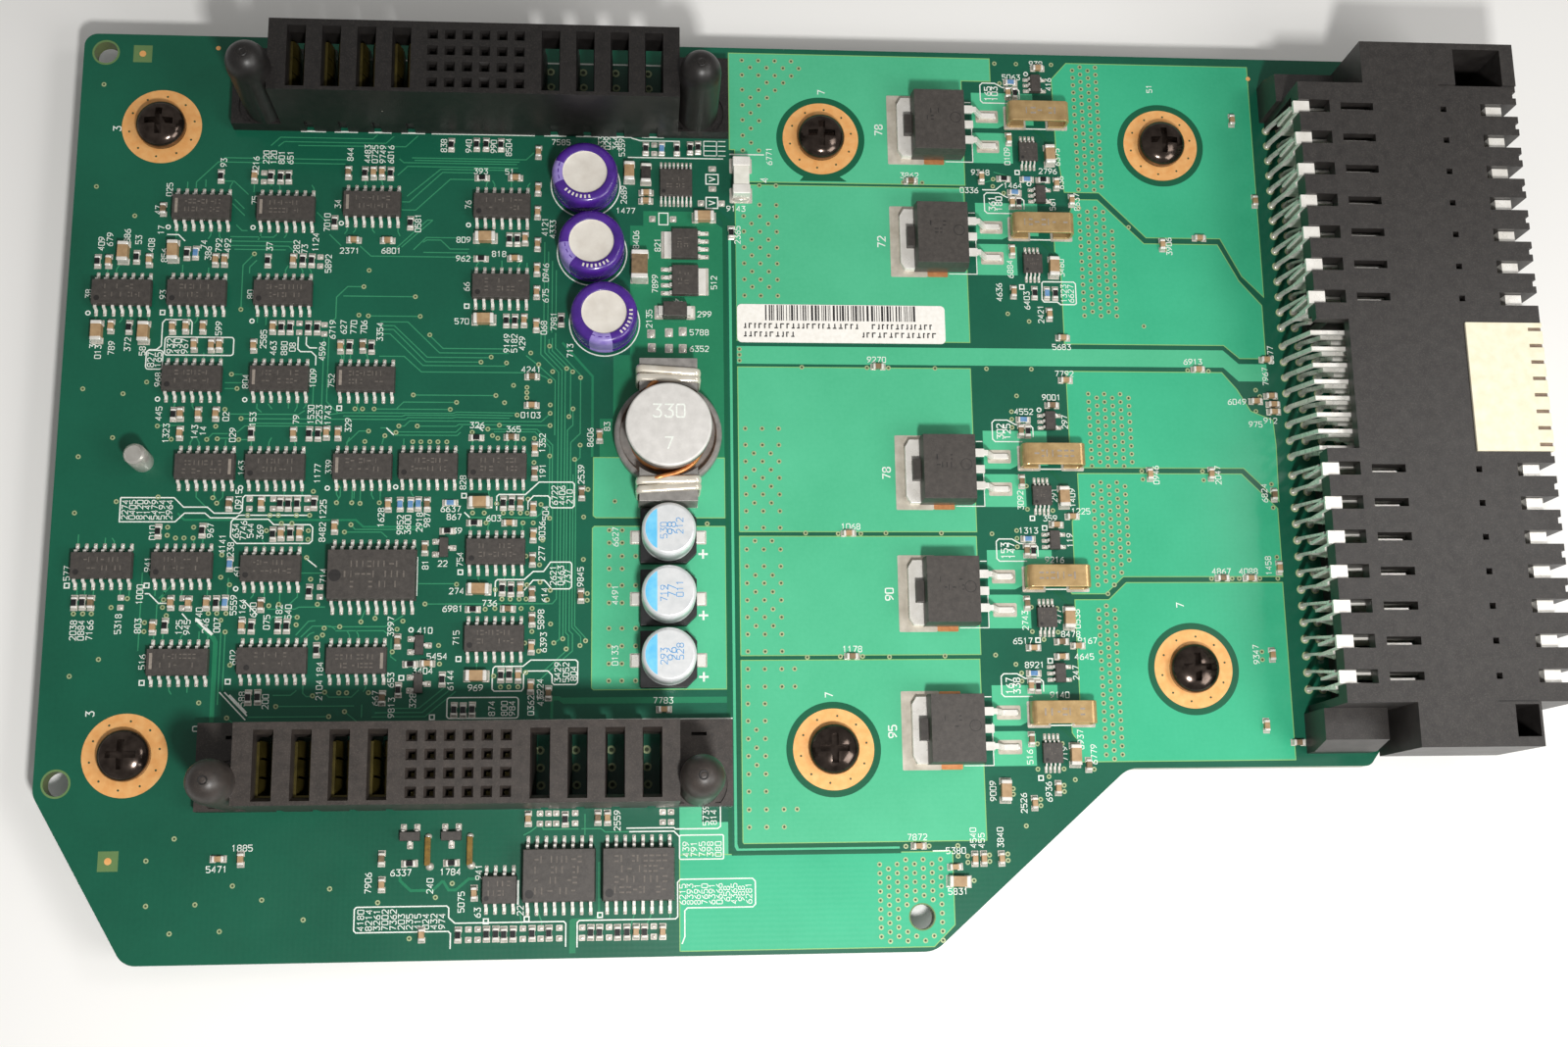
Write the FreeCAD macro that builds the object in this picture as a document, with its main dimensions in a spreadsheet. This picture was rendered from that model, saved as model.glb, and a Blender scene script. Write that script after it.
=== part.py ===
import FreeCAD, Part
import math
import os
import Sketcher
from FreeCAD import Placement, Rotation, Vector

# Power supply backplane board.  Millimetres, +Z up, underside of the
# laminate at z = 0, origin at the centre of the four-screw rectangle.

doc = FreeCAD.newDocument("power_backplane")
dims = doc.addObject("Spreadsheet::Sheet", "dims")

SIZES = [
    # laminate
    ("board_thick", 2.4), ("tooling_radius", 1.75), ("screw_clear_radius", 1.95),
    ("tail_hole_radius", 0.55), ("lead_hole_radius", 0.5), ("pin_hole_radius", 1.0),
    # screws
    ("screw_pitch_x", 100.8), ("screw_pitch_y", 95.4), ("pair_x", 104.8), ("pair_mid_y", 5.7),
    ("pair_pitch_y", 83.8), ("screw_head_radius", 3.7), ("screw_head_rise", 2.6),
    ("screw_shank_radius", 1.75), ("screw_neck_radius", 1.6), ("screw_length", 6.4), ("recess_depth", 1.5),
    ("recess_span", 4.2), ("recess_width", 1.0),
    # locating pin
    ("pin_radius", 1.6), ("pin_rise", 5.0), ("pin_chamfer", 0.45),
    # vertical sockets, measured from the first signal position
    ("sock_flange_left", -31.3), ("sock_flange_len", 75.5), ("sock_flange_front", -9.2),
    ("sock_flange_wide", 12.4), ("sock_flange_thick", 2.5),
    ("sock_block_left", -23.8), ("sock_block_len", 60.15), ("sock_block_front", -9.2),
    ("sock_block_wide", 11.2), ("sock_block_rise", 14.65),
    ("sock_post_left", -26.2), ("sock_post_right", 39.35), ("sock_post_y", -6.1),
    ("sock_post_radius", 3.1), ("sock_post_rise", 20.0), ("sock_post_dome", 2.85),
    ("slot_wide", 2.4), ("slot_long", 8.5), ("slot_pitch", 5.08), ("slot_left", -4.5),
    ("slot_right", 17.3), ("slot_bridge", 9.9), ("slot_mid_y", -3.83), ("sig_pitch", 2.54), ("sig_hole", 0.95),
    ("sig_funnel", 1.55), ("blade_thick", 0.35), ("blade_rise", 12.2), ("blade_long", 7.6),
    ("tail_drop", 1.0), ("sig_pin", 0.64),
    # right-angle connector
    ("out_rear", 122.08), ("out_front", 156.7), ("out_low", -43.08), ("out_high", 51.82),
    ("out_rise", 15.0), ("out_end_x", 132.38), ("out_end_low", -49.5), ("out_end_high", 58.72),
    ("out_step_x", 144.28), ("out_step", 0.4), ("out_contact_pitch", 5.08),
    ("out_slot_wide", 2.0), ("out_recess_x", 125.7), ("out_recess_rise", 12.0),
    ("out_channel_low", 4.0), ("out_channel_high", 12.8), ("out_sheet", 0.4),
    ("insert_rear", 144.88), ("insert_front", 156.7), ("insert_low", -6.18), ("insert_high", 13.62),
    ("insert_floor", 1.0),
    # electrolytic cans
    ("bulk_radius", 5.0), ("bulk_top", 5.3), ("bulk_seat", 0.3), ("bulk_lead_pitch", 5.0),
    ("bulk_lead_radius", 0.3), ("bulk_dish", 0.35), ("bulk_dish_radius", 3.35),
    # polymer cans
    ("filt_radius", 3.95), ("filt_top", 6.7), ("filt_base", 8.3), ("filt_base_low", 0.3),
    ("filt_base_high", 1.7), ("filt_base_cut", 1.5), ("filt_term_wide", 1.7), ("filt_term_reach", 5.4),
    # inductor
    ("ind_flange_radius", 8.0), ("ind_top_radius", 6.3), ("ind_neck_radius", 4.0),
    ("ind_flange_low", 0.6), ("ind_flange_high", 2.7), ("ind_top_low", 6.0), ("ind_top_high", 8.0),
    ("ind_ear_wide", 8.6), ("ind_ear_long", 21.8), ("ind_ear_high", 5.2), ("ind_wire", 0.5),
    ("ind_wire_wide", 1.15), ("ind_coil_radius", 5.9), ("ind_groove_radius", 7.15), ("ind_groove_floor", 1.3),
    # power transistors
    ("fet_len", 8.2), ("fet_shift", 0.4), ("fet_wide", 10.2), ("fet_top", 4.5), ("fet_tab_len", 7.4), ("fet_tab_out", 2.1), ("fet_tab_corner", 1.1), ("fet_tongue", 1.15), ("fet_tongue_wide", 3.2),
    ("fet_tab_wide", 9.8), ("fet_tab_thick", 1.27), ("fet_lead_wide", 0.85), ("fet_lead_thick", 0.5),
    ("fet_lead_z", 2.5), ("fet_lead_pitch", 2.54), ("fet_lead_reach", 9.55),
    # shunts
    ("shunt_len", 9.7), ("shunt_wide", 3.35), ("shunt_top", 3.0), ("shunt_thick", 0.45), ("shunt_foot", 2.9), ("shunt_bend", 0.9),
    # fuse, diode, switch transistors
    ("fuse_len", 6.1), ("fuse_wide", 2.7), ("fuse_top", 2.6), ("fuse_cap", 1.55),
    ("diode_len", 3.7), ("diode_wide", 2.5), ("diode_top", 2.1), ("diode_span", 5.6), ("diode_tab", 1.4),
    ("switch_len", 4.1), ("switch_wide", 4.9), ("switch_top", 1.1), ("switch_span", 6.3), ("switch_lead", 0.5),
    # chip packages
    ("soic_wide", 3.9), ("soic_span", 6.0), ("soic_top", 1.65), ("soic_pitch", 1.27), ("soic_lead", 0.42),
    ("soic14_len", 8.65), ("soic16_len", 9.9), ("soic8_len", 4.9),
    ("sow_wide", 7.5), ("sow_span", 10.3), ("sow_top", 2.55), ("sow20_len", 12.8), ("sow16_len", 10.3),
    ("tssop_len", 5.0), ("tssop_wide", 4.4), ("tssop_span", 6.4), ("tssop_top", 1.1), ("tssop_pitch", 0.65),
    ("tssop_lead", 0.24), ("msop_len", 3.0), ("msop_wide", 3.0), ("msop_span", 4.9), ("msop_top", 1.05),
    ("sot_len", 2.9), ("sot5_wide", 1.6), ("sot5_span", 2.8), ("sot5_top", 1.2), ("sot3_wide", 1.3),
    ("sot3_span", 2.4), ("sot3_top", 1.05), ("sot_lead", 0.4), ("chip_draft", 7.0), ("chip_lift", 0.15),
    # chip parts
    ("cap_len", 1.6), ("cap_wide", 0.82), ("cap_top", 0.8), ("big_len", 3.0), ("big_wide", 1.55),
    ("big_top", 1.4), ("bulk_cap_len", 4.5), ("bulk_cap_wide", 2.5), ("bulk_cap_top", 2.0),
    ("res_len", 1.6), ("res_wide", 0.82), ("res_top", 0.5), ("bead_len", 3.0), ("bead_wide", 1.5),
    ("bead_top", 1.2), ("stick_len", 4.0), ("stick_wide", 0.8), ("stick_top", 0.7),
    # label
    ("label_len", 32.1), ("label_wide", 6.1), ("label_thick", 0.12),
]
for row, (alias, value) in enumerate(SIZES, start=1):
    dims.set("A%d" % row, alias)
    dims.set("B%d" % row, "%g" % value)
    dims.setAlias("B%d" % row, alias)
doc.recompute()


def val(alias):
    return float(dims.get(alias))


TOP = val("board_thick")

# Component positions on the board: x, y and, where given, the turn in degrees.
SOIC14 = [(-43.57, 34.29, 0), (-31.12, 34.29, 0), (-18.32, 35.27, 0), (1.2, 35.27, 0), (-54.52, 20.72, 0),
    (-43.62, 20.82, 0), (-31.02, 20.92, 0), (1.23, 22.32, 0), (-43.67, 7.52, 0), (-31.02, 7.57, 0),
    (-18.42, 7.57, 0), (-41.12, -5.88, 180), (-31.07, -5.88, 0), (-18.47, -5.78, 0), (-8.92, -5.68, 0),
    (1.15, -5.63, 0), (-54.92, -20.53, 0), (-43.67, -20.53, 0), (-31.07, -20.98, 0), (1.13, -18.53, 0),
    (-43.52, -34.58, 0), (-18.42, -34.48, 180), (1.13, -31.33, 0)]
SOIC16 = [(-30.32, -34.43, 0)]
SOIC8 = [(2.48, -67.08, 0)]
SO20W = [(-16.52, -22.08, 0)]
SO16W = [(10.83, -65.18, 0), (22.03, -65.18, 0)]
TSSOP16 = [(27.73, 39.62, 0)]
MSOP8 = [(83.23, 45.82, 0), (83.13, 27.22, 0), (82.88, -9.78, 0), (82.78, -28.43, 0), (82.68, -48.58, 0)]
SOT5 = [(84.88, 57.42, 0), (84.88, 38.72, 0), (84.68, 1.92, 0), (84.48, -16.68, 0), (84.38, -36.78, 0)]
SOT3 = [(-6.42, -17.78, 0), (-9.62, -32.18, 0), (-9.62, -37.78, 0), (-10.22, -59.48, -90),
    (-4.42, -59.48, -90)]
LFPAK = [(29.03, 29.72, 0), (29.08, 23.82, 180)]
SMA = [(27.48, 18.82, 0)]
FUSE = [(37.78, 40.42, 90)]
BIGCAP = [(22.18, 26.02, 90)]
BEAD = [(23.08, 41.22, 90)]
D2PAK = [(68.23, 49.42, 0), (68.13, 30.82, 0), (67.88, -6.18, 0), (67.78, -24.73, 0), (67.73, -45.13, 0)]
SHUNT = [(84.78, 51.87, 0), (84.68, 33.22, 0), (84.58, -3.78, 0), (84.48, -22.48, 0), (84.33, -42.78, 0)]
BULK = [(13.83, 39.32, 200), (14.88, 28.32, 190), (16.83, 17.12, 265)]
FILT = [(26.38, -16.18, 0), (26.38, -25.43, 0), (26.38, -34.53, 0)]
CAP_V = [(-36.22, 39.82), (-22.22, 40.62), (-18.42, 40.72), (-17.12, 40.72), (-49.42, 34.32), (6.58, 44.52),
    (6.58, 38.42), (6.58, 34.62), (6.58, 29.52), (4.68, 30.32), (-56.92, 25.92), (-51.02, 26.12),
    (-41.32, 26.32), (-40.02, 26.32), (-29.92, 26.42), (-56.02, 15.72), (-47.12, 15.72), (-45.12, 15.72),
    (-42.62, 15.72), (-43.82, 12.92), (-41.32, 12.92), (-40.12, 12.92), (-35.12, 12.92), (-32.52, 15.82),
    (-22.42, 12.92), (-19.12, 13.02), (-45.22, 2.32), (-42.72, 2.32), (-40.12, 2.32), (-45.22, -0.58),
    (-28.82, -0.58), (-24.02, -0.48), (-22.32, -0.48), (6.58, 25.42), (6.58, 21.82), (6.58, 16.52),
    (4.68, 17.32), (6.58, -2.68), (6.58, -6.48), (16.18, -0.68), (-37.62, -11.28), (-33.02, -11.18),
    (-30.02, -15.68), (-27.32, -15.58), (-22.32, -14.68), (-56.32, -25.78), (-45.12, -25.88),
    (-42.62, -25.88), (-40.12, -25.88), (-32.42, -26.18), (-47.52, -29.38), (-35.02, -29.28),
    (-14.72, -11.28), (-9.02, -11.28), (4.58, -10.98), (6.48, -11.78), (-9.22, -17.78), (6.48, -15.88),
    (6.48, -19.58), (13.58, -9.48), (13.58, -24.98), (4.68, -23.88), (6.48, -24.58), (6.48, -28.48),
    (6.48, -32.48), (-12.82, -31.58), (4.58, -36.68), (6.48, -38.28), (8.98, -39.18), (-14.72, -39.78),
    (-14.12, -62.48), (-14.02, -66.08), (-1.12, -67.48), (6.38, -57.18), (16.28, -57.18),
    (17.58, -57.18), (-33.62, -62.28), (80.48, 56.02), (80.38, 37.52), (80.18, 0.47), (80.23, -18.18),
    (79.98, -38.58), (80.28, 48.12), (80.08, 29.42), (79.98, -7.48), (79.88, -26.18), (79.68, -46.48),
    (79.78, -55.78), (83.38, -53.68), (88.08, -50.38), (70.58, -63.68), (71.88, -63.68), (74.58, -63.68),
    (79.98, 22.72), (85.48, 19.12), (75.68, 41.62), (87.58, 40.72), (89.88, 38.02), (104.08, 30.82),
    (116.68, 52.02), (119.48, 38.32), (99.88, -6.28), (109.48, -6.28), (119.08, -9.48), (119.08, -20.88),
    (116.98, -34.18), (115.28, -44.78), (-8.32, -73.08), (21.68, -73.18), (25.48, -73.18)]
CAP_H = [(-21.02, 29.82), (-16.02, 29.82), (3.08, 40.22), (23.08, 38.12), (23.08, 36.82), (3.18, 27.22),
    (5.98, 8.42), (6.08, 4.02), (3.08, -0.98), (2.98, -13.98), (2.98, -26.88), (-8.42, -34.88),
    (-36.72, -62.28), (25.68, -41.68), (64.48, 40.82), (58.48, 10.42), (53.38, -15.58), (53.38, -34.08),
    (62.48, -61.78), (67.68, -64.78), (87.48, 15.32), (87.48, 8.52), (108.48, 10.42), (110.08, 32.02),
    (119.48, 12.12), (119.78, 6.22), (120.08, 4.92), (120.08, 3.72), (117.38, 5.32), (110.18, -22.48),
    (114.48, -22.48), (87.48, -12.98), (87.38, -32.68), (84.88, -32.08), (80.68, -32.88), (85.48, 60.32),
    (85.18, 4.52), (84.98, -14.18), (84.88, -34.28), (120.08, -47.28)]
LCAP_V = [(-54.82, 27.22), (-47.52, 27.52), (-57.92, 14.82), (-51.12, 14.82), (20.48, 41.42), (86.68, 45.42),
    (86.48, 26.82), (86.28, -9.98), (86.18, -28.48), (86.08, -48.88), (75.48, -53.98)]
LCAP_H = [(-1.32, 30.42), (-1.32, 17.32), (-1.42, -10.98), (-1.32, -23.98), (-1.42, -36.68), (31.98, 34.22),
    (68.18, -66.88)]
RES_V = [(-41.22, 39.72), (-33.72, 39.82), (-32.32, 39.72), (-31.12, 39.82), (-19.72, 40.62), (-15.82, 40.62),
    (-24.02, 32.62), (-12.62, 32.62), (-6.72, 45.52), (-2.92, 45.62), (-1.52, 45.62), (0.78, 45.62),
    (2.28, 30.22), (3.48, 30.22), (23.08, 45.42), (27.88, 45.52), (29.98, 45.62), (31.18, 45.72),
    (36.18, 31.82), (-58.52, 25.92), (-52.92, 26.62), (-45.62, 27.32), (-33.62, 26.32), (-28.52, 26.42),
    (-27.22, 26.42), (-53.42, 15.62), (-31.22, 15.82), (-29.92, 15.82), (-27.32, 15.82), (-26.02, 15.82),
    (-21.12, 12.92), (-17.92, 12.92), (-46.22, 2.32), (-34.92, -0.58), (-26.52, -0.58), (-25.22, -0.58),
    (10.28, 17.42), (2.08, 17.22), (3.38, 17.22), (-30.32, -11.18), (-29.12, -11.18), (-27.82, -11.18),
    (-25.42, -11.08), (-31.12, -15.68), (-28.62, -15.58), (-47.52, -15.28), (-41.22, -15.18),
    (-58.72, -25.78), (-57.52, -25.78), (-38.72, -25.88), (-25.62, -24.28), (-45.82, -29.18),
    (-33.62, -29.28), (-29.92, -29.28), (-28.62, -29.28), (-24.32, -32.78), (-33.62, -39.58),
    (-32.32, -39.58), (2.08, -10.98), (3.28, -10.98), (2.08, -23.88), (3.38, -23.88), (2.08, -36.58),
    (3.28, -36.58), (-6.32, -37.18), (-12.52, -38.58), (-4.52, -41.58), (-3.22, -41.58), (-1.92, -41.58),
    (11.58, -57.28), (-3.22, -73.18), (0.68, -73.18), (1.98, -73.18), (3.18, -73.18), (4.38, -73.18),
    (7.08, -73.18), (9.48, -73.18), (15.28, -73.18), (16.58, -73.18), (19.08, -73.18), (20.38, -73.18),
    (22.88, -73.18), (81.68, 56.02), (81.48, 37.52), (81.28, 0.42), (81.28, -18.18), (81.08, -38.68),
    (83.28, 22.62), (86.58, 22.62)]
RES_H = [(-2.02, 40.12), (-1.92, 27.12), (-2.02, -1.08), (-2.12, -13.98), (-2.12, -26.88), (-6.02, -15.28),
    (-10.92, -34.88), (-10.22, -63.28), (-4.42, -63.28), (85.48, 41.32), (79.28, 41.42)]
BLUE_V = [(25.58, 45.42), (-44.32, 27.42), (-37.12, -20.18), (-37.52, -25.78), (-13.02, -11.28),
    (-11.52, -11.28), (-10.32, -11.18), (85.28, 22.62)]
BLUE_H = [(-5.72, -10.98), (80.98, 57.82), (80.88, 39.22), (80.68, 2.22), (80.58, -16.38), (80.48, -36.78),
    (82.98, 41.42)]
UPPER_SOCKET = (-8.32, 56.57)
LOWER_SOCKET = (-8.67, -46.6)
INDUCTOR = (26.38, -0.88)
LOCATING_PIN = (-50.32, -4.88)
STICKS = [(-7.72, -61.58), (-1.82, -61.58)]
LABEL = (53.03, 17.27)
TOOLING = [(-59.42, 59.72), (-59.62, -51.58), (62.68, -71.78)]
SCREWS = [(sx * val("screw_pitch_x") / 2, sy * val("screw_pitch_y") / 2) for sx in (-1, 1) for sy in (-1, 1)]
SCREWS += [(val("pair_x"), val("pair_mid_y") + sy * val("pair_pitch_y") / 2) for sy in (-1, 1)]
# Right-angle connector: centres of the tail pairs, and of the signal rows.
OUT_PITCH = val("out_contact_pitch")
OUT_UPPER = [49.12 - OUT_PITCH * i for i in range(7)]
OUT_LOWER = [-7.68 - OUT_PITCH * i for i in range(7)]
OUT_SHIFT = -1.2
OUT_TAIL_X = (122.28, 124.48)
OUT_SIG_X = (122.28, 124.78, 127.38, 129.88)
OUT_SIG_Z = (12.2, 9.7, 7.2, 4.7)
OUT_SIG_TAIL_Y = [14.32 - 2.54 * i for i in range(8)]
OUT_SIG_ROW_Y = [12.61 - 2.54 * i for i in range(8)]
BOARD_OUTLINE = [(-62.72, 62.82, 2.0), (156.28, 62.82, 2.0), (156.28, -47.58, 2.0), (133.28, -47.58, 1.5),
                 (130.88, -50.88, 1.5), (93.98, -50.88, 4.0), (64.38, -76.68, 4.0), (-49.02, -76.68, 3.0),
                 (-62.72, -53.08, 3.0)]


# ---------------------------------------------------------------- helpers

def origin_plane(body, role):
    return [f for f in body.Origin.OriginFeatures if f.Role == role][0]


def new_body(name):
    return doc.addObject("PartDesign::Body", name)


def new_sketch(body, name, role="XY_Plane", lift=0.0):
    sk = body.newObject("Sketcher::SketchObject", name)
    sk.AttachmentSupport = [(origin_plane(body, role), "")]
    sk.MapMode = "FlatFace"
    if lift:
        sk.AttachmentOffset = Placement(Vector(0, 0, lift), Rotation())
    return sk


def polygon(sk, pts):
    first = sk.GeometryCount
    n = len(pts)
    for i in range(n):
        a, b = pts[i], pts[(i + 1) % n]
        sk.addGeometry(Part.LineSegment(Vector(a[0], a[1], 0), Vector(b[0], b[1], 0)), False)
    for i in range(n):
        sk.addConstraint(Sketcher.Constraint("Coincident", first + i, 2, first + (i + 1) % n, 1))


def rectangle(sk, wide, tall):
    """Rectangle centred on the sketch origin, its sides bound to two cells."""
    w, t = val(wide) / 2, val(tall) / 2
    polygon(sk, [(-w, -t), (w, -t), (w, t), (-w, t)])
    for i, kind in enumerate(("Horizontal", "Vertical", "Horizontal", "Vertical")):
        sk.addConstraint(Sketcher.Constraint(kind, i))
    sk.addConstraint(Sketcher.Constraint("Symmetric", 0, 1, 2, 1, -1, 1))
    k = sk.addConstraint(Sketcher.Constraint("DistanceX", 0, 1, 0, 2, 2 * w))
    sk.setExpression("Constraints[%d]" % k, "dims.%s" % wide)
    k = sk.addConstraint(Sketcher.Constraint("DistanceY", 1, 1, 1, 2, 2 * t))
    sk.setExpression("Constraints[%d]" % k, "dims.%s" % tall)


def circles(sk, centres, alias):
    for x, y in centres:
        g = sk.addGeometry(Part.Circle(Vector(x, y, 0), Vector(0, 0, 1), val(alias)), False)
        k = sk.addConstraint(Sketcher.Constraint("Radius", g, val(alias)))
        sk.setExpression("Constraints[%d]" % k, "dims.%s" % alias)


def pad(body, name, sk, length, symmetric=False):
    f = body.newObject("PartDesign::Pad", name)
    f.Profile = sk
    if symmetric:
        f.SideType = "Symmetric"
    f.setExpression("Length", length)
    return f


def drill(body, name, sk):
    f = body.newObject("PartDesign::Pocket", name)
    f.Profile = sk
    f.Type = "ThroughAll"
    f.SideType = "Symmetric"
    return f


def revolve(body, name, pts):
    """Turned piece from a half profile of (radius, height) points."""
    sk = new_sketch(body, name + "_profile", "XZ_Plane")
    polygon(sk, pts)
    f = body.newObject("PartDesign::Revolution", name)
    f.Profile = sk
    f.ReferenceAxis = (sk, ["V_Axis"])
    f.Angle = 360.0
    return f


def prim_box(name, length, width, height, pos):
    o = doc.addObject("Part::Box", name)
    for prop, e in (("Length", length), ("Width", width), ("Height", height)):
        o.setExpression(prop, e)
    o.Placement = Placement(Vector(*pos), Rotation())
    return o


def solid_box(x0, x1, y0, y1, z0, z1):
    return Part.makeBox(x1 - x0, y1 - y0, z1 - z0, Vector(x0, y0, z0))


def frustum(lower, z0, upper, z1):
    """Tapered block between two rectangles (x0, x1, y0, y1)."""
    wires = []
    for (x0, x1, y0, y1), z in ((lower, z0), (upper, z1)):
        wires.append(Part.makePolygon([Vector(x0, y0, z), Vector(x1, y0, z), Vector(x1, y1, z),
                                       Vector(x0, y1, z), Vector(x0, y0, z)]))
    return Part.makeLoft(wires, True, True)


def prism_x(pts, x0, x1):
    """Block of constant section: (y, z) points carried from x0 to x1."""
    ring = [Vector(x0, y, z) for y, z in pts]
    return Part.Face(Part.makePolygon(ring + [ring[0]])).extrude(Vector(x1 - x0, 0, 0))


def prism_y(pts, y0, y1):
    ring = [Vector(x, y0, z) for x, z in pts]
    return Part.Face(Part.makePolygon(ring + [ring[0]])).extrude(Vector(0, y1 - y0, 0))


def joined(shapes):
    s = shapes[0]
    if len(shapes) > 1:
        s = s.fuse(shapes[1:]).removeSplitter()
    return s.Solids[0] if len(s.Solids) == 1 else s


def turned(shape, x, y, angle=0.0, z=None):
    s = shape.copy()
    s.Placement = Placement(Vector(x, y, TOP if z is None else z), Rotation(Vector(0, 0, 1), angle)).multiply(s.Placement)
    return s


NODES = []


def node(label, obj):
    obj.Label = label
    NODES.append(obj)
    return obj


def group(label, shapes):
    """One node holding separate equal pieces."""
    o = doc.addObject("Part::Feature", label)
    solids = []
    for s in shapes:
        solids += s.Solids
    if len(solids) == 1:
        o.Shape = solids[0]
        o.Placement = solids[0].Placement
    else:
        o.Shape = Part.makeCompound(solids)
        o.Placement = Placement()
    return node(label, o)


# ------------------------------------------------------------ the laminate

def rounded_outline(sk, corners):
    """Closed outline of straight edges with a tangent arc at every corner."""
    n = len(corners)
    cut = []
    for i in range(n):
        p, a, b = corners[i], corners[i - 1], corners[(i + 1) % n]
        u = Vector(a[0] - p[0], a[1] - p[1], 0).normalize()
        w = Vector(b[0] - p[0], b[1] - p[1], 0).normalize()
        half = u.getAngle(w) / 2
        reach = p[2] / math.tan(half)
        base = Vector(p[0], p[1], 0)
        mid = (u + w).normalize()
        centre = base + mid * (p[2] / math.sin(half))
        cut.append((base + u * reach, centre - mid * p[2], base + w * reach))
    for i in range(n):
        start, via, end = cut[i]
        sk.addGeometry(Part.Arc(start, via, end), False)
        sk.addGeometry(Part.LineSegment(end, cut[(i + 1) % n][0]), False)



board = new_body("circuit_board")
outline = new_sketch(board, "board_outline")
rounded_outline(outline, BOARD_OUTLINE)
pad(board, "board_pad", outline, "dims.board_thick")
big_holes = new_sketch(board, "board_fixing_holes")
circles(big_holes, TOOLING, "tooling_radius")
circles(big_holes, SCREWS, "screw_clear_radius")
circles(big_holes, [LOCATING_PIN], "pin_hole_radius")
drill(board, "board_fixing_drill", big_holes)

SLOT_X = [val("slot_left") - val("slot_pitch") * k for k in range(4)]
BLADE_SLOTS = list(SLOT_X)          # the right-hand four slots are empty
SLOT_X += [val("slot_right") + val("slot_pitch") * k for k in range(4)]
BLADE_X = (val("slot_wide") - val("blade_thick")) / 2
BLADE_TAILS = (-0.7, -3.3, -5.9)
SIG_X = [val("sig_pitch") * i for i in range(6)]
SIG_Y = [-val("sig_pitch") * j for j in range(4)]
tail_points = []
for ox, oy in (UPPER_SOCKET, LOWER_SOCKET):
    tail_points += [(ox + x, oy + y) for x in SIG_X for y in SIG_Y]
    tail_points += [(ox + x + s * BLADE_X, oy + y) for x in BLADE_SLOTS for s in (-1, 1) for y in BLADE_TAILS]
for yt in OUT_UPPER + OUT_LOWER:
    tail_points += [(x, yt + s * 1.27) for x in OUT_TAIL_X for s in (-1, 1)]
tail_points += [(x, y) for x in OUT_SIG_X for y in OUT_SIG_TAIL_Y]
tail_sketch = new_sketch(board, "board_tail_holes")
for x, y in tail_points:
    tail_sketch.addGeometry(Part.Circle(Vector(x, y, 0), Vector(0, 0, 1), val("tail_hole_radius")), False)
drill(board, "board_tail_drill", tail_sketch)
lead_points = []
for x, y, a in BULK:
    for s in (-1, 1):
        lead_points.append((x + s * val("bulk_lead_pitch") / 2 * math.cos(math.radians(a)),
                            y + s * val("bulk_lead_pitch") / 2 * math.sin(math.radians(a))))
lead_sketch = new_sketch(board, "board_lead_holes")
circles(lead_sketch, lead_points, "lead_hole_radius")
drill(board, "board_lead_drill", lead_sketch)
node("circuit_board", board)

# ------------------------------------------------------------ fasteners

hr, hh = val("screw_head_radius"), val("screw_head_rise")
sr, sl = val("screw_shank_radius"), val("screw_length")
screw = new_body("screw_master")
arc = [(hr * math.sin(a), 0.9 + (hh - 0.9) * math.cos(a)) for a in [math.radians(t) for t in range(85, 0, -17)]]
nr = val("screw_neck_radius")
revolve(screw, "screw_turned", [(0, -sl), (sr - 0.45, -sl), (sr, -sl + 0.55), (sr, -TOP), (nr, -TOP), (nr, 0),
                                (hr - 0.12, 0), (hr, 0.12), (hr, 0.9)] + arc + [(0, hh)])
recess = new_sketch(screw, "screw_recess_outline", "XY_Plane", hh + 0.2)
w, c = val("recess_span") / 2, val("recess_width") / 2
polygon(recess, [(-w, -c), (-c, -c), (-c, -w), (c, -w), (c, -c), (w, -c), (w, c), (c, c), (c, w), (-c, w), (-c, c), (-w, c)])
cut = screw.newObject("PartDesign::Pocket", "screw_recess")
cut.Profile = recess
cut.setExpression("Length", "dims.recess_depth + 0.2")
doc.recompute()
group("mounting_screws", [turned(screw.Shape, x, y) for x, y in SCREWS])

pin = new_body("pin_master")
pr, ph, pc = val("pin_radius"), val("pin_rise"), val("pin_chamfer")
revolve(pin, "pin_turned", [(0, -TOP), (val("pin_hole_radius"), -TOP), (val("pin_hole_radius"), 0), (pr, 0),
                            (pr, ph - pc), (pr - pc, ph), (0, ph)])
doc.recompute()
group("locating_pin", [turned(pin.Shape, *LOCATING_PIN)])

# ------------------------------------------------- vertical supply sockets

flange = prim_box("sock_flange", "dims.sock_flange_len", "dims.sock_flange_wide", "dims.sock_flange_thick",
                  (val("sock_flange_left"), val("sock_flange_front"), 0))
block = prim_box("sock_block", "dims.sock_block_len", "dims.sock_block_wide", "dims.sock_block_rise",
                 (val("sock_block_left"), val("sock_block_front"), 0))
parts = [flange, block]
for side in ("left", "right"):
    b = new_body("sock_post_%s_body" % side)
    r, top, dome = val("sock_post_radius"), val("sock_post_rise"), val("sock_post_dome")
    tip = [(r - dome + dome * math.cos(a), top - dome * 1.25 + dome * 1.25 * math.sin(a))
           for a in [math.radians(t) for t in range(0, 91, 15)]]
    revolve(b, "sock_post_%s" % side, [(0, 0), (r, 0)] + tip + [(0, top)])
    b.Placement = Placement(Vector(val("sock_post_%s" % side), val("sock_post_y"), 0), Rotation())
    parts.append(b)
solid = doc.addObject("Part::MultiFuse", "sock_solid")
solid.Shapes = parts
cuts = []
rise = val("sock_block_rise")
sw, sl2, sy = val("slot_wide") / 2, val("slot_long") / 2, val("slot_mid_y")
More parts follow.
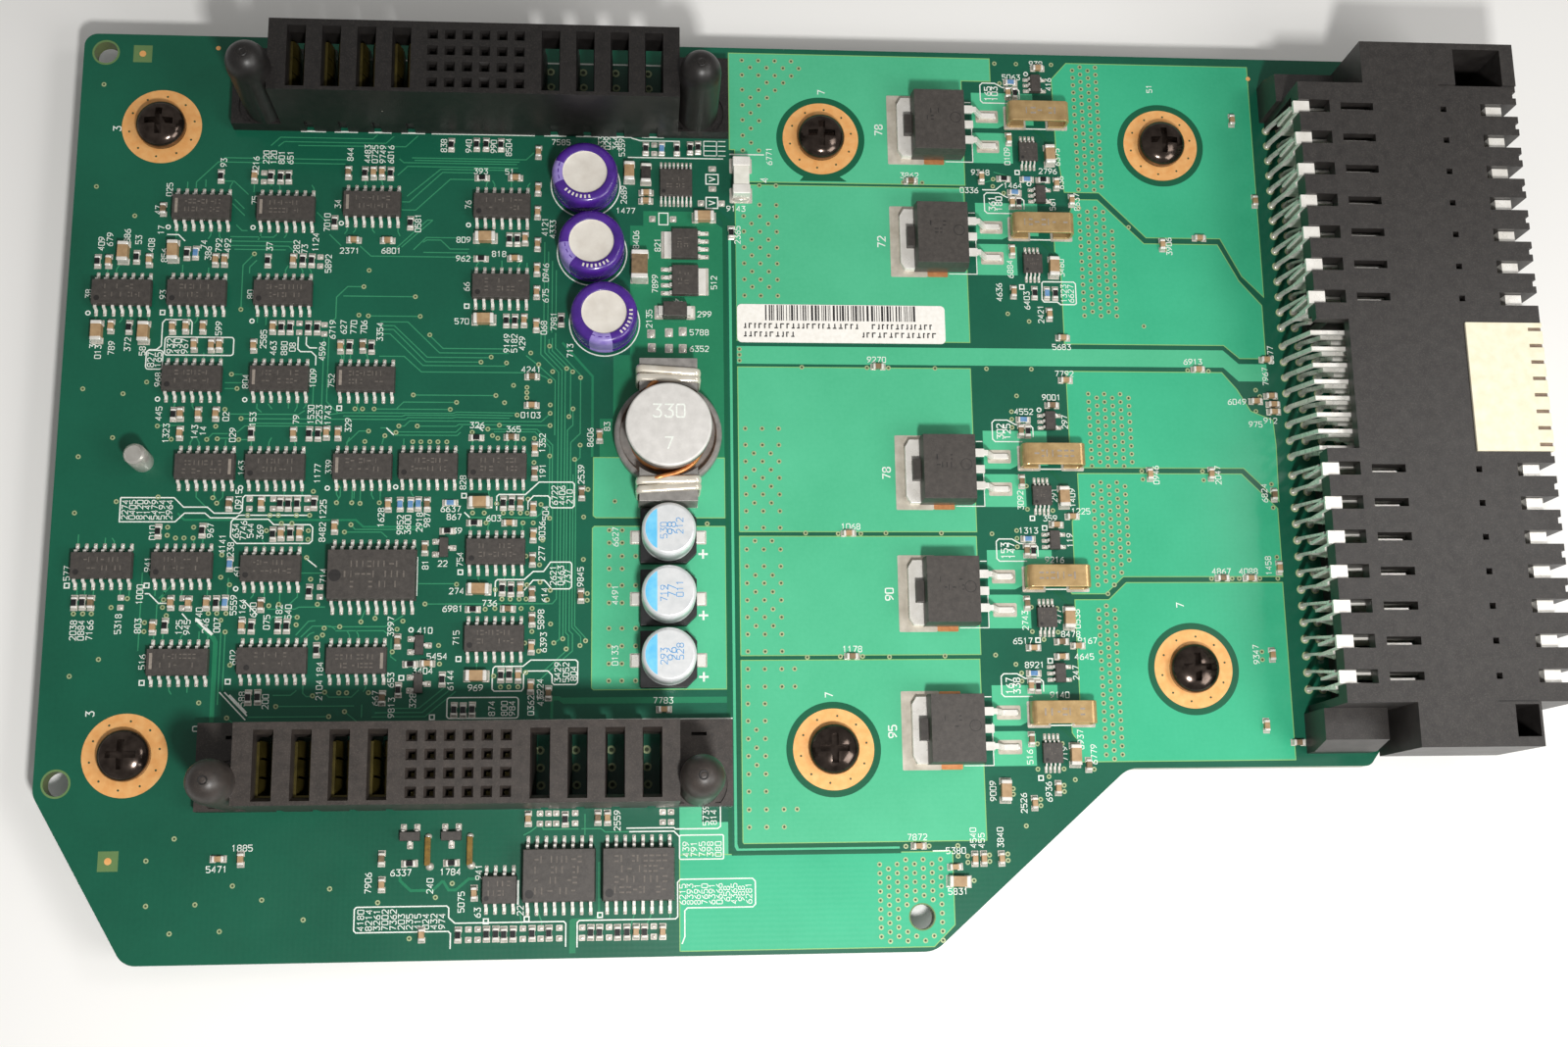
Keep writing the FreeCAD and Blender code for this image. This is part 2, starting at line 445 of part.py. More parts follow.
for x in SLOT_X:
    cuts.append(solid_box(x - sw, x + sw, sy - sl2, sy + sl2, -1, rise + 1))
    cuts.append(frustum((x - sw, x + sw, sy - sl2, sy + sl2), rise - 1.3,
                        (x - sw - 0.15, x + sw + 0.15, sy - sl2 - 0.55, sy + sl2 + 0.55), rise + 0.01))
    # the cavity runs out through the back wall and the flange, under a bridge
    cuts.append(solid_box(x - sw, x + sw, sy + sl2 - 0.1, val("sock_flange_front") + val("sock_flange_wide") + 1, -1, val("slot_bridge")))
    # inspection notch at the foot of the front wall
    cuts.append(solid_box(x - 0.6, x + 0.6, val("sock_block_front") - 1, val("sock_block_front") + 0.7, 0, 3.6))
g, f, p = val("sig_hole") / 2, val("sig_funnel") / 2, val("sig_pin") / 2
for x in SIG_X:
    for y in SIG_Y:
        cuts.append(solid_box(x - g, x + g, y - g, y + g, 3.0, rise + 1))
        cuts.append(solid_box(x - p, x + p, y - p, y + p, -1, 3.0))
        cuts.append(frustum((x - g, x + g, y - g, y + g), rise - 0.55, (x - f, x + f, y - f, y + f), rise + 0.01))
for side in ("left", "right"):
    px = val("sock_post_%s" % side)
    cuts.append(solid_box(px - 1.1, px + 1.1, 0.85, 1.35, 0.6, 4))
    ring = Part.makeCylinder(4.05, 0.5, Vector(px, val("sock_post_y"), val("sock_flange_thick") - 0.35))
    ring = ring.cut(Part.makeCylinder(3.45, 1.0, Vector(px, val("sock_post_y"), val("sock_flange_thick") - 0.6)))
    keep = solid_box(px - 6, px + 6, val("sock_flange_front") + 0.4, 3, 0, 9)
    ring = ring.common(keep)
    ring = ring.cut(solid_box(val("sock_block_left") - 0.1, val("sock_block_left") + val("sock_block_len") + 0.1, -20, 20, 0, 9))
    cuts.append(ring)
tool = doc.addObject("Part::Feature", "sock_cavities")
tool.Shape = Part.makeCompound(cuts)
housing = doc.addObject("Part::Cut", "sock_housing")
housing.Base = solid
housing.Tool = tool
doc.recompute()

bt, br, bl = val("blade_thick"), val("blade_rise"), val("blade_long")
by0 = sy - sl2
leaf = []
for s in (-1, 1):
    x0, x1 = sorted((s * sw, s * (sw - bt)))
    leaf.append(solid_box(x0, x1, by0, by0 + bl, 0.6, br))
    for yt in BLADE_TAILS:
        leaf.append(solid_box(x0, x1, yt - 0.35, yt + 0.35, -TOP - val("tail_drop"), 0.7))
leaf.append(solid_box(-sw, sw, by0, by0 + bt, 4.0, br))
blade = joined(leaf)
spike = joined([solid_box(-p, p, -p, p, -0.0, 11.4), solid_box(-0.25, 0.25, -0.25, 0.25, -TOP - val("tail_drop"), 0.1)])
for label, (ox, oy) in (("upper", UPPER_SOCKET), ("lower", LOWER_SOCKET)):
    o = doc.addObject("Part::Feature", label + "_socket_housing")
    o.Shape = housing.Shape
    o.Placement = Placement(Vector(ox, oy, TOP), Rotation())
    node(label + "_socket_housing", o)
    group(label + "_socket_power_contacts", [turned(blade, ox + x, oy) for x in BLADE_SLOTS])
    group(label + "_socket_signal_contacts", [turned(spike, ox + x, oy + y) for x in SIG_X for y in SIG_Y])

# --------------------------------------------- right-angle output connector

rx, fx = val("out_rear"), val("out_front")
lo, hi = val("out_low"), val("out_high")
orise = val("out_rise")
main = prim_box("out_main", "dims.out_front - dims.out_rear", "dims.out_high - dims.out_low", "dims.out_rise", (rx, lo, 0))
low_end = prim_box("out_low_end", "18.2", "dims.out_low - dims.out_end_low", "dims.out_rise",
                   (val("out_end_x"), val("out_end_low"), 0))
high_end = prim_box("out_high_end", "dims.out_front - dims.out_end_x", "dims.out_end_high - dims.out_high", "dims.out_rise",
                    (val("out_end_x"), hi, 0))
ears = doc.addObject("Part::Feature", "out_ears")
ears.Shape = Part.makeCompound([
    prism_x([(lo, 0), (lo - 5.9, 0), (lo - 5.9, 3.0), (lo - 4.6, 8.0), (lo, 8.0)], 121.28, 130.78),
    prism_x([(hi, 0), (hi + 5.9, 0), (hi + 5.9, 3.0), (hi + 4.6, 8.0), (hi, 8.0)], 121.28, 130.78)])
out_solid = doc.addObject("Part::MultiFuse", "out_solid")
out_solid.Shapes = [main, low_end, high_end, ears]
c = val("out_slot_wide") / 2
ocl, och = val("out_channel_low"), val("out_channel_high")
cuts = [
    # open back under the top plate, where the tails come down
    solid_box(rx - 1, val("out_recess_x"), lo + 1.2, hi - 1.2, -1, val("out_recess_rise")),
    # signal bay and its window
    solid_box(rx - 1, val("insert_rear") + 0.01, -5.98, 14.9, -1, 13.2),
    solid_box(rx - 1, 126.98, -5.88, 13.92, 0, orise + 1),
    # insert pocket
    solid_box(val("insert_rear"), fx + 1, val("insert_low"), val("insert_high"), val("insert_floor"), orise + 1),
    # lower front step of the top face
    solid_box(val("out_step_x"), fx + 1, lo - 0.01, hi + 0.01, orise - val("out_step"), orise + 1),
    # end window and end socket
    solid_box(147.08, 154.58, hi + 0.0, 57.72, -1, orise + 1),
    solid_box(146.68, 150.18, -48.08, -43.48, 2.0, orise + 1),
]
for yt in OUT_UPPER + OUT_LOWER:
    y = yt + OUT_SHIFT
    cuts.append(solid_box(rx - 1, 126.88, y - c, y + c, 2.0, orise + 1))
    cuts.append(solid_box(126.5, fx + 1, y - c, y + c, ocl, och))
    cuts.append(solid_box(128.58, 133.68, y - 0.6, y + 0.6, och - 1, orise + 1))
    cuts.append(solid_box(144.53, 145.43, y - 0.45, y + 0.45, och - 1, orise + 1))
    cuts.append(solid_box(150.88, fx + 1, y - c, y + c, och - 1, orise + 1))
    # castellated front edge between neighbouring openings
    cuts.append(solid_box(fx - 0.5, fx + 1, y + 2.04, y + 3.04, -1, orise + 1))
out_tool = doc.addObject("Part::Feature", "out_cavities")
out_tool.Shape = Part.makeCompound(cuts)
out_housing = doc.addObject("Part::Cut", "out_housing")
out_housing.Base = out_solid
out_housing.Tool = out_tool
doc.recompute()
o = doc.addObject("Part::Feature", "output_connector_housing")
o.Shape = out_housing.Shape
o.Placement = Placement(Vector(0, 0, TOP), Rotation())
node("output_connector_housing", o)

insert_block = prim_box("insert_block", "dims.insert_front - dims.insert_rear", "dims.insert_high - dims.insert_low",
                        "dims.out_rise - dims.insert_floor",
                        (val("insert_rear"), val("insert_low"), val("insert_floor")))
cuts = []
for y in OUT_SIG_ROW_Y:
    cuts.append(solid_box(val("insert_front") - 2.2, val("insert_front") + 1, y - 0.28, y + 0.28, orise - 1.4, orise + 1))
    for z in OUT_SIG_Z:
        cuts.append(solid_box(val("insert_rear") - 1, 147.3, y - 0.32, y + 0.32, z - 0.32, z + 0.32))
        cuts.append(solid_box(147.3, val("insert_front") + 1, y - 0.65, y + 0.65, z - 0.65, z + 0.65))
insert_tool = doc.addObject("Part::Feature", "insert_cavities")
insert_tool.Shape = Part.makeCompound(cuts)
insert = doc.addObject("Part::Cut", "signal_insert")
insert.Base = insert_block
insert.Tool = insert_tool
doc.recompute()
o = doc.addObject("Part::Feature", "output_connector_signal_insert")
o.Shape = insert.Shape
o.Placement = Placement(Vector(0, 0, TOP), Rotation())
node("output_connector_signal_insert", o)

drop = -TOP - val("tail_drop")
st = val("out_sheet")


def slanted_leg(x, y_top, y_tail, z_top, thick, wide):
    """Strip that leans from the tail up to the contact, with its tail."""
    t = thick / 2
    lean = prism_x([(y_tail - t, 1.6), (y_tail + t, 1.6), (y_top + t, z_top), (y_top - t, z_top)], x - wide / 2, x + wide / 2)
    tail = solid_box(x - wide / 2, x + wide / 2, y_tail - t, y_tail + t, drop, 1.61)
    return [lean, tail]


def cranked_leg(x, y_side, y_top, y_tail, z_top, thick, wide):
    """Strip that steps out from the contact's side, then leans down to its tail."""
    t = thick / 2
    y0, y1 = sorted((y_side, y_top))
    lean = prism_x([(y_tail - t, 1.6), (y_tail + t, 1.6), (y_top + t, z_top - 0.6), (y_top - t, z_top - 0.6)], x - wide / 2, x + wide / 2)
    return [lean, solid_box(x - wide / 2, x + wide / 2, y0 - t, y1 + t, z_top - 0.9, z_top),
            solid_box(x - wide / 2, x + wide / 2, y_tail - t, y_tail + t, drop, 1.61)]


def power_contact():
    """One contact, its slot centre at y = 0 and its tail centre at y = -OUT_SHIFT."""
    pieces = [solid_box(121.38, 123.88, -0.95, 0.95, 13.9, 14.5)]
    for s in (-1, 1):
        y0, y1 = sorted((s * 0.95, s * (0.95 - st)))
        pieces.append(solid_box(121.9, 123.88, y0, y1, 11.0, 14.0))
        pieces.append(solid_box(121.9, 154.68, y0, y1, 6.0, 12.0))
        for x in OUT_TAIL_X:
            pieces += cranked_leg(x, s * 0.75, s * 1.2, -OUT_SHIFT + s * 1.27, 11.5 if x < 123 else 6.7, 0.4, 0.7)
    pieces.append(solid_box(152.18, 154.68, -0.95, 0.95, 11.7, 13.6))
    pieces.append(solid_box(128.88, 132.6, -0.56, -0.2, 11.0, 14.2))
    return joined(pieces)


contact = power_contact()
group("output_connector_upper_power_contacts", [turned(contact, 0, yt + OUT_SHIFT) for yt in OUT_UPPER])
group("output_connector_lower_power_contacts", [turned(contact, 0, yt + OUT_SHIFT) for yt in OUT_LOWER])
signals = []
for yt, yr in zip(OUT_SIG_TAIL_Y, OUT_SIG_ROW_Y):
    for x, z in zip(OUT_SIG_X, OUT_SIG_Z):
        pieces = slanted_leg(x, yr, yt, z + 0.3, 0.6, 0.6)
        pieces.append(solid_box(x - 0.3, 150.3, yr - 0.3, yr + 0.3, z - 0.3, z + 0.3))
        signals.append(turned(joined(pieces), 0, 0))
group("output_connector_signal_contacts", signals)

# ------------------------------------------------------------ capacitors

can = new_body("bulk_can_master")
r, top, seat = val("bulk_radius"), val("bulk_top"), val("bulk_seat")
dish, dr = val("bulk_dish"), val("bulk_dish_radius")
revolve(can, "bulk_can_turned", [(0, seat), (r - 0.25, seat), (r, seat + 0.25), (r, seat + 0.9), (r - 0.3, seat + 1.25),
                                 (r, seat + 1.6), (r, top - 0.75), (r - 0.22, top - 0.22), (r - 0.75, top), (dr, top),
                                 (dr - 0.1, top - dish), (0, top - dish)])
doc.recompute()
group("sleeved_capacitor_cans", [turned(can.Shape, x, y, a) for x, y, a in BULK])
wire = doc.addObject("Part::Cylinder", "bulk_lead_master")
wire.setExpression("Radius", "dims.bulk_lead_radius")
wire.setExpression("Height", "dims.board_thick + dims.tail_drop + dims.bulk_seat")
doc.recompute()
group("sleeved_capacitor_leads", [turned(wire.Shape, x, y, 0, -val("tail_drop")) for x, y in lead_points])

can = new_body("filter_can_master")
r, top, low = val("filt_radius"), val("filt_top"), val("filt_base_high")
revolve(can, "filter_can_turned", [(0, low), (r - 0.3, low), (r, low + 0.3), (r, low + 0.75), (r - 0.35, low + 1.15),
                                   (r, low + 1.55), (r, top - 0.5), (r - 0.15, top - 0.15), (r - 0.5, top), (0, top)])
doc.recompute()
group("filter_capacitor_cans", [turned(can.Shape, x, y) for x, y, a in FILT])
base = new_body("filter_base_master")
sk = new_sketch(base, "filter_base_outline", "XY_Plane", val("filt_base_low"))
hb, bc = val("filt_base") / 2, val("filt_base_cut")
polygon(sk, [(-hb, -hb), (hb - bc, -hb), (hb, -hb + bc), (hb, hb - bc), (hb - bc, hb), (-hb, hb)])
pad(base, "filter_base_pad", sk, "dims.filt_base_high - dims.filt_base_low")
doc.recompute()
group("filter_capacitor_bases", [turned(base.Shape, x, y) for x, y, a in FILT])
term = prim_box("filter_terminal_master", "dims.filt_term_reach - 1.4", "dims.filt_term_wide", "dims.filt_base_low",
                (1.4, -val("filt_term_wide") / 2, 0))
doc.recompute()
group("filter_capacitor_terminals", [turned(term.Shape, x, y, a) for x, y, _ in FILT for a in (0, 180)])

# ------------------------------------------------------------ inductor

ir, it, inn = val("ind_flange_radius"), val("ind_top_radius"), val("ind_neck_radius")
core = new_body("inductor_drum")
revolve(core, "inductor_drum_turned", [
    (0, val("ind_flange_low")), (ir, val("ind_flange_low")), (ir, val("ind_flange_high") - 0.3),
    (ir - 0.3, val("ind_flange_high")), (val("ind_groove_radius") + 0.1, val("ind_flange_high")),
    (val("ind_groove_radius"), val("ind_flange_high") - 0.1), (val("ind_groove_radius"), val("ind_groove_floor")),
    (inn, val("ind_groove_floor")), (inn, val("ind_top_low")), (it, val("ind_top_low")), (it, val("ind_top_high") - 0.5),
    (it - 0.15, val("ind_top_high") - 0.15), (it - 0.5, val("ind_top_high")), (0, val("ind_top_high"))])
ear = prim_box("inductor_ear_bar", "dims.ind_ear_wide", "dims.ind_ear_long", "dims.ind_ear_high - dims.ind_flange_low",
               (-val("ind_ear_wide") / 2, -val("ind_ear_long") / 2, val("ind_flange_low")))
ear_clear = doc.addObject("Part::Cylinder", "inductor_ear_clear")
ear_clear.setExpression("Radius", "dims.ind_groove_radius")
ear_clear.setExpression("Height", "dims.ind_ear_high")
ears_cut = doc.addObject("Part::Cut", "inductor_ears")
ears_cut.Base = ear
ears_cut.Tool = ear_clear
drum = doc.addObject("Part::MultiFuse", "inductor_core_solid")
drum.Shapes = [core, ears_cut]
doc.recompute()
group("inductor_core", [turned(drum.Shape, *INDUCTOR)])
coil = new_body("inductor_coil")
cl, ch, co = val("ind_groove_floor"), val("ind_top_low"), val("ind_coil_radius")
turns = 4
profile = [(inn, cl)]
for k in range(turns):
    z0 = cl + (ch - cl) * k / turns
    z1 = cl + (ch - cl) * (k + 1) / turns
    profile += [(co - 0.35, z0), (co, z0 + 0.25), (co, z1 - 0.25)]
profile += [(co - 0.35, ch), (inn, ch)]
revolve(coil, "inductor_coil_turned", profile)
doc.recompute()
group("inductor_winding", [turned(coil.Shape, *INDUCTOR)])
iw, ww, ew, eh = val("ind_wire"), val("ind_wire_wide") / 2, val("ind_ear_wide") / 2, val("ind_ear_high")
wraps = []
for y in (9.0, 7.8):
    for s in (-1, 1):
        loop = solid_box(-ew - iw, ew + iw, s * y - ww, s * y + ww, val("ind_flange_low") - iw, eh + iw)
        loop = loop.cut(solid_box(-ew, ew, s * y - 2, s * y + 2, val("ind_flange_low"), eh))
        wraps.append(turned(loop, *INDUCTOR))
group("inductor_wire_ends", wraps)

# ------------------------------------------------------------ power parts

fl, fw, ft = val("fet_len"), val("fet_wide"), val("fet_top")
to, tl, tw, tt = val("fet_tab_out"), val("fet_tab_len"), val("fet_tab_wide"), val("fet_tab_thick")
fet = new_body("fet_body_block")
sk = new_sketch(fet, "fet_outline", "XY_Plane", val("fet_lead_z"))
rectangle(sk, "fet_len", "fet_wide")
f = pad(fet, "fet_pad", sk, "dims.fet_top - dims.fet_lead_z")
f.SideType = "Two sides"
f.setExpression("Length2", "dims.fet_lead_z - 0.1")
f.TaperAngle = -5
f.TaperAngle2 = -3
tab_slot = new_body("fet_tab_slot")
sk = new_sketch(tab_slot, "fet_tab_outline")
tx, tc, fs = -fl / 2 - to, val("fet_tab_corner"), val("fet_shift")
polygon(sk, [(tx + tc * 0.6, -tw / 2), (tx + tl, -tw / 2), (tx + tl, tw / 2), (tx + tc * 0.6, tw / 2),
             (tx, tw / 2 - tc), (tx, -tw / 2 + tc)])
pad(tab_slot, "fet_tab_pad", sk, "dims.fet_tab_thick")
# moulded tongue that locks the case over the tab
tongue = prim_box("fet_tongue_block", "dims.fet_tongue + 0.6", "dims.fet_tongue_wide", "dims.fet_lead_z - dims.fet_tab_thick",
                  (-fl / 2 - val("fet_tongue"), -val("fet_tongue_wide") / 2, tt))
fet_case = doc.addObject("Part::MultiFuse", "fet_case")
fet_case.Shapes = [fet, tongue]
fet_cut = doc.addObject("Part::Cut", "fet_body_cut")
fet_cut.Base = fet_case
fet_cut.Tool = tab_slot
doc.recompute()
group("power_transistor_bodies", [turned(fet_cut.Shape, x + fs, y) for x, y, a in D2PAK])
group("power_transistor_tabs", [turned(tab_slot.Shape, x + fs, y) for x, y, a in D2PAK])
lz, lt, lw = val("fet_lead_z"), val("fet_lead_thick"), val("fet_lead_wide") / 2
reach = val("fet_lead_reach")
long_lead = prism_y([(fl / 2, lz - lt / 2), (fl / 2 + 1.7, lz - lt / 2), (reach - 2.45, 0), (reach, 0), (reach, lt),
                     (reach - 2.1, lt), (fl / 2 + 2.0, lz + lt / 2), (fl / 2, lz + lt / 2)], -lw, lw)
stub = prism_y([(fl / 2, lz - lt / 2), (fl / 2 + 1.5, lz - lt / 2), (fl / 2 + 1.5, lz + lt / 2), (fl / 2, lz + lt / 2)], -0.62, 0.62)
shoulder = solid_box(fl / 2, fl / 2 + 1.5, -0.62, 0.62, lz - lt / 2, lz + lt / 2)
long_lead = joined([long_lead, shoulder])
leads = []
for x, y, a in D2PAK:
    for s in (-1, 1):
        leads.append(turned(long_lead, x + fs, y + s * val("fet_lead_pitch")))
    leads.append(turned(stub, x + fs, y))
group("power_transistor_leads", leads)

sn, sw2, stp, sth, sf = val("shunt_len") / 2, val("shunt_wide") / 2, val("shunt_top"), val("shunt_thick"), val("shunt_foot")
strip = new_body("shunt_master")
sk = new_sketch(strip, "shunt_profile", "XZ_Plane")
bend = val("shunt_bend")


def strip_edge(radius):
    """Half outline of the folded strip, from the end of the turned-in foot to the start of the flat top."""
    out = [(sn - sf, bend - radius)]
    out += [(sn - bend + radius * math.sin(a), bend - radius * math.cos(a)) for a in [math.radians(t) for t in range(0, 91, 18)]]
    out += [(sn - bend + radius * math.cos(a), stp - bend + radius * math.sin(a)) for a in [math.radians(t) for t in range(0, 91, 18)]]
    return out


outer, inner = strip_edge(bend), strip_edge(bend - sth)
polygon(sk, outer + [(-x, z) for x, z in reversed(outer)] + [(-x, z) for x, z in inner] + list(reversed(inner)))
f = pad(strip, "shunt_pad", sk, "dims.shunt_wide", True)
doc.recompute()
group("current_shunts", [turned(strip.Shape, x, y) for x, y, a in SHUNT])

fn, fwd, ftp, fc = val("fuse_len"), val("fuse_wide"), val("fuse_top"), val("fuse_cap")
fuse_body = prim_box("fuse_body_master", "dims.fuse_len - 2 * dims.fuse_cap", "dims.fuse_wide - 0.3", "dims.fuse_top - 0.3",
                     (-fn / 2 + fc, -fwd / 2 + 0.15, 0.15))
fuse_cap = prim_box("fuse_cap_master", "dims.fuse_cap", "dims.fuse_wide", "dims.fuse_top", (fn / 2 - fc, -fwd / 2, 0))
doc.recompute()
group("fuse_body", [turned(fuse_body.Shape, x, y, a) for x, y, a in FUSE])
group("fuse_end_caps", [turned(fuse_cap.Shape, x, y, a + t) for x, y, a in FUSE for t in (0, 180)])

diode = new_body("diode_master")
sk = new_sketch(diode, "diode_outline", "XY_Plane", 1.1)
rectangle(sk, "diode_len", "diode_wide")
f = pad(diode, "diode_pad", sk, "dims.diode_top - 1.1")
f.SideType = "Two sides"
f.Length2 = 0.95
f.TaperAngle = -7
f.TaperAngle2 = -5
doc.recompute()
group("rectifier_diode_body", [turned(diode.Shape, x, y) for x, y, a in SMA])
dl, ds, dt = val("diode_len") / 2, val("diode_span") / 2, val("diode_tab") / 2
tab = prism_y([(dl, 0.98), (dl + 0.45, 0.98), (dl + 0.45, 0.14), (dl - 0.6, 0.14), (dl - 0.6, 0), (ds, 0), (ds, 0.2), (dl + 0.65, 0.2),
               (dl + 0.65, 1.2), (dl, 1.2)], -dt, dt)
group("rectifier_diode_terminals", [turned(tab, x, y, a) for x, y, _ in SMA for a in (0, 180)])

switch = new_body("switch_master")
sk = new_sketch(switch, "switch_outline", "XY_Plane", 0.3)
rectangle(sk, "switch_len", "switch_wide")
f = pad(switch, "switch_pad", sk, "dims.switch_top - 0.3")
f.TaperAngle = -8
doc.recompute()
group("switch_transistor_bodies", [turned(switch.Shape, x, y, a) for x, y, a in LFPAK])
wl, wwd, wspan = val("switch_len") / 2, val("switch_wide") / 2, val("switch_span") / 2
frame = []
for x, y, a in LFPAK:
    frame.append(turned(joined([solid_box(-wspan, wl - 1.0, -wwd + 0.35, wwd - 0.35, 0, 0.3)]), x, y, a))
    for k in range(4):
        yy = -1.905 + 1.27 * k
        lead = prism_y([(wl, 0.42), (wl + 0.2, 0.42), (wl + 0.32, 0), (wspan, 0), (wspan, 0.2), (wl + 0.47, 0.2), (wl + 0.3, 0.62), (wl, 0.62)],
                       yy - val("switch_lead") / 2, yy + val("switch_lead") / 2)
        frame.append(turned(lead, x, y, a))
group("switch_transistor_leads", frame)

# ------------------------------------------------------------ chip packages


def package(name, length, wide, top):
    """Moulded case with a draft above and below its lead line."""
    b = new_body(name + "_case")
    mid = (val(top) + val("chip_lift")) / 2
    sk = new_sketch(b, name + "_outline", "XY_Plane", mid)
    rectangle(sk, length, wide)
    f = pad(b, name + "_pad", sk, "(dims.%s - dims.chip_lift) / 2" % top)
    f.SideType = "Two sides"
    f.setExpression("Length2", "(dims.%s - dims.chip_lift) / 2" % top)
    f.setExpression("TaperAngle", "-dims.chip_draft")
    f.setExpression("TaperAngle2", "-dims.chip_draft")
    doc.recompute()
    return b.Shape


def gull_lead(name, wide, span, top, width, thick=0.2, foot=0.62):
    """Formed lead on the +Y side of a case, centred at x = 0."""
    b = new_body(name + "_lead")
    mid = (val(top) + val("chip_lift")) / 2
    y0, y1 = val(wide) / 2, val(span) / 2
    bend = y1 - foot
    sk = new_sketch(b, name + "_lead_profile", "YZ_Plane")
    polygon(sk, [(y0, mid - thick / 2), (y0 + (bend - y0) * 0.45, mid - thick / 2), (bend, 0), (y1, 0), (y1, thick),
                 (bend + thick * 0.9, thick), (y0 + (bend - y0) * 0.45 + thick * 0.9, mid + thick / 2), (y0, mid + thick / 2)])
    pad(b, name + "_lead_pad", sk, "dims.%s" % width, True)
    doc.recompute()
    return b.Shape


def lead_rows(lead, spots, count, pitch):
    out = []
    for x, y, a in spots:
        for k in range(count):
            dx = (k - (count - 1) / 2.0) * pitch
            for side in (0, 180):
                one = lead.copy()
                one.Placement = Placement(Vector(dx if side == 0 else -dx, 0, 0), Rotation()).multiply(one.Placement)
                out.append(turned(one, x, y, a + side))
    return out


soic14 = package("soic14", "soic14_len", "soic_wide", "soic_top")
soic16 = package("soic16", "soic16_len", "soic_wide", "soic_top")
soic8 = package("soic8", "soic8_len", "soic_wide", "soic_top")
soic_lead = gull_lead("soic", "soic_wide", "soic_span", "soic_top", "soic_lead")
sp = val("soic_pitch")
group("logic_chip_bodies", [turned(soic14, *q) for q in SOIC14] + [turned(soic16, *q) for q in SOIC16]
      + [turned(soic8, *q) for q in SOIC8])
group("logic_chip_leads", lead_rows(soic_lead, SOIC14, 7, sp) + lead_rows(soic_lead, SOIC16, 8, sp)
      + lead_rows(soic_lead, SOIC8, 4, sp))
sow20 = package("sow20", "sow20_len", "sow_wide", "sow_top")
sow16 = package("sow16", "sow16_len", "sow_wide", "sow_top")
sow_lead = gull_lead("sow", "sow_wide", "sow_span", "sow_top", "soic_lead", 0.25, 0.75)
group("wide_chip_bodies", [turned(sow20, *q) for q in SO20W] + [turned(sow16, *q) for q in SO16W])
group("wide_chip_leads", lead_rows(sow_lead, SO20W, 10, sp) + lead_rows(sow_lead, SO16W, 8, sp))
tssop = package("tssop", "tssop_len", "tssop_wide", "tssop_top")
tssop_lead = gull_lead("tssop", "tssop_wide", "tssop_span", "tssop_top", "tssop_lead", 0.15, 0.55)
group("controller_chip_body", [turned(tssop, *q) for q in TSSOP16])
group("controller_chip_leads", lead_rows(tssop_lead, TSSOP16, 8, val("tssop_pitch")))
msop = package("msop", "msop_len", "msop_wide", "msop_top")
msop_lead = gull_lead("msop", "msop_wide", "msop_span", "msop_top", "tssop_lead", 0.15, 0.5)
group("monitor_chip_bodies", [turned(msop, *q) for q in MSOP8])
group("monitor_chip_leads", lead_rows(msop_lead, MSOP8, 4, val("tssop_pitch")))

# Small packages lie with their length along Y, three leads to the left on the
# five-lead type and two to the left on the three-lead type.
sot5 = package("sot5", "sot_len", "sot5_wide", "sot5_top")
sot5_lead = gull_lead("sot5", "sot5_wide", "sot5_span", "sot5_top", "sot_lead", 0.14, 0.35)
sot3 = package("sot3", "sot_len", "sot3_wide", "sot3_top")
sot3_lead = gull_lead("sot3", "sot3_wide", "sot3_span", "sot3_top", "sot_lead", 0.14, 0.35)


def small_leads(lead, spots, left, right):
    out = []
    for x, y, a in spots:
        for offsets, side in ((left, 90), (right, 270)):
            for d in offsets:
                one = lead.copy()
                one.Placement = Placement(Vector(d if side == 90 else -d, 0, 0), Rotation()).multiply(one.Placement)
                out.append(turned(one, x, y, a + side))
    return out


group("amplifier_chip_bodies", [turned(sot5, x, y, a + 90) for x, y, a in SOT5])
group("amplifier_chip_leads", small_leads(sot5_lead, SOT5, (-0.95, 0, 0.95), (-0.95, 0.95)))
group("small_transistor_bodies", [turned(sot3, x, y, a + 90) for x, y, a in SOT3])
group("small_transistor_leads", small_leads(sot3_lead, SOT3, (-0.95, 0.95), (0,)))

# ------------------------------------------------------------ chip parts


def chip(name, length, wide, top):
    o = prim_box(name, "dims." + length, "dims." + wide, "dims." + top, (-val(length) / 2, -val(wide) / 2, 0))
    doc.recompute()
    return o.Shape


def laid(shape, upright, flat):
    return [turned(shape, x, y, 90) for x, y in upright] + [turned(shape, x, y, 0) for x, y in flat]


group("small_ceramic_capacitors", laid(chip("cap_master", "cap_len", "cap_wide", "cap_top"), CAP_V, CAP_H))
group("large_ceramic_capacitors", laid(chip("big_cap_master", "big_len", "big_wide", "big_top"), LCAP_V, LCAP_H))
group("bulk_ceramic_capacitor", [turned(chip("bulk_cap_master", "bulk_cap_len", "bulk_cap_wide", "bulk_cap_top"), *q) for q in BIGCAP])
resistor = chip("resistor_master", "res_len", "res_wide", "res_top")
group("chip_resistors", laid(resistor, RES_V, RES_H))
group("film_resistors", laid(resistor, BLUE_V, BLUE_H))
group("ferrite_bead", [turned(chip("bead_master", "bead_len", "bead_wide", "bead_top"), *q) for q in BEAD])
stick = chip("stick_master", "stick_len", "stick_wide", "stick_top")
group("test_point_bars", [turned(stick, x, y, 90) for x, y in STICKS])

label = prim_box("identification_label", "dims.label_len", "dims.label_wide", "dims.label_thick",
                 (LABEL[0] - val("label_len") / 2, LABEL[1] - val("label_wide") / 2, TOP))
node("identification_label", label)

# ------------------------------------------------------------ check and write

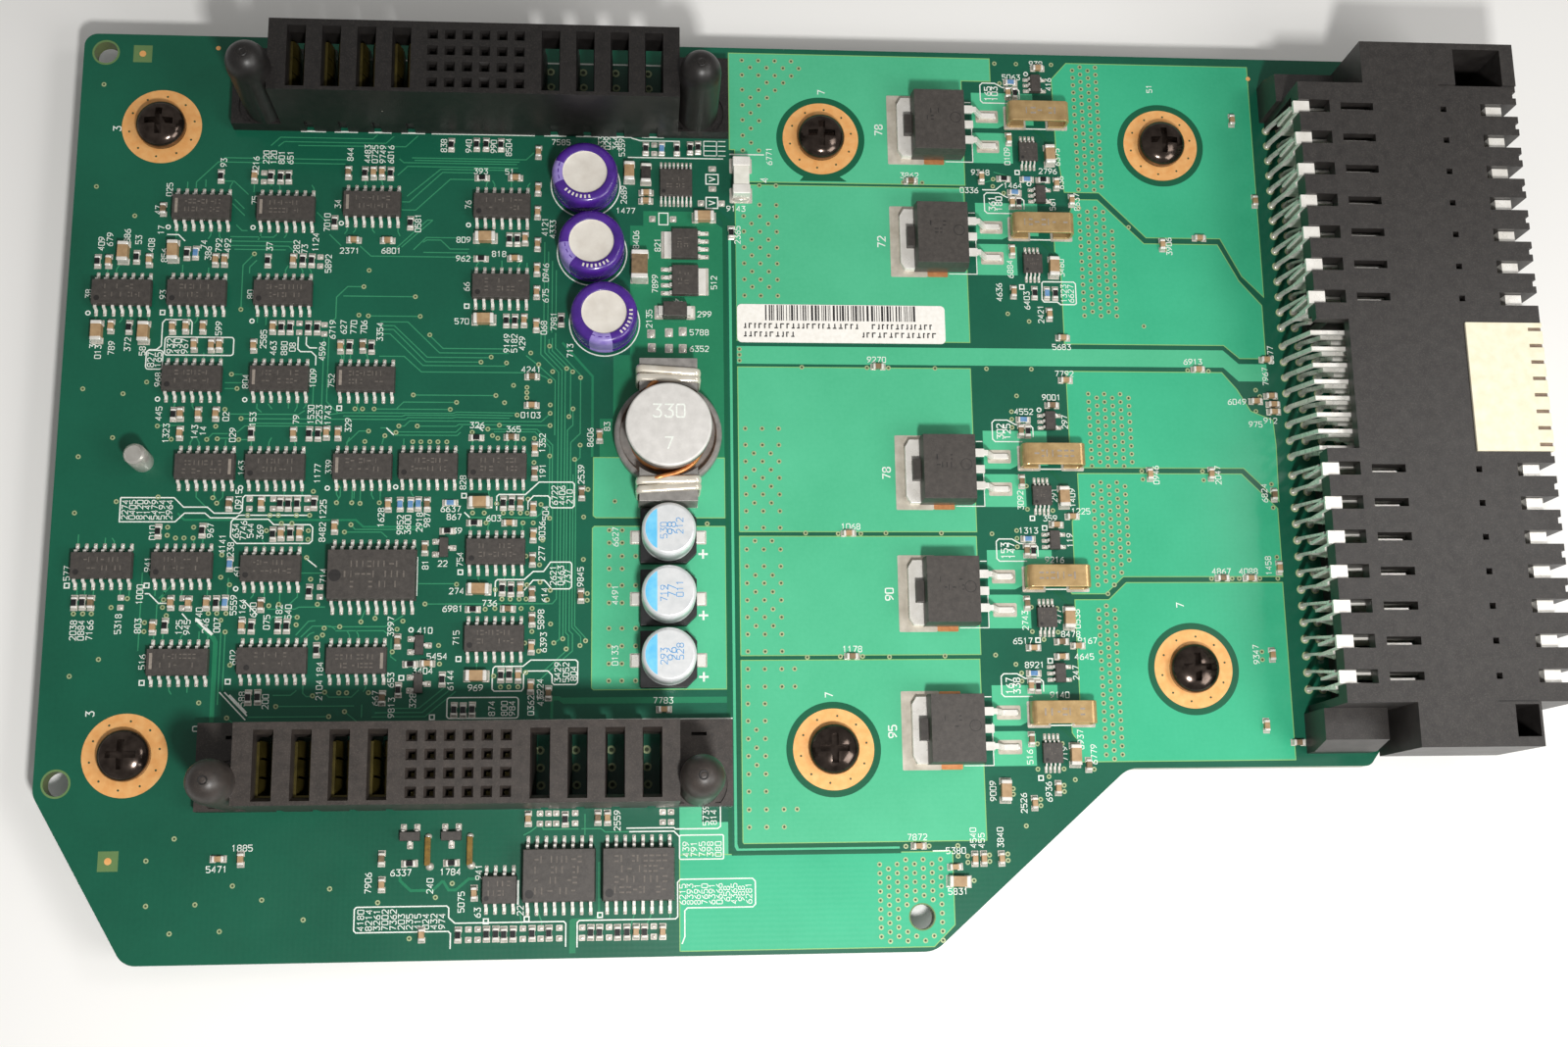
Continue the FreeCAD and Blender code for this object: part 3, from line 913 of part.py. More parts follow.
doc.recompute()
for obj in doc.Objects:
    if "Invalid" in obj.State or "Error" in obj.State:
        raise RuntimeError("failed: %s %s" % (obj.Name, obj.State))
for obj in NODES:
    if obj.Shape.isNull() or not obj.Shape.isValid():
        raise RuntimeError("bad shape: %s" % obj.Label)
os.makedirs("parts", exist_ok=True)
for obj in NODES:
    obj.Shape.exportStep("parts/%s.step" % obj.Label)
print("%d sub-parts" % len(NODES))
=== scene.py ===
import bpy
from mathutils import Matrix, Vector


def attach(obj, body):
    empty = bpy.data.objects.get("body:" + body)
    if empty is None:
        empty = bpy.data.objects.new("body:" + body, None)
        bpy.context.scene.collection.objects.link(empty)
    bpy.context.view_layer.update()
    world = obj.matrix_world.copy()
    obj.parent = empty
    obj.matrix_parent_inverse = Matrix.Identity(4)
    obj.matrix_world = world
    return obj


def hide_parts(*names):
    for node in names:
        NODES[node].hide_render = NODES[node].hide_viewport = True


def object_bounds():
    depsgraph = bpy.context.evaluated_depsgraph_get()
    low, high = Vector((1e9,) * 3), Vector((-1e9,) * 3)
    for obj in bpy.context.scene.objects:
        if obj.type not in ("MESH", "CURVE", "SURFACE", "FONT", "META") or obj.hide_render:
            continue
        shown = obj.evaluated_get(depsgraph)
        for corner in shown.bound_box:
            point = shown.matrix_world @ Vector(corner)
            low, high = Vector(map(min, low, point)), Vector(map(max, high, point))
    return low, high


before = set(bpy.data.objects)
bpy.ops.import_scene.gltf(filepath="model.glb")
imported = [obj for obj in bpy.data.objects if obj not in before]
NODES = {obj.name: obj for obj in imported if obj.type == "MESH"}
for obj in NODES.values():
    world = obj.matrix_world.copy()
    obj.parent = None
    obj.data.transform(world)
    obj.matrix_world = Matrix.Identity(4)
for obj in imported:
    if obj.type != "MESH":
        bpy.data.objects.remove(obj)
CAD_BOX = [list(c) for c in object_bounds()]

import math
import random
import bpy
import bmesh
from mathutils import Matrix, Vector

MM = 0.001
TOP = 2.4                # component side of the laminate, millimetres
RNG = random.Random(41)


def srgb(r, g, b, a=1.0):
    out = []
    for c in (r, g, b):
        c = c / 255.0
        out.append(c / 12.92 if c <= 0.04045 else ((c + 0.055) / 1.055) ** 2.4)
    return (out[0], out[1], out[2], a)


# ------------------------------------------------------------------ materials

class Mat:
    """Small helper around a Principled material built from procedural nodes."""

    def __init__(self, name):
        self.m = bpy.data.materials.new(name)
        self.m.use_nodes = True
        self.t = self.m.node_tree
        self.p = self.t.nodes["Principled BSDF"]
        self.co = self.t.nodes.new("ShaderNodeTexCoord")

    def node(self, kind, **kw):
        n = self.t.nodes.new(kind)
        for k, v in kw.items():
            setattr(n, k, v)
        return n

    def link(self, a, b):
        self.t.links.new(a, b)

    def set(self, **kw):
        names = {"rough": "Roughness", "metal": "Metallic", "coat": "Coat Weight", "coat_rough": "Coat Roughness",
                 "ior": "IOR", "spec": "Specular IOR Level", "sss": "Subsurface Weight", "alpha": "Alpha",
                 "coat_ior": "Coat IOR", "trans": "Transmission Weight"}
        for k, v in kw.items():
            self.p.inputs[names[k]].default_value = v
        return self

    def noise(self, scale, detail=4.0, rough=0.55, vec=None, dist=0.0):
        n = self.node("ShaderNodeTexNoise")
        n.inputs["Scale"].default_value = scale
        n.inputs["Detail"].default_value = detail
        n.inputs["Roughness"].default_value = rough
        n.inputs["Distortion"].default_value = dist
        self.link(vec or self.co.outputs["Object"], n.inputs["Vector"])
        return n.outputs["Fac"]

    def ramp(self, fac, stops, mode="LINEAR"):
        r = self.node("ShaderNodeValToRGB")
        r.color_ramp.interpolation = mode
        e = r.color_ramp.elements
        while len(e) < len(stops):
            e.new(0.5)
        for el, (pos, col) in zip(e, stops):
            el.position = pos
            el.color = col if len(col) == 4 else (*col, 1.0)
        self.link(fac, r.inputs["Fac"])
        return r.outputs["Color"]

    def mix(self, fac, a, b, blend="MIX"):
        n = self.node("ShaderNodeMix", data_type="RGBA", blend_type=blend)
        for sock, v in ((n.inputs["Factor"], fac), (n.inputs["A"], a), (n.inputs["B"], b)):
            if isinstance(v, (int, float)):
                sock.default_value = v
            elif isinstance(v, tuple):
                sock.default_value = v
            else:
                self.link(v, sock)
        for s in n.inputs:
            if s.name in ("A", "B") and s.type == "RGBA":
                v = a if s.name == "A" else b
                if isinstance(v, tuple):
                    s.default_value = v
                elif not isinstance(v, (int, float)):
                    self.link(v, s)
        return [o for o in n.outputs if o.type == "RGBA"][0]

    def span(self, fac, lo, hi):
        n = self.node("ShaderNodeMapRange")
        n.inputs["To Min"].default_value = lo
        n.inputs["To Max"].default_value = hi
        self.link(fac, n.inputs["Value"])
        return n.outputs["Result"]

    def bump(self, height, strength=0.3, distance=0.00005):
        n = self.node("ShaderNodeBump")
        n.inputs["Strength"].default_value = strength
        n.inputs["Distance"].default_value = distance
        self.link(height, n.inputs["Height"])
        self.link(n.outputs["Normal"], self.p.inputs["Normal"])
        return n

    def base(self, col):
        if isinstance(col, tuple):
            self.p.inputs["Base Color"].default_value = col
        else:
            self.link(col, self.p.inputs["Base Color"])
        return self


def two_tone(name, a, b, scale=900.0, rough=(0.4, 0.6), metal=0.0, bump=0.2, bump_scale=2500.0, dist=0.00003, detail=5.0, **kw):
    """Surface whose colour and gloss drift between two close tones."""
    m = Mat(name)
    f = m.noise(scale, detail)
    m.base(m.ramp(f, [(0.3, a), (0.72, b)]))
    m.link(m.span(m.noise(scale * 1.7, 3.0), *rough), m.p.inputs["Roughness"])
    m.set(metal=metal, **kw)
    if bump:
        m.bump(m.noise(bump_scale, 3.0), bump, dist)
    return m.m


def mask_material(name, dark, light, fleck, top_only=False, coat=0.3):
    """Solder mask: cloudy green under a glossy film, with a faint weave under it."""
    m = Mat(name)
    cloud = m.noise(38.0, 5.0, 0.6)
    col = m.ramp(cloud, [(0.28, dark), (0.75, light)])
    grain = m.noise(1700.0, 3.0)
    col = m.mix(m.span(grain, 0.0, 0.28), col, fleck)
    weave = m.node("ShaderNodeTexWave", wave_type="BANDS", bands_direction="X")
    weave.inputs["Scale"].default_value = 420.0
    weave.inputs["Distortion"].default_value = 1.2
    m.link(m.co.outputs["Object"], weave.inputs["Vector"])
    weave2 = m.node("ShaderNodeTexWave", wave_type="BANDS", bands_direction="Y")
    weave2.inputs["Scale"].default_value = 420.0
    weave2.inputs["Distortion"].default_value = 1.2
    m.link(m.co.outputs["Object"], weave2.inputs["Vector"])
    w = m.node("ShaderNodeMath", operation="ADD")
    m.link(weave.outputs["Fac"], w.inputs[0])
    m.link(weave2.outputs["Fac"], w.inputs[1])
    h = m.node("ShaderNodeMath", operation="ADD")
    m.link(w.outputs[0], h.inputs[0])
    m.link(m.noise(300.0, 4.0), h.inputs[1])
    m.bump(h.outputs[0], 0.12, 0.00002)
    if top_only:
        # sawn edge of the laminate: pale glass and resin with layer lines
        g = m.node("ShaderNodeNewGeometry")
        s = m.node("ShaderNodeSeparateXYZ")
        m.link(g.outputs["Normal"], s.inputs[0])
        a = m.node("ShaderNodeMath", operation="ABSOLUTE")
        m.link(s.outputs["Z"], a.inputs[0])
        up = m.node("ShaderNodeMath", operation="GREATER_THAN")
        m.link(a.outputs[0], up.inputs[0])
        up.inputs[1].default_value = 0.5
        lay = m.node("ShaderNodeTexWave", wave_type="BANDS", bands_direction="Z")
        lay.inputs["Scale"].default_value = 900.0
        lay.inputs["Distortion"].default_value = 2.0
        m.link(m.co.outputs["Object"], lay.inputs["Vector"])
        edge = m.ramp(lay.outputs["Fac"], [(0.2, srgb(70, 92, 60)), (0.9, srgb(128, 132, 88))])
        col = m.mix(up.outputs[0], edge, col)
    m.base(col)
    m.link(m.span(m.noise(120.0, 4.0), 0.3, 0.46), m.p.inputs["Roughness"])
    m.set(coat=coat, coat_rough=0.16, spec=0.28)
    return m.m


def plastic(name, a, b, rough=(0.42, 0.6), scale=700.0, bump=0.25, dust=None, **kw):
    """Moulded plastic: fine orange-peel texture, cloudy gloss and, where asked, dust lying on the upper faces."""
    m = Mat(name)
    col = m.ramp(m.noise(scale, 5.0), [(0.3, a), (0.75, b)])
    if dust:
        g = m.node("ShaderNodeNewGeometry")
        s = m.node("ShaderNodeSeparateXYZ")
        m.link(g.outputs["Normal"], s.inputs[0])
        up = m.node("ShaderNodeMapRange")
        up.inputs["From Min"].default_value = 0.6
        up.inputs["From Max"].default_value = 1.0
        m.link(s.outputs["Z"], up.inputs["Value"])
        speck = m.ramp(m.noise(5200.0, 5.0, 0.7), [(0.5, (0, 0, 0, 1)), (0.8, (1, 1, 1, 1))])
        f = m.node("ShaderNodeMath", operation="MULTIPLY")
        m.link(up.outputs["Result"], f.inputs[0])
        m.link(speck, f.inputs[1])
        f2 = m.node("ShaderNodeMath", operation="MULTIPLY")
        m.link(f.outputs[0], f2.inputs[0])
        f2.inputs[1].default_value = dust[1]
        col = m.mix(f2.outputs[0], col, dust[0])
    m.base(col)
    m.link(m.span(m.noise(scale * 0.4, 4.0), *rough), m.p.inputs["Roughness"])
    m.set(**kw)
    if bump:
        m.bump(m.noise(3200.0, 2.0), bump, 0.00003)
    return m.m


MAT = {}
MAT["mask"] = mask_material("mask_dark", srgb(11, 79, 59), srgb(19, 97, 73), srgb(30, 111, 83), top_only=True)
MAT["mask_mid"] = mask_material("mask_mid", srgb(20, 104, 74), srgb(32, 124, 88), srgb(46, 138, 100))
MAT["pour"] = mask_material("mask_pour", srgb(66, 173, 127), srgb(85, 191, 146), srgb(105, 205, 162))
MAT["pour_far"] = mask_material("mask_pour_far", srgb(46, 166, 122), srgb(63, 184, 139), srgb(83, 198, 155))
MAT["trace"] = mask_material("mask_trace", srgb(42, 126, 90), srgb(57, 147, 105), srgb(78, 162, 120))
MAT["gap"] = mask_material("mask_gap", srgb(10, 82, 56), srgb(16, 96, 66), srgb(26, 106, 74))
MAT["silk"] = two_tone("silk_ink", srgb(222, 228, 220), srgb(246, 249, 242), 2600.0, (0.55, 0.75), bump=0.2)
MAT["gold"] = two_tone("ring_gold", srgb(241, 171, 99), srgb(251, 193, 124), 900.0, (0.36, 0.5), metal=0.2, bump=0.15)
MAT["pad"] = two_tone("pad_solder", srgb(196, 190, 179), srgb(228, 223, 213), 700.0, (0.2, 0.32), metal=0.35, bump=0.1, bump_scale=900.0, detail=3.0)
MAT["tin"] = two_tone("tin_plate", srgb(226, 222, 214), srgb(246, 243, 237), 420.0, (0.24, 0.32), metal=0.15, bump=0.0, detail=2.0)
MAT["hole"] = two_tone("drill_dark", srgb(46, 66, 38), srgb(66, 82, 48), 2000.0, (0.5, 0.7), bump=0.0)
MAT["via"] = two_tone("via_ring", srgb(150, 172, 126), srgb(184, 192, 148), 900.0, (0.35, 0.5), metal=0.15, bump=0.0)
MAT["black"] = plastic("housing_black", srgb(24, 22, 21), srgb(35, 32, 31), (0.36, 0.48), dust=(srgb(132, 124, 116), 0.18))
# lower socket housing: a lighter grey base than the upper socket's, with dust flecks on its upper faces
MAT["black_lighter_grey"] = plastic("housing_lighter_grey", srgb(47, 42, 39), srgb(64, 57, 53), (0.36, 0.48), dust=(srgb(142, 132, 122), 0.26))
# output connector housing: real dust on its upper faces, and a base painted lighter grey than plain black to stand for
# the broad sheen of light across it
MAT["black_dust_and_sheen"] = plastic("housing_dust_and_sheen", srgb(40, 37, 36), srgb(54, 51, 49), (0.36, 0.46), dust=(srgb(138, 130, 122), 0.24))
MAT["base_black"] = plastic("base_black", srgb(24, 24, 25), srgb(38, 38, 40), (0.4, 0.55))
MAT["epoxy"] = plastic("epoxy_case", srgb(60, 56, 53), srgb(78, 73, 69), (0.42, 0.58), scale=1500.0, bump=0.4, dust=(srgb(136, 128, 118), 0.16))
MAT["steel_black"] = two_tone("screw_black", srgb(62, 53, 48), srgb(98, 86, 79), 700.0, (0.12, 0.2), metal=0.9, bump=0.08)
MAT["pin"] = two_tone("pin_metal", srgb(196, 192, 184), srgb(228, 225, 218), 500.0, (0.2, 0.3), metal=0.6, bump=0.0)
# dull brass for the socket contacts and sprung leaves, its colour darkened to paint the shade down the socket slots
MAT["brass"] = two_tone("contact_brass_slot_shade", srgb(66, 58, 25), srgb(94, 83, 38), 600.0, (0.28, 0.4), metal=0.6, bump=0.08)
MAT["cream"] = plastic("insert_cream", srgb(240, 230, 200), srgb(250, 244, 220), (0.45, 0.6), sss=0.0)
MAT["ferrite"] = two_tone("ferrite_grey", srgb(126, 123, 120), srgb(154, 150, 146), 900.0, (0.36, 0.5), metal=0.15, bump=0.15, bump_scale=2000.0)
MAT["copper"] = two_tone("copper_wire", srgb(196, 122, 64), srgb(230, 160, 98), 500.0, (0.26, 0.36), metal=0.6, bump=0.0, coat=0.2)
MAT["shunt"] = two_tone("shunt_alloy", srgb(182, 150, 102), srgb(216, 184, 132), 600.0, (0.26, 0.36), metal=0.55, bump=0.06)
MAT["ceramic_white"] = plastic("fuse_ceramic", srgb(222, 220, 208), srgb(242, 240, 230), (0.3, 0.45))
MAT["ceramic"] = plastic("cap_ceramic", srgb(160, 129, 94), srgb(190, 159, 120), (0.32, 0.5), scale=900.0)
MAT["ceramic_dark"] = plastic("cap_ceramic_dark", srgb(110, 91, 68), srgb(148, 123, 92), (0.32, 0.5), scale=1400.0)
MAT["res"] = plastic("res_glaze", srgb(20, 20, 21), srgb(34, 34, 36), (0.22, 0.38), scale=1400.0)
MAT["res_blue"] = plastic("film_glaze", srgb(84, 128, 176), srgb(122, 164, 204), (0.22, 0.38), scale=1400.0)
MAT["bead"] = plastic("bead_ferrite", srgb(40, 36, 34), srgb(66, 60, 56), (0.45, 0.6), scale=1600.0)
# test-point bars: amber darkened to paint the shadow that falls over them
MAT["amber"] = plastic("bar_amber", srgb(104, 80, 30), srgb(146, 114, 50), (0.25, 0.4), scale=1300.0)
MAT["paper"] = two_tone("label_paper", srgb(238, 234, 226), srgb(250, 247, 241), 1700.0, (0.6, 0.75), bump=0.3, bump_scale=2600.0)
MAT["ink"] = two_tone("label_ink", srgb(26, 25, 26), srgb(46, 44, 44), 2400.0, (0.5, 0.65), bump=0.0)
MAT["mark"] = two_tone("case_mark", srgb(92, 86, 80), srgb(118, 110, 102), 2600.0, (0.6, 0.75), bump=0.0)
MAT["alu"] = two_tone("can_aluminium", srgb(228, 231, 233), srgb(246, 247, 248), 800.0, (0.26, 0.38), metal=0.35, bump=0.1)
MAT["alu_blue"] = plastic("can_blue", srgb(96, 190, 234), srgb(134, 214, 246), (0.3, 0.42))
MAT["can_white"] = plastic("can_top_white", srgb(212, 205, 195), srgb(230, 225, 216), (0.42, 0.58), scale=500.0)
MAT["purple"] = plastic("sleeve_purple", srgb(58, 26, 118), srgb(82, 40, 150), (0.2, 0.34), scale=400.0, coat=0.4, coat_rough=0.12)
MAT["lavender"] = plastic("sleeve_stripe", srgb(132, 114, 190), srgb(166, 150, 212), (0.25, 0.4), scale=900.0)
MAT["fid"] = mask_material("mask_window", srgb(86, 122, 74), srgb(112, 140, 88), srgb(130, 150, 100), coat=0.2)
MAT["copper_bare"] = two_tone("pad_copper", srgb(204, 132, 82), srgb(226, 160, 108), 1200.0, (0.3, 0.45), metal=0.6, bump=0.25)
MAT["can_ink"] = two_tone("can_print", srgb(70, 140, 200), srgb(104, 168, 218), 2200.0, (0.4, 0.55), bump=0.0)
# inductor core top: pale grey that paints the highlight on the core's top face
MAT["core_top_painted_highlight"] = two_tone("core_top_painted_highlight", srgb(208, 205, 201), srgb(226, 223, 219), 700.0, (0.36, 0.5), metal=0.1, bump=0.1, bump_scale=2200.0)
MAT["dimple"] = plastic("case_dimple", srgb(34, 32, 31), srgb(46, 43, 42), (0.45, 0.6), scale=1500.0)
MAT["stripe_pale"] = two_tone("case_stripe", srgb(134, 124, 114), srgb(164, 153, 142), 2200.0, (0.5, 0.65), bump=0.0)
MAT["pour_dim"] = mask_material("mask_pour_dim", srgb(24, 112, 78), srgb(38, 132, 92), srgb(54, 146, 106))
MAT["pad_dull"] = two_tone("pad_flux", srgb(188, 179, 164), srgb(219, 211, 197), 600.0, (0.26, 0.38), metal=0.25, bump=0.1, bump_scale=900.0, detail=3.0)
MAT["pour_edge"] = mask_material("mask_pour_edge", srgb(122, 178, 104), srgb(146, 196, 122), srgb(158, 204, 134), coat=0.2)
MAT["wire_tin"] = two_tone("wire_solder", srgb(222, 212, 194), srgb(246, 240, 228), 360.0, (0.2, 0.28), metal=0.45, bump=0.0, detail=2.0)
MAT["contact_brown"] = two_tone("contact_dull", srgb(104, 86, 72), srgb(140, 120, 102), 700.0, (0.3, 0.42), metal=0.4, bump=0.0)


# ------------------------------------------------------------------ mesh building

class Build:
    """Collects closed little solids, in millimetres, into one object."""

    def __init__(self, name, mats):
        self.name = name
        self.mats = mats
        self.v = []
        self.f = []
        self.mi = []
        self.sm = []
        self.tf = None
        self.step = 0

    def lift(self):
        """A micron or so more for each shape, so no two faces of a layer coincide."""
        self.step = (self.step + 1) % 7
        return 0.0008 * self.step

    def place(self, x=None, y=0.0, deg=0.0):
        """Later solids are laid down turned by deg and moved to (x, y); no argument returns to the frame."""
        self.tf = None if x is None else (x, y, math.cos(math.radians(deg)), math.sin(math.radians(deg)))

    def put(self, verts):
        if self.tf:
            ox, oy, c, s = self.tf
            verts = [(ox + x * c - y * s, oy + x * s + y * c, z) for x, y, z in verts]
        self.v.extend(verts)

    def add(self, verts, faces, mat=0, smooth=False):
        o = len(self.v)
        self.put(verts)
        k = self.mats.index(mat) if isinstance(mat, str) else mat
        for f in faces:
            self.f.append([i + o for i in f])
            self.mi.append(k)
            self.sm.append(smooth)

    def prism(self, pts, z0, z1, mat=0, cap=True):
        """Straight prism over a flat outline given anticlockwise."""
        n = len(pts)
        z1 += self.lift()
        v = [(x, y, z0) for x, y in pts] + [(x, y, z1) for x, y in pts]
        f = [[i, (i + 1) % n, n + (i + 1) % n, n + i] for i in range(n)]
        f.append(list(range(n, 2 * n)))
        f.append(list(range(n - 1, -1, -1)))
        self.add(v, f, mat)

    def box(self, x0, x1, y0, y1, z0, z1, mat=0):
        self.prism([(x0, y0), (x1, y0), (x1, y1), (x0, y1)], z0, z1, mat)

    def soft_box(self, x0, x1, y0, y1, z0, z1, r, mat=0):
        """Block with its upright and top edges eased by a chamfer of size r."""
        v, f = [], []
        rings = [(0.0, z0), (0.0, z1 - r), (r, z1)]
        for inset, z in rings:
            a, b, c, d = x0 + inset, x1 - inset, y0 + inset, y1 - inset
            k = r * 0.7
            v += [(a + k, c, z), (b - k, c, z), (b, c + k, z), (b, d - k, z), (b - k, d, z), (a + k, d, z), (a, d - k, z), (a, c + k, z)]
        for q in range(2):
            for i in range(8):
                j = (i + 1) % 8
                f.append([q * 8 + i, q * 8 + j, q * 8 + 8 + j, q * 8 + 8 + i])
        f.append(list(range(16, 24)))
        f.append(list(range(7, -1, -1)))
        self.add(v, f, mat)

    def line(self, pts, width, z0, z1, mat=0, closed=False):
        """Flat ribbon along a polyline, mitred at its corners."""
        n = len(pts)
        if n < 2:
            return
        z1 += self.lift()
        left, right = [], []
        for i in range(n):
            p = Vector(pts[i])
            if closed:
                a, b = Vector(pts[i - 1]), Vector(pts[(i + 1) % n])
            else:
                a = Vector(pts[i - 1]) if i else None
                b = Vector(pts[i + 1]) if i < n - 1 else None
            d0 = (p - a).normalized() if a is not None and (p - a).length > 1e-9 else None
            d1 = (b - p).normalized() if b is not None and (b - p).length > 1e-9 else None
            d0 = d0 or d1
            d1 = d1 or d0
            t = (d0 + d1)
            t = t.normalized() if t.length > 1e-6 else d0
            nrm = Vector((-t.y, t.x))
            c = max(0.45, nrm.dot(Vector((-d0.y, d0.x))))
            off = nrm * (width / 2 / c)
            left.append(p + off)
            right.append(p - off)
        m = n if closed else n - 1
        v = []
        for l, r in zip(left, right):
            v += [(r.x, r.y, z0), (l.x, l.y, z0), (l.x, l.y, z1), (r.x, r.y, z1)]
        f = []
        for i in range(m):
            a, b = 4 * i, 4 * ((i + 1) % n)
            for k in range(4):
                q = (k + 1) % 4
                f.append([a + k, a + q, b + q, b + k])
        if not closed:
            f.append([0, 3, 2, 1])
            e = 4 * (n - 1)
            f.append([e, e + 1, e + 2, e + 3])
        self.add(v, f, mat)

    def ring(self, x, y, r0, r1, z0, z1, mat=0, n=24):
        v, f = [], []
        z1 += self.lift()
        for i in range(n):
            a = 2 * math.pi * i / n
            c, s = math.cos(a), math.sin(a)
            v += [(x + r0 * c, y + r0 * s, z0), (x + r1 * c, y + r1 * s, z0), (x + r1 * c, y + r1 * s, z1), (x + r0 * c, y + r0 * s, z1)]
        for i in range(n):
            a, b = 4 * i, 4 * ((i + 1) % n)
            for k in range(4):
                q = (k + 1) % 4
                f.append([a + k, b + k, b + q, a + q])
        self.add(v, f, mat)

    def tube(self, pts, r, mat=0, n=12):
        """Round wire along a smooth path, closed at both ends."""
        v, f = [], []
        side = None
        for i, p in enumerate(pts):
            a, b = Vector(pts[max(i - 1, 0)]), Vector(pts[min(i + 1, len(pts) - 1)])
            t = (b - a).normalized()
            if side is None:
                side = t.cross(Vector((0, 0, 1)))
                if side.length < 1e-6:
                    side = Vector((1, 0, 0))
            side = (side - t * side.dot(t)).normalized()
            up = side.cross(t)
            for k in range(n):
                w = 2 * math.pi * k / n
                q = Vector(p) + side * (r * math.cos(w)) + up * (r * math.sin(w))
                v.append((q.x, q.y, q.z))
        for i in range(len(pts) - 1):
            for k in range(n):
                j = (k + 1) % n
                f.append([i * n + k, i * n + n + k, i * n + n + j, i * n + j])
        f.append(list(range(n)))
        e = (len(pts) - 1) * n
        f.append([e + k for k in range(n - 1, -1, -1)])
        self.add(v, f, mat, True)

    def band(self, x, z0, z1, y, half, thick, round_r, mat=0, lean=0.0, n=10):
        """Flattened wire wound once round a bar that runs along Y: rounded oblong in X and Z, lying at y."""
        path = []
        for cx, cz, a0 in ((x - round_r, z0 + round_r, -90), (x - round_r, z1 - round_r, 0), (-x + round_r, z1 - round_r, 90), (-x + round_r, z0 + round_r, 180)):
            for i in range(7):
                a = math.radians(a0 + 15.0 * i)
                path.append((cx + round_r * math.cos(a), cz + round_r * math.sin(a), math.cos(a), math.sin(a)))
        v, f = [], []
        m = len(path)
        for px, pz, nx, nz in path:
            for k in range(n):
                w = 2 * math.pi * k / n
                o = thick * math.cos(w)
                v.append((px + nx * o, y + half * math.sin(w) + lean * px / x, pz + nz * o))
        for i in range(m):
            for k in range(n):
                j = (k + 1) % n
                a, b = i * n, ((i + 1) % m) * n
                f.append([a + k, b + k, b + j, a + j])
        self.add(v, f, mat, True)

    def disc(self, x, y, r, z0, z1, mat=0, n=16):
        self.prism([(x + r * math.cos(2 * math.pi * i / n), y + r * math.sin(2 * math.pi * i / n)) for i in range(n)], z0, z1, mat)

    def dome(self, x, y, rx, ry, z0, h, mat=0, n=10, rings=3, angle=0.0):
        """Low rounded mound, such as a solder fillet."""
        v, f = [], []
        ca, sa = math.cos(angle), math.sin(angle)
        for k in range(rings):
            t = k / rings * math.pi / 2
            for i in range(n):
                a = 2 * math.pi * i / n
                px, py = rx * math.cos(t) * math.cos(a), ry * math.cos(t) * math.sin(a)
                v.append((x + px * ca - py * sa, y + px * sa + py * ca, z0 + h * math.sin(t)))
        v.append((x, y, z0 + h))
        for k in range(rings - 1):
            for i in range(n):
                j = (i + 1) % n
                f.append([k * n + i, k * n + j, (k + 1) * n + j, (k + 1) * n + i])
        for i in range(n):
            f.append([(rings - 1) * n + i, (rings - 1) * n + (i + 1) % n, rings * n])
        f.append(list(range(n - 1, -1, -1)))
        self.add(v, f, mat, True)

    def lathe(self, x, y, prof, mat=0, n=48, mats=None, smooth=True):
        """Turned solid from (radius, height) points, the first and last on the axis."""
        v, f, fm = [(x, y, prof[0][1])], [], []
        inner = prof[1:-1]
        for r, z in inner:
            for i in range(n):
                a = 2 * math.pi * i / n
                v.append((x + r * math.cos(a), y + r * math.sin(a), z))
        v.append((x, y, prof[-1][1]))
        last = len(v) - 1
        for i in range(n):
            f.append([0, 1 + (i + 1) % n, 1 + i]); fm.append(0)
        for k in range(len(inner) - 1):
            for i in range(n):
                j = (i + 1) % n
                f.append([1 + k * n + i, 1 + k * n + j, 1 + (k + 1) * n + j, 1 + (k + 1) * n + i]); fm.append(k + 1)
        b = 1 + (len(inner) - 1) * n
        for i in range(n):
            f.append([b + i, b + (i + 1) % n, last]); fm.append(len(inner))
        o = len(self.v)
        self.put(v)
        for t, (q, k) in enumerate(zip(f, fm)):
            self.f.append([i + o for i in q])
            m = mats(k, t % n) if mats else mat
            self.mi.append(self.mats.index(m) if isinstance(m, str) else m)
            self.sm.append(smooth)

    def done(self, replaces=(), sharp=35.0):
        me = bpy.data.meshes.new(self.name)
        me.from_pydata([(x * MM, y * MM, z * MM) for x, y, z in self.v], [], self.f)
        for m in self.mats:
            me.materials.append(MAT[m])
        me.polygons.foreach_set("material_index", self.mi)
        me.polygons.foreach_set("use_smooth", [bool(s) for s in self.sm])
        me.validate()
        me.update()
        if any(self.sm):
            me.set_sharp_from_angle(angle=math.radians(sharp))
        ob = bpy.data.objects.new(self.name, me)
        bpy.context.scene.collection.objects.link(ob)
        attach(ob, "root")
        if replaces:
            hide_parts(*replaces)
        return ob


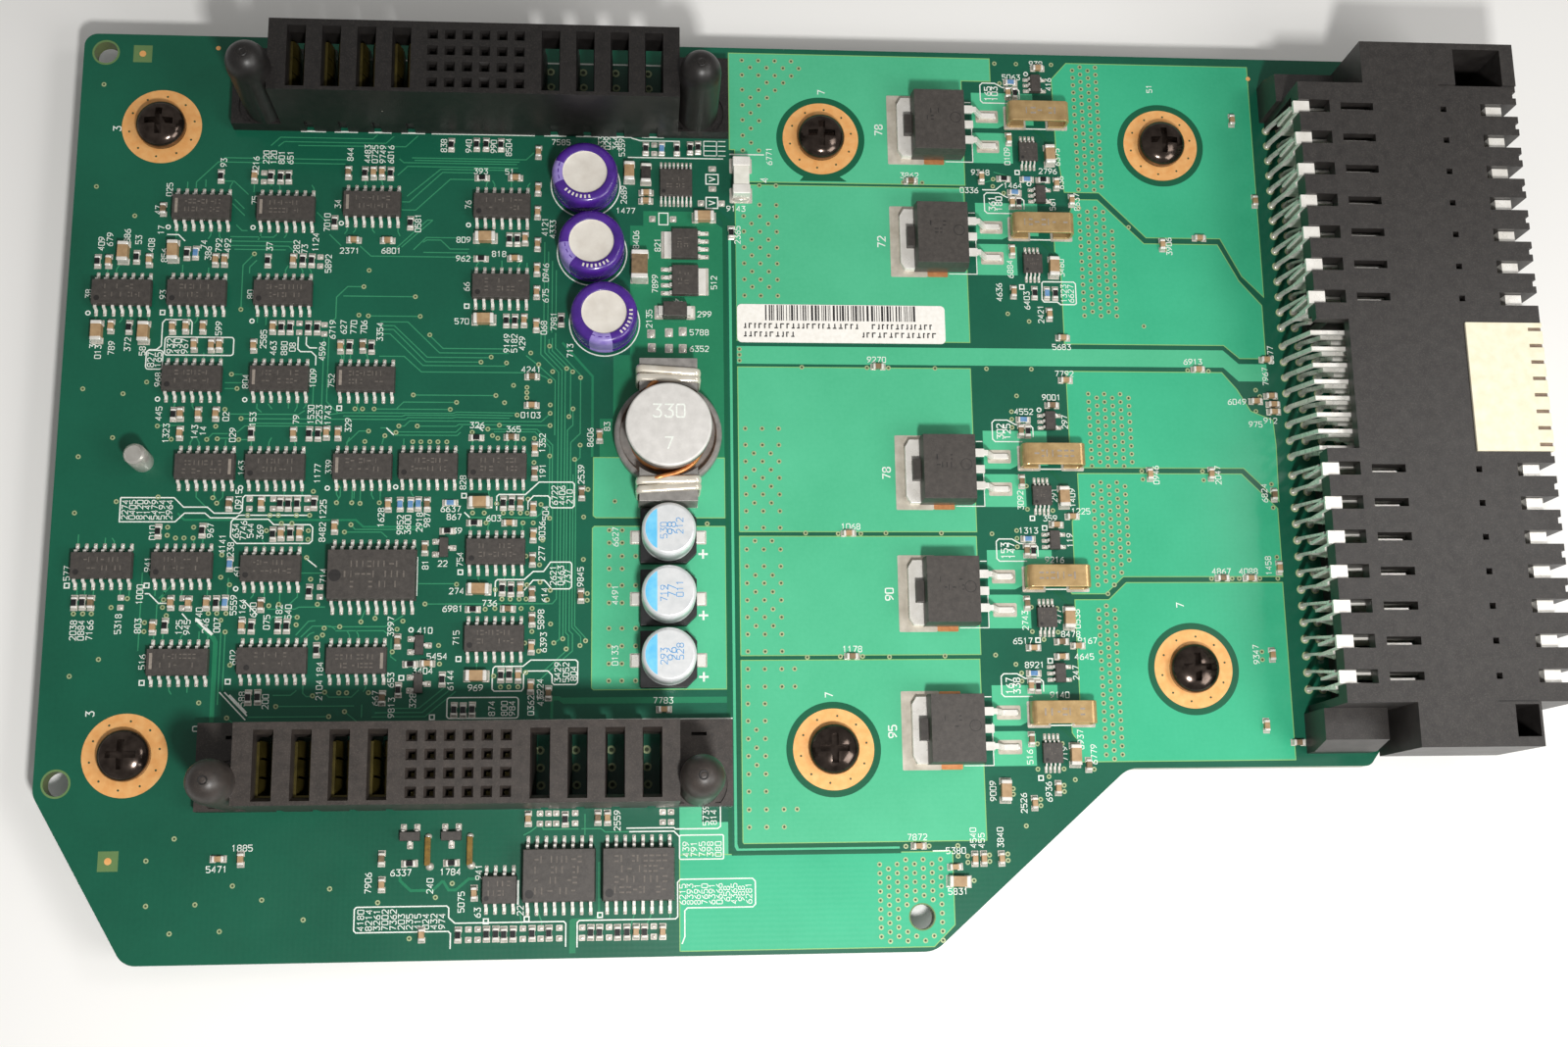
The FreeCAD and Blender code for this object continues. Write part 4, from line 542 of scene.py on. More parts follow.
# digits as strokes on a 0..1 by 0..1.6 cell
STROKES = {
    "0": [[(0.1, 0), (0.9, 0), (1, 0.2), (1, 1.4), (0.9, 1.6), (0.1, 1.6), (0, 1.4), (0, 0.2), (0.1, 0)]],
    "1": [[(0.15, 1.25), (0.5, 1.6), (0.5, 0)]],
    "2": [[(0, 1.3), (0.2, 1.6), (0.8, 1.6), (1, 1.3), (1, 1.0), (0, 0), (1, 0)]],
    "3": [[(0, 1.6), (1, 1.6), (0.5, 0.95), (0.85, 0.85), (1, 0.6), (1, 0.25), (0.8, 0), (0.2, 0), (0, 0.25)]],
    "4": [[(0.75, 0), (0.75, 1.6), (0, 0.5), (1, 0.5)]],
    "5": [[(1, 1.6), (0, 1.6), (0, 0.9), (0.7, 0.95), (1, 0.7), (1, 0.25), (0.8, 0), (0.2, 0), (0, 0.2)]],
    "6": [[(0.9, 1.6), (0.2, 1.1), (0, 0.6), (0, 0.2), (0.2, 0), (0.8, 0), (1, 0.2), (1, 0.6), (0.8, 0.85), (0.1, 0.8)]],
    "7": [[(0, 1.6), (1, 1.6), (0.35, 0)]],
    "8": [[(0.2, 0.85), (0, 1.15), (0.1, 1.5), (0.3, 1.6), (0.7, 1.6), (0.9, 1.5), (1, 1.15), (0.8, 0.85), (0.2, 0.85), (0, 0.5), (0.05, 0.15), (0.25, 0), (0.75, 0), (0.95, 0.15), (1, 0.5), (0.8, 0.85)]],
    "9": [[(0.1, 0), (0.8, 0.5), (1, 1.0), (1, 1.4), (0.8, 1.6), (0.2, 1.6), (0, 1.4), (0, 1.0), (0.2, 0.75), (0.9, 0.8)]],
    "+": [[(0.5, 0.35), (0.5, 1.25)], [(0.05, 0.8), (0.95, 0.8)]],
    "-": [[(0.1, 0.8), (0.9, 0.8)]],
    ".": [[(0.4, 0.02), (0.6, 0.02)]],
}


def digits(b, text, x, y, size, z0, z1, mat=0, turn=0.0, weight=0.16, gap=0.45):
    """Row of plain digits centred on (x, y); size is the digit height in millimetres."""
    s = size / 1.6
    wide = len(text) * s + (len(text) - 1) * gap * s
    ca, sa = math.cos(math.radians(turn)), math.sin(math.radians(turn))
    for k, ch in enumerate(text):
        ox = -wide / 2 + k * (1 + gap) * s
        for stroke in STROKES.get(ch, []):
            pts = []
            for px, py in stroke:
                u, w = ox + px * s, py * s - size / 2
                pts.append((x + u * ca - w * sa, y + u * sa + w * ca))
            closed = len(pts) > 3 and (Vector(pts[0]) - Vector(pts[-1])).length < 1e-6
            b.line(pts[:-1] if closed else pts, size * weight, z0, z1, mat, closed)


# ------------------------------------------------------------------ finish on the construction pieces

def finish_node(name, mat, bevel=0.0, segments=2, angle=35.0):
    o = NODES[name]
    o.data.materials.clear()
    o.data.materials.append(MAT[mat])
    w = o.modifiers.new("weld", "WELD")
    w.merge_threshold = 2e-6
    d = o.modifiers.new("planar", "DECIMATE")
    d.decimate_type = "DISSOLVE"
    d.angle_limit = math.radians(0.6)
    if bevel:
        m = o.modifiers.new("eased", "BEVEL")
        m.width = bevel * MM
        m.segments = segments
        m.limit_method = "ANGLE"
        m.angle_limit = math.radians(angle)
        m.use_clamp_overlap = True
        m.harden_normals = False
    return o


for name, mat, bev in (
        ("circuit_board", "mask", 0.0), ("mounting_screws", "steel_black", 0.0), ("locating_pin", "pin", 0.0),
        ("upper_socket_housing", "black", 0.12), ("lower_socket_housing", "black_lighter_grey", 0.12),
        ("upper_socket_power_contacts", "brass", 0.0), ("lower_socket_power_contacts", "brass", 0.0),
        ("upper_socket_signal_contacts", "brass", 0.0), ("lower_socket_signal_contacts", "brass", 0.0),
        ("output_connector_housing", "black_dust_and_sheen", 0.12), ("output_connector_signal_insert", "cream", 0.08),
        ("output_connector_upper_power_contacts", "tin", 0.06), ("output_connector_lower_power_contacts", "tin", 0.06),
        ("output_connector_signal_contacts", "tin", 0.1),
        ("sleeved_capacitor_cans", "purple", 0.0), ("sleeved_capacitor_leads", "tin", 0.0),
        ("filter_capacitor_cans", "alu", 0.0), ("filter_capacitor_bases", "base_black", 0.1), ("filter_capacitor_terminals", "tin", 0.04),
        ("inductor_core", "ferrite", 0.12), ("inductor_winding", "copper", 0.0), ("inductor_wire_ends", "tin", 0.18),
        ("power_transistor_bodies", "epoxy", 0.12), ("power_transistor_tabs", "tin", 0.06), ("power_transistor_leads", "tin", 0.06),
        ("current_shunts", "shunt", 0.1), ("fuse_body", "ceramic_white", 0.08), ("fuse_end_caps", "tin", 0.15),
        ("rectifier_diode_body", "epoxy", 0.08), ("rectifier_diode_terminals", "tin", 0.03),
        ("switch_transistor_bodies", "epoxy", 0.05), ("switch_transistor_leads", "tin", 0.03),
        ("logic_chip_bodies", "epoxy", 0.05), ("logic_chip_leads", "tin", 0.0),
        ("wide_chip_bodies", "epoxy", 0.07), ("wide_chip_leads", "tin", 0.0),
        ("controller_chip_body", "epoxy", 0.04), ("controller_chip_leads", "tin", 0.0),
        ("monitor_chip_bodies", "epoxy", 0.04), ("monitor_chip_leads", "tin", 0.0),
        ("amplifier_chip_bodies", "epoxy", 0.04), ("amplifier_chip_leads", "tin", 0.0),
        ("small_transistor_bodies", "epoxy", 0.04), ("small_transistor_leads", "tin", 0.0),
        ("small_ceramic_capacitors", "ceramic", 0.0), ("large_ceramic_capacitors", "ceramic", 0.0), ("bulk_ceramic_capacitor", "ceramic", 0.0),
        ("chip_resistors", "res", 0.0), ("film_resistors", "res_blue", 0.0), ("ferrite_bead", "bead", 0.0),
        ("test_point_bars", "amber", 0.08), ("identification_label", "paper", 0.0)):
    finish_node(name, mat, bev)


# ------------------------------------------------------------------ where the parts sit, millimetres

SOIC14 = [(-43.57, 34.29, 0), (-31.12, 34.29, 0), (-18.32, 35.27, 0), (1.2, 35.27, 0), (-54.52, 20.72, 0), 
    (-43.62, 20.82, 0), (-31.02, 20.92, 0), (1.23, 22.32, 0), (-43.67, 7.52, 0), (-31.02, 7.57, 0), 
    (-18.42, 7.57, 0), (-41.12, -5.88, 180), (-31.07, -5.88, 0), (-18.47, -5.78, 0), (-8.92, -5.68, 0), 
    (1.15, -5.63, 0), (-54.92, -20.53, 0), (-43.67, -20.53, 0), (-31.07, -20.98, 0), (1.13, -18.53, 0), 
    (-43.52, -34.58, 0), (-18.42, -34.48, 180), (1.13, -31.33, 0)]
SOIC16 = [(-30.32, -34.43, 0)]
SOIC8 = [(2.48, -67.08, 0)]
SO20W = [(-16.52, -22.08, 0)]
SO16W = [(10.83, -65.18, 0), (22.03, -65.18, 0)]
TSSOP16 = [(27.73, 39.62, 0)]
MSOP8 = [(83.23, 45.82, 0), (83.13, 27.22, 0), (82.88, -9.78, 0), (82.78, -28.43, 0), (82.68, -48.58, 0)]
SOT5 = [(84.88, 57.42, 0), (84.88, 38.72, 0), (84.68, 1.92, 0), (84.48, -16.68, 0), (84.38, -36.78, 0)]
SOT3 = [(-6.42, -17.78, 0), (-9.62, -32.18, 0), (-9.62, -37.78, 0), (-10.22, -59.48, -90), 
    (-4.42, -59.48, -90)]
LFPAK = [(29.03, 29.72, 0), (29.08, 23.82, 180)]
SMA = [(27.48, 18.82, 0)]
FUSE = [(37.78, 40.42, 90)]
BIGCAP = [(22.18, 26.02, 90)]
BEAD = [(23.08, 41.22, 90)]
D2PAK = [(68.23, 49.42, 0), (68.13, 30.82, 0), (67.88, -6.18, 0), (67.78, -24.73, 0), (67.73, -45.13, 0)]
SHUNT = [(84.78, 51.87, 0), (84.68, 33.22, 0), (84.58, -3.78, 0), (84.48, -22.48, 0), (84.33, -42.78, 0)]
BULK = [(13.83, 39.32, 200), (14.88, 28.32, 190), (16.83, 17.12, 265)]
FILT = [(26.38, -16.18, 0), (26.38, -25.43, 0), (26.38, -34.53, 0)]
CAP_V = [(-36.22, 39.82), (-22.22, 40.62), (-18.42, 40.72), (-17.12, 40.72), (-49.42, 34.32), (6.58, 44.52), 
    (6.58, 38.42), (6.58, 34.62), (6.58, 29.52), (4.68, 30.32), (-56.92, 25.92), (-51.02, 26.12), 
    (-41.32, 26.32), (-40.02, 26.32), (-29.92, 26.42), (-56.02, 15.72), (-47.12, 15.72), (-45.12, 15.72), 
    (-42.62, 15.72), (-43.82, 12.92), (-41.32, 12.92), (-40.12, 12.92), (-35.12, 12.92), (-32.52, 15.82), 
    (-22.42, 12.92), (-19.12, 13.02), (-45.22, 2.32), (-42.72, 2.32), (-40.12, 2.32), (-45.22, -0.58), 
    (-28.82, -0.58), (-24.02, -0.48), (-22.32, -0.48), (6.58, 25.42), (6.58, 21.82), (6.58, 16.52), 
    (4.68, 17.32), (6.58, -2.68), (6.58, -6.48), (16.18, -0.68), (-37.62, -11.28), (-33.02, -11.18), 
    (-30.02, -15.68), (-27.32, -15.58), (-22.32, -14.68), (-56.32, -25.78), (-45.12, -25.88), 
    (-42.62, -25.88), (-40.12, -25.88), (-32.42, -26.18), (-47.52, -29.38), (-35.02, -29.28), 
    (-14.72, -11.28), (-9.02, -11.28), (4.58, -10.98), (6.48, -11.78), (-9.22, -17.78), (6.48, -15.88), 
    (6.48, -19.58), (13.58, -9.48), (13.58, -24.98), (4.68, -23.88), (6.48, -24.58), (6.48, -28.48), 
    (6.48, -32.48), (-12.82, -31.58), (4.58, -36.68), (6.48, -38.28), (8.98, -39.18), (-14.72, -39.78), 
    (-14.12, -62.48), (-14.02, -66.08), (-1.12, -67.48), (6.38, -57.18), (16.28, -57.18), 
    (17.58, -57.18), (-33.62, -62.28), (80.48, 56.02), (80.38, 37.52), (80.18, 0.47), (80.23, -18.18), 
    (79.98, -38.58), (80.28, 48.12), (80.08, 29.42), (79.98, -7.48), (79.88, -26.18), (79.68, -46.48), 
    (79.78, -55.78), (83.38, -53.68), (88.08, -50.38), (70.58, -63.68), (71.88, -63.68), (74.58, -63.68), 
    (79.98, 22.72), (85.48, 19.12), (75.68, 41.62), (87.58, 40.72), (89.88, 38.02), (104.08, 30.82), 
    (116.68, 52.02), (119.48, 38.32), (99.88, -6.28), (109.48, -6.28), (119.08, -9.48), (119.08, -20.88), 
    (116.98, -34.18), (115.28, -44.78), (-8.32, -73.08), (21.68, -73.18), (25.48, -73.18)]
CAP_H = [(-21.02, 29.82), (-16.02, 29.82), (3.08, 40.22), (23.08, 38.12), (23.08, 36.82), (3.18, 27.22), 
    (5.98, 8.42), (6.08, 4.02), (3.08, -0.98), (2.98, -13.98), (2.98, -26.88), (-8.42, -34.88), 
    (-36.72, -62.28), (25.68, -41.68), (64.48, 40.82), (58.48, 10.42), (53.38, -15.58), (53.38, -34.08), 
    (62.48, -61.78), (67.68, -64.78), (87.48, 15.32), (87.48, 8.52), (108.48, 10.42), (110.08, 32.02), 
    (119.48, 12.12), (119.78, 6.22), (120.08, 4.92), (120.08, 3.72), (117.38, 5.32), (110.18, -22.48), 
    (114.48, -22.48), (87.48, -12.98), (87.38, -32.68), (84.88, -32.08), (80.68, -32.88), (85.48, 60.32), 
    (85.18, 4.52), (84.98, -14.18), (84.88, -34.28), (120.08, -47.28)]
LCAP_V = [(-54.82, 27.22), (-47.52, 27.52), (-57.92, 14.82), (-51.12, 14.82), (20.48, 41.42), (86.68, 45.42), 
    (86.48, 26.82), (86.28, -9.98), (86.18, -28.48), (86.08, -48.88), (75.48, -53.98)]
LCAP_H = [(-1.32, 30.42), (-1.32, 17.32), (-1.42, -10.98), (-1.32, -23.98), (-1.42, -36.68), (31.98, 34.22), 
    (68.18, -66.88)]
RES_V = [(-41.22, 39.72), (-33.72, 39.82), (-32.32, 39.72), (-31.12, 39.82), (-19.72, 40.62), (-15.82, 40.62), 
    (-24.02, 32.62), (-12.62, 32.62), (-6.72, 45.52), (-2.92, 45.62), (-1.52, 45.62), (0.78, 45.62), 
    (2.28, 30.22), (3.48, 30.22), (23.08, 45.42), (27.88, 45.52), (29.98, 45.62), (31.18, 45.72), 
    (36.18, 31.82), (-58.52, 25.92), (-52.92, 26.62), (-45.62, 27.32), (-33.62, 26.32), (-28.52, 26.42), 
    (-27.22, 26.42), (-53.42, 15.62), (-31.22, 15.82), (-29.92, 15.82), (-27.32, 15.82), (-26.02, 15.82), 
    (-21.12, 12.92), (-17.92, 12.92), (-46.22, 2.32), (-34.92, -0.58), (-26.52, -0.58), (-25.22, -0.58), 
    (10.28, 17.42), (2.08, 17.22), (3.38, 17.22), (-30.32, -11.18), (-29.12, -11.18), (-27.82, -11.18), 
    (-25.42, -11.08), (-31.12, -15.68), (-28.62, -15.58), (-47.52, -15.28), (-41.22, -15.18), 
    (-58.72, -25.78), (-57.52, -25.78), (-38.72, -25.88), (-25.62, -24.28), (-45.82, -29.18), 
    (-33.62, -29.28), (-29.92, -29.28), (-28.62, -29.28), (-24.32, -32.78), (-33.62, -39.58), 
    (-32.32, -39.58), (2.08, -10.98), (3.28, -10.98), (2.08, -23.88), (3.38, -23.88), (2.08, -36.58), 
    (3.28, -36.58), (-6.32, -37.18), (-12.52, -38.58), (-4.52, -41.58), (-3.22, -41.58), (-1.92, -41.58), 
    (11.58, -57.28), (-3.22, -73.18), (0.68, -73.18), (1.98, -73.18), (3.18, -73.18), (4.38, -73.18), 
    (7.08, -73.18), (9.48, -73.18), (15.28, -73.18), (16.58, -73.18), (19.08, -73.18), (20.38, -73.18), 
    (22.88, -73.18), (81.68, 56.02), (81.48, 37.52), (81.28, 0.42), (81.28, -18.18), (81.08, -38.68), 
    (83.28, 22.62), (86.58, 22.62)]
RES_H = [(-2.02, 40.12), (-1.92, 27.12), (-2.02, -1.08), (-2.12, -13.98), (-2.12, -26.88), (-6.02, -15.28), 
    (-10.92, -34.88), (-10.22, -63.28), (-4.42, -63.28), (85.48, 41.32), (79.28, 41.42)]
BLUE_V = [(25.58, 45.42), (-44.32, 27.42), (-37.12, -20.18), (-37.52, -25.78), (-13.02, -11.28), 
    (-11.52, -11.28), (-10.32, -11.18), (85.28, 22.62)]
BLUE_H = [(-5.72, -10.98), (80.98, 57.82), (80.88, 39.22), (80.68, 2.22), (80.58, -16.38), (80.48, -36.78), 
    (82.98, 41.42)]
PADS_V = [(-34.82, 39.72), (24.38, 45.42), (-25.92, 26.32), (-28.62, 15.82), (-24.92, 15.62), (-34.72, -11.18), 
    (-31.32, -11.18), (-26.42, -11.18), (-52.22, -25.78), (-43.52, -25.88), (-24.12, -24.28), 
    (7.98, -57.18), (9.18, -57.18), (10.28, -57.18), (12.98, -57.18), (25.48, -57.18), (26.68, -57.18), 
    (-1.82, -73.18), (-0.52, -73.18), (5.78, -73.18), (8.28, -73.18), (10.88, -73.18), (14.08, -73.18), 
    (17.88, -73.18), (24.18, -73.18)]


# ------------------------------------------------------------------ copper, vias and print on the laminate

DATUM = (0.28, -0.58)    # the artwork's own zero, from the frame's origin
LOW = TOP - 0.006        # every layer starts just inside the laminate
Z_POUR, Z_TRACE, Z_GAP, Z_SILK, Z_PAD = TOP + 0.018, TOP + 0.024, TOP + 0.03, TOP + 0.042, TOP + 0.05


def at(pts):
    return [(x + DATUM[0], y + DATUM[1]) for x, y in pts]


def box_pts(x0, x1, y0, y1):
    return [(x0, y0), (x1, y0), (x1, y1), (x0, y1)]


def rounded(x0, x1, y0, y1, r, n=4):
    out = []
    for cx, cy, a0 in ((x1 - r, y0 + r, -90), (x1 - r, y1 - r, 0), (x0 + r, y1 - r, 90), (x0 + r, y0 + r, 180)):
        for i in range(n + 1):
            a = math.radians(a0 + 90.0 * i / n)
            out.append((cx + r * math.cos(a), cy + r * math.sin(a)))
    return out


def arc(x, y, r, a0, a1, n=24):
    return [(x + r * math.cos(math.radians(a0 + (a1 - a0) * i / n)), y + r * math.sin(math.radians(a0 + (a1 - a0) * i / n))) for i in range(n + 1)]


pours = Build("copper_areas", ["pour", "pour_far", "mask_mid", "trace", "pour_dim", "pour_edge"])
POUR_OUTLINES = [
    # left block of the right-hand half, one area per supply channel
    [(36.6, 40.9), (72.8, 40.9), (72.8, 58.6), (77.5, 58.6), (77.5, 62.5), (35.8, 62.5), (35.8, 46.2), (36.6, 46.2)],
    [(36.6, 15.1), (72.6, 15.1), (72.6, 40.4), (36.6, 40.4)],
    [(36.6, 11.4), (112.3, 11.4), (114.6, 9.2), (119.2, 9.2), (119.2, 12.0), (114.8, 12.0), (112.4, 14.2), (36.6, 14.2)],
    [(36.7, -14.7), (72.5, -14.7), (72.5, 10.9), (36.7, 10.9)],
    [(36.7, -33.3), (72.4, -33.3), (72.4, -15.4), (36.7, -15.4)],
    [(36.7, -60.5), (72.2, -60.5), (72.2, -34.0), (36.7, -34.0)],
    # strip between the two long dark lines
    [(35.5, -60.9), (35.8, -61.5), (59.4, -61.5), (59.4, -61.2), (36.1, -61.2), (35.9, -60.6), (35.9, 33.6), (35.5, 33.6)],
    # middle areas under the inductor and the filter cans
    [(15.0, -12.3), (15.4, -12.6), (34.6, -12.6), (34.6, -3.4), (15.0, -3.4)],
    [(14.9, -37.9), (15.2, -38.2), (34.6, -38.2), (34.6, -13.9), (15.2, -13.9), (14.9, -14.2)],
    [(27.6, -75.4), (64.0, -75.4), (67.1, -72.4), (67.1, -71.2)] + arc(62.4, -71.2, 1.93, 0, -180) + [(27.6, -71.2)],
    [(27.6, -71.2)] + arc(62.4, -71.2, 1.93, 180, 0) + [(67.1, -71.2), (67.1, -62.0), (27.6, -62.0)],
    [(27.6, -62.0), (34.6, -62.0), (34.6, -57.4), (30.8, -57.4), (30.8, -54.9), (27.6, -54.9)],
    [(12.0, -75.4), (12.0, -70.9), (12.4, -70.6), (15.4, -70.6), (16.0, -70.2), (16.0, -62.8), (16.3, -62.8), (16.3, -70.4), (15.8, -71.0), (12.9, -71.0), (12.9, -75.4)],
    # small areas under each channel's leads
    [(74.2, 46.6), (79.2, 46.6), (79.2, 49.4), (81.2, 49.4), (81.2, 45.6), (79.8, 45.6), (79.8, 45.0), (74.2, 45.0)],
]
for o in POUR_OUTLINES[:-1]:
    low = max(y for x, y in o) < -55.0
    slim = max(x for x, y in o) - min(x for x, y in o) < 5.0
    pours.prism(at(o), LOW, Z_POUR, "pour" if not low else "pour_dim" if slim else "pour_far")
DIM_OUTLINES = [
    [(15.9, -3.4), (34.6, -3.4), (34.6, 33.2), (31.0, 35.8), (22.4, 35.8), (22.4, 33.4), (20.4, 33.4), (20.4, 12.6), (17.9, 12.6), (17.9, 2.6), (15.9, 2.6)],
    [(9.0, -42.3), (9.4, -42.3), (9.4, -39.7), (10.2, -39.7), (10.8, -40.2), (34.6, -40.2), (34.6, -39.3), (10.6, -39.3), (10.3, -39.1), (9.0, -39.1)],
]
for o in DIM_OUTLINES:
    pours.prism(at(o), LOW, Z_POUR, "pour_dim")
CHANNELS = [(50.0, 0.0), (31.4, -0.05), (-5.55, -0.3), (-24.1, -0.4), (-44.5, -0.5)]
for yq, dx in CHANNELS:
    pours.prism(at([(74.3 + dx, yq - 5.3), (80.6 + dx, yq - 5.3), (80.6 + dx, yq - 0.6), (79.0 + dx, yq - 0.2), (74.3 + dx, yq - 0.2)]), LOW, Z_POUR, "pour")
    pours.prism(at([(74.3 + dx, yq + 0.6), (78.4 + dx, yq + 0.6), (79.6 + dx, yq + 1.2), (84.2 + dx, yq + 1.2), (84.2 + dx, yq + 6.6), (74.3 + dx, yq + 6.6)]), LOW, Z_POUR, "pour")
FAR_OUTLINES = [
    [(87.6, 47.2), (88.6, 40.0), (94.1, 40.0), (101.3, 32.6), (113.2, 32.6), (116.3, 26.4), (119.6, 23.0), (119.6, 62.0), (89.9, 62.0), (87.4, 59.2)],
    [(86.6, 28.6), (87.4, 28.0), (87.4, 15.0), (112.6, 15.0), (115.0, 12.9), (119.2, 12.9), (119.2, 21.6), (115.8, 25.6), (112.7, 31.6), (100.9, 31.6),
     (93.8, 38.8), (90.2, 38.8), (89.0, 36.0), (86.6, 33.6)],
    [(87.4, -4.7), (114.4, -4.7), (119.6, -9.9), (119.8, -1.0), (119.6, 3.0), (116.2, 4.4), (114.2, 7.9), (112.0, 10.6), (87.4, 10.6)],
    [(87.2, -13.0), (88.4, -12.0), (88.4, -5.6), (114.0, -5.6), (119.3, -11.0), (119.3, -21.6), (94.6, -21.6), (91.8, -24.2), (86.6, -24.2), (85.6, -22.4), (87.2, -20.8)],
    [(86.6, -49.3), (86.6, -46.6), (85.6, -45.0), (85.6, -43.0), (87.0, -41.4), (87.0, -25.1), (92.2, -25.1), (95.0, -22.5), (119.2, -22.5), (119.2, -49.3)],
]
for o in FAR_OUTLINES:
    pours.prism(at(o), LOW, Z_POUR, "pour_far")
# pale rim where the mask thins over the edge of the copper
EDGES = POUR_OUTLINES[0:2] + POUR_OUTLINES[3:6] + POUR_OUTLINES[7:9] + FAR_OUTLINES
EDGES += [[(27.6, -75.4), (64.0, -75.4), (67.1, -72.4), (67.1, -62.0), (27.6, -62.0)]]
for o in EDGES:
    pts = at(o)
    pours.line(pts + [pts[0]], 0.13, LOW, Z_POUR + 0.006, "pour_edge")
# wider copper runs in the left half
for pts, w in (([(-41.5, -28.2), (-39.2, -30.4), (-38.9, -31.0), (-38.9, -42.5)], 0.66), ([(-11.8, -64.4), (-11.8, -65.0), (-10.3, -66.4), (-7.2, -66.4), (-5.8, -65.1)], 0.4),
               ([(-5.8, -65.1), (-5.0, -66.4), (-4.0, -66.4), (-2.2, -64.9), (-0.8, -64.9)], 0.4), ([(10.2, 14.5), (14.8, 9.2), (14.8, -3.3)], 0.36),
               ([(-45.2, -12.0), (-44.2, -13.0), (-19.6, -13.0), (-18.5, -14.0), (-9.4, -14.0)], 0.3)):
    pours.line(at(pts), w, LOW, Z_TRACE, "pour_dim")
pours.done()

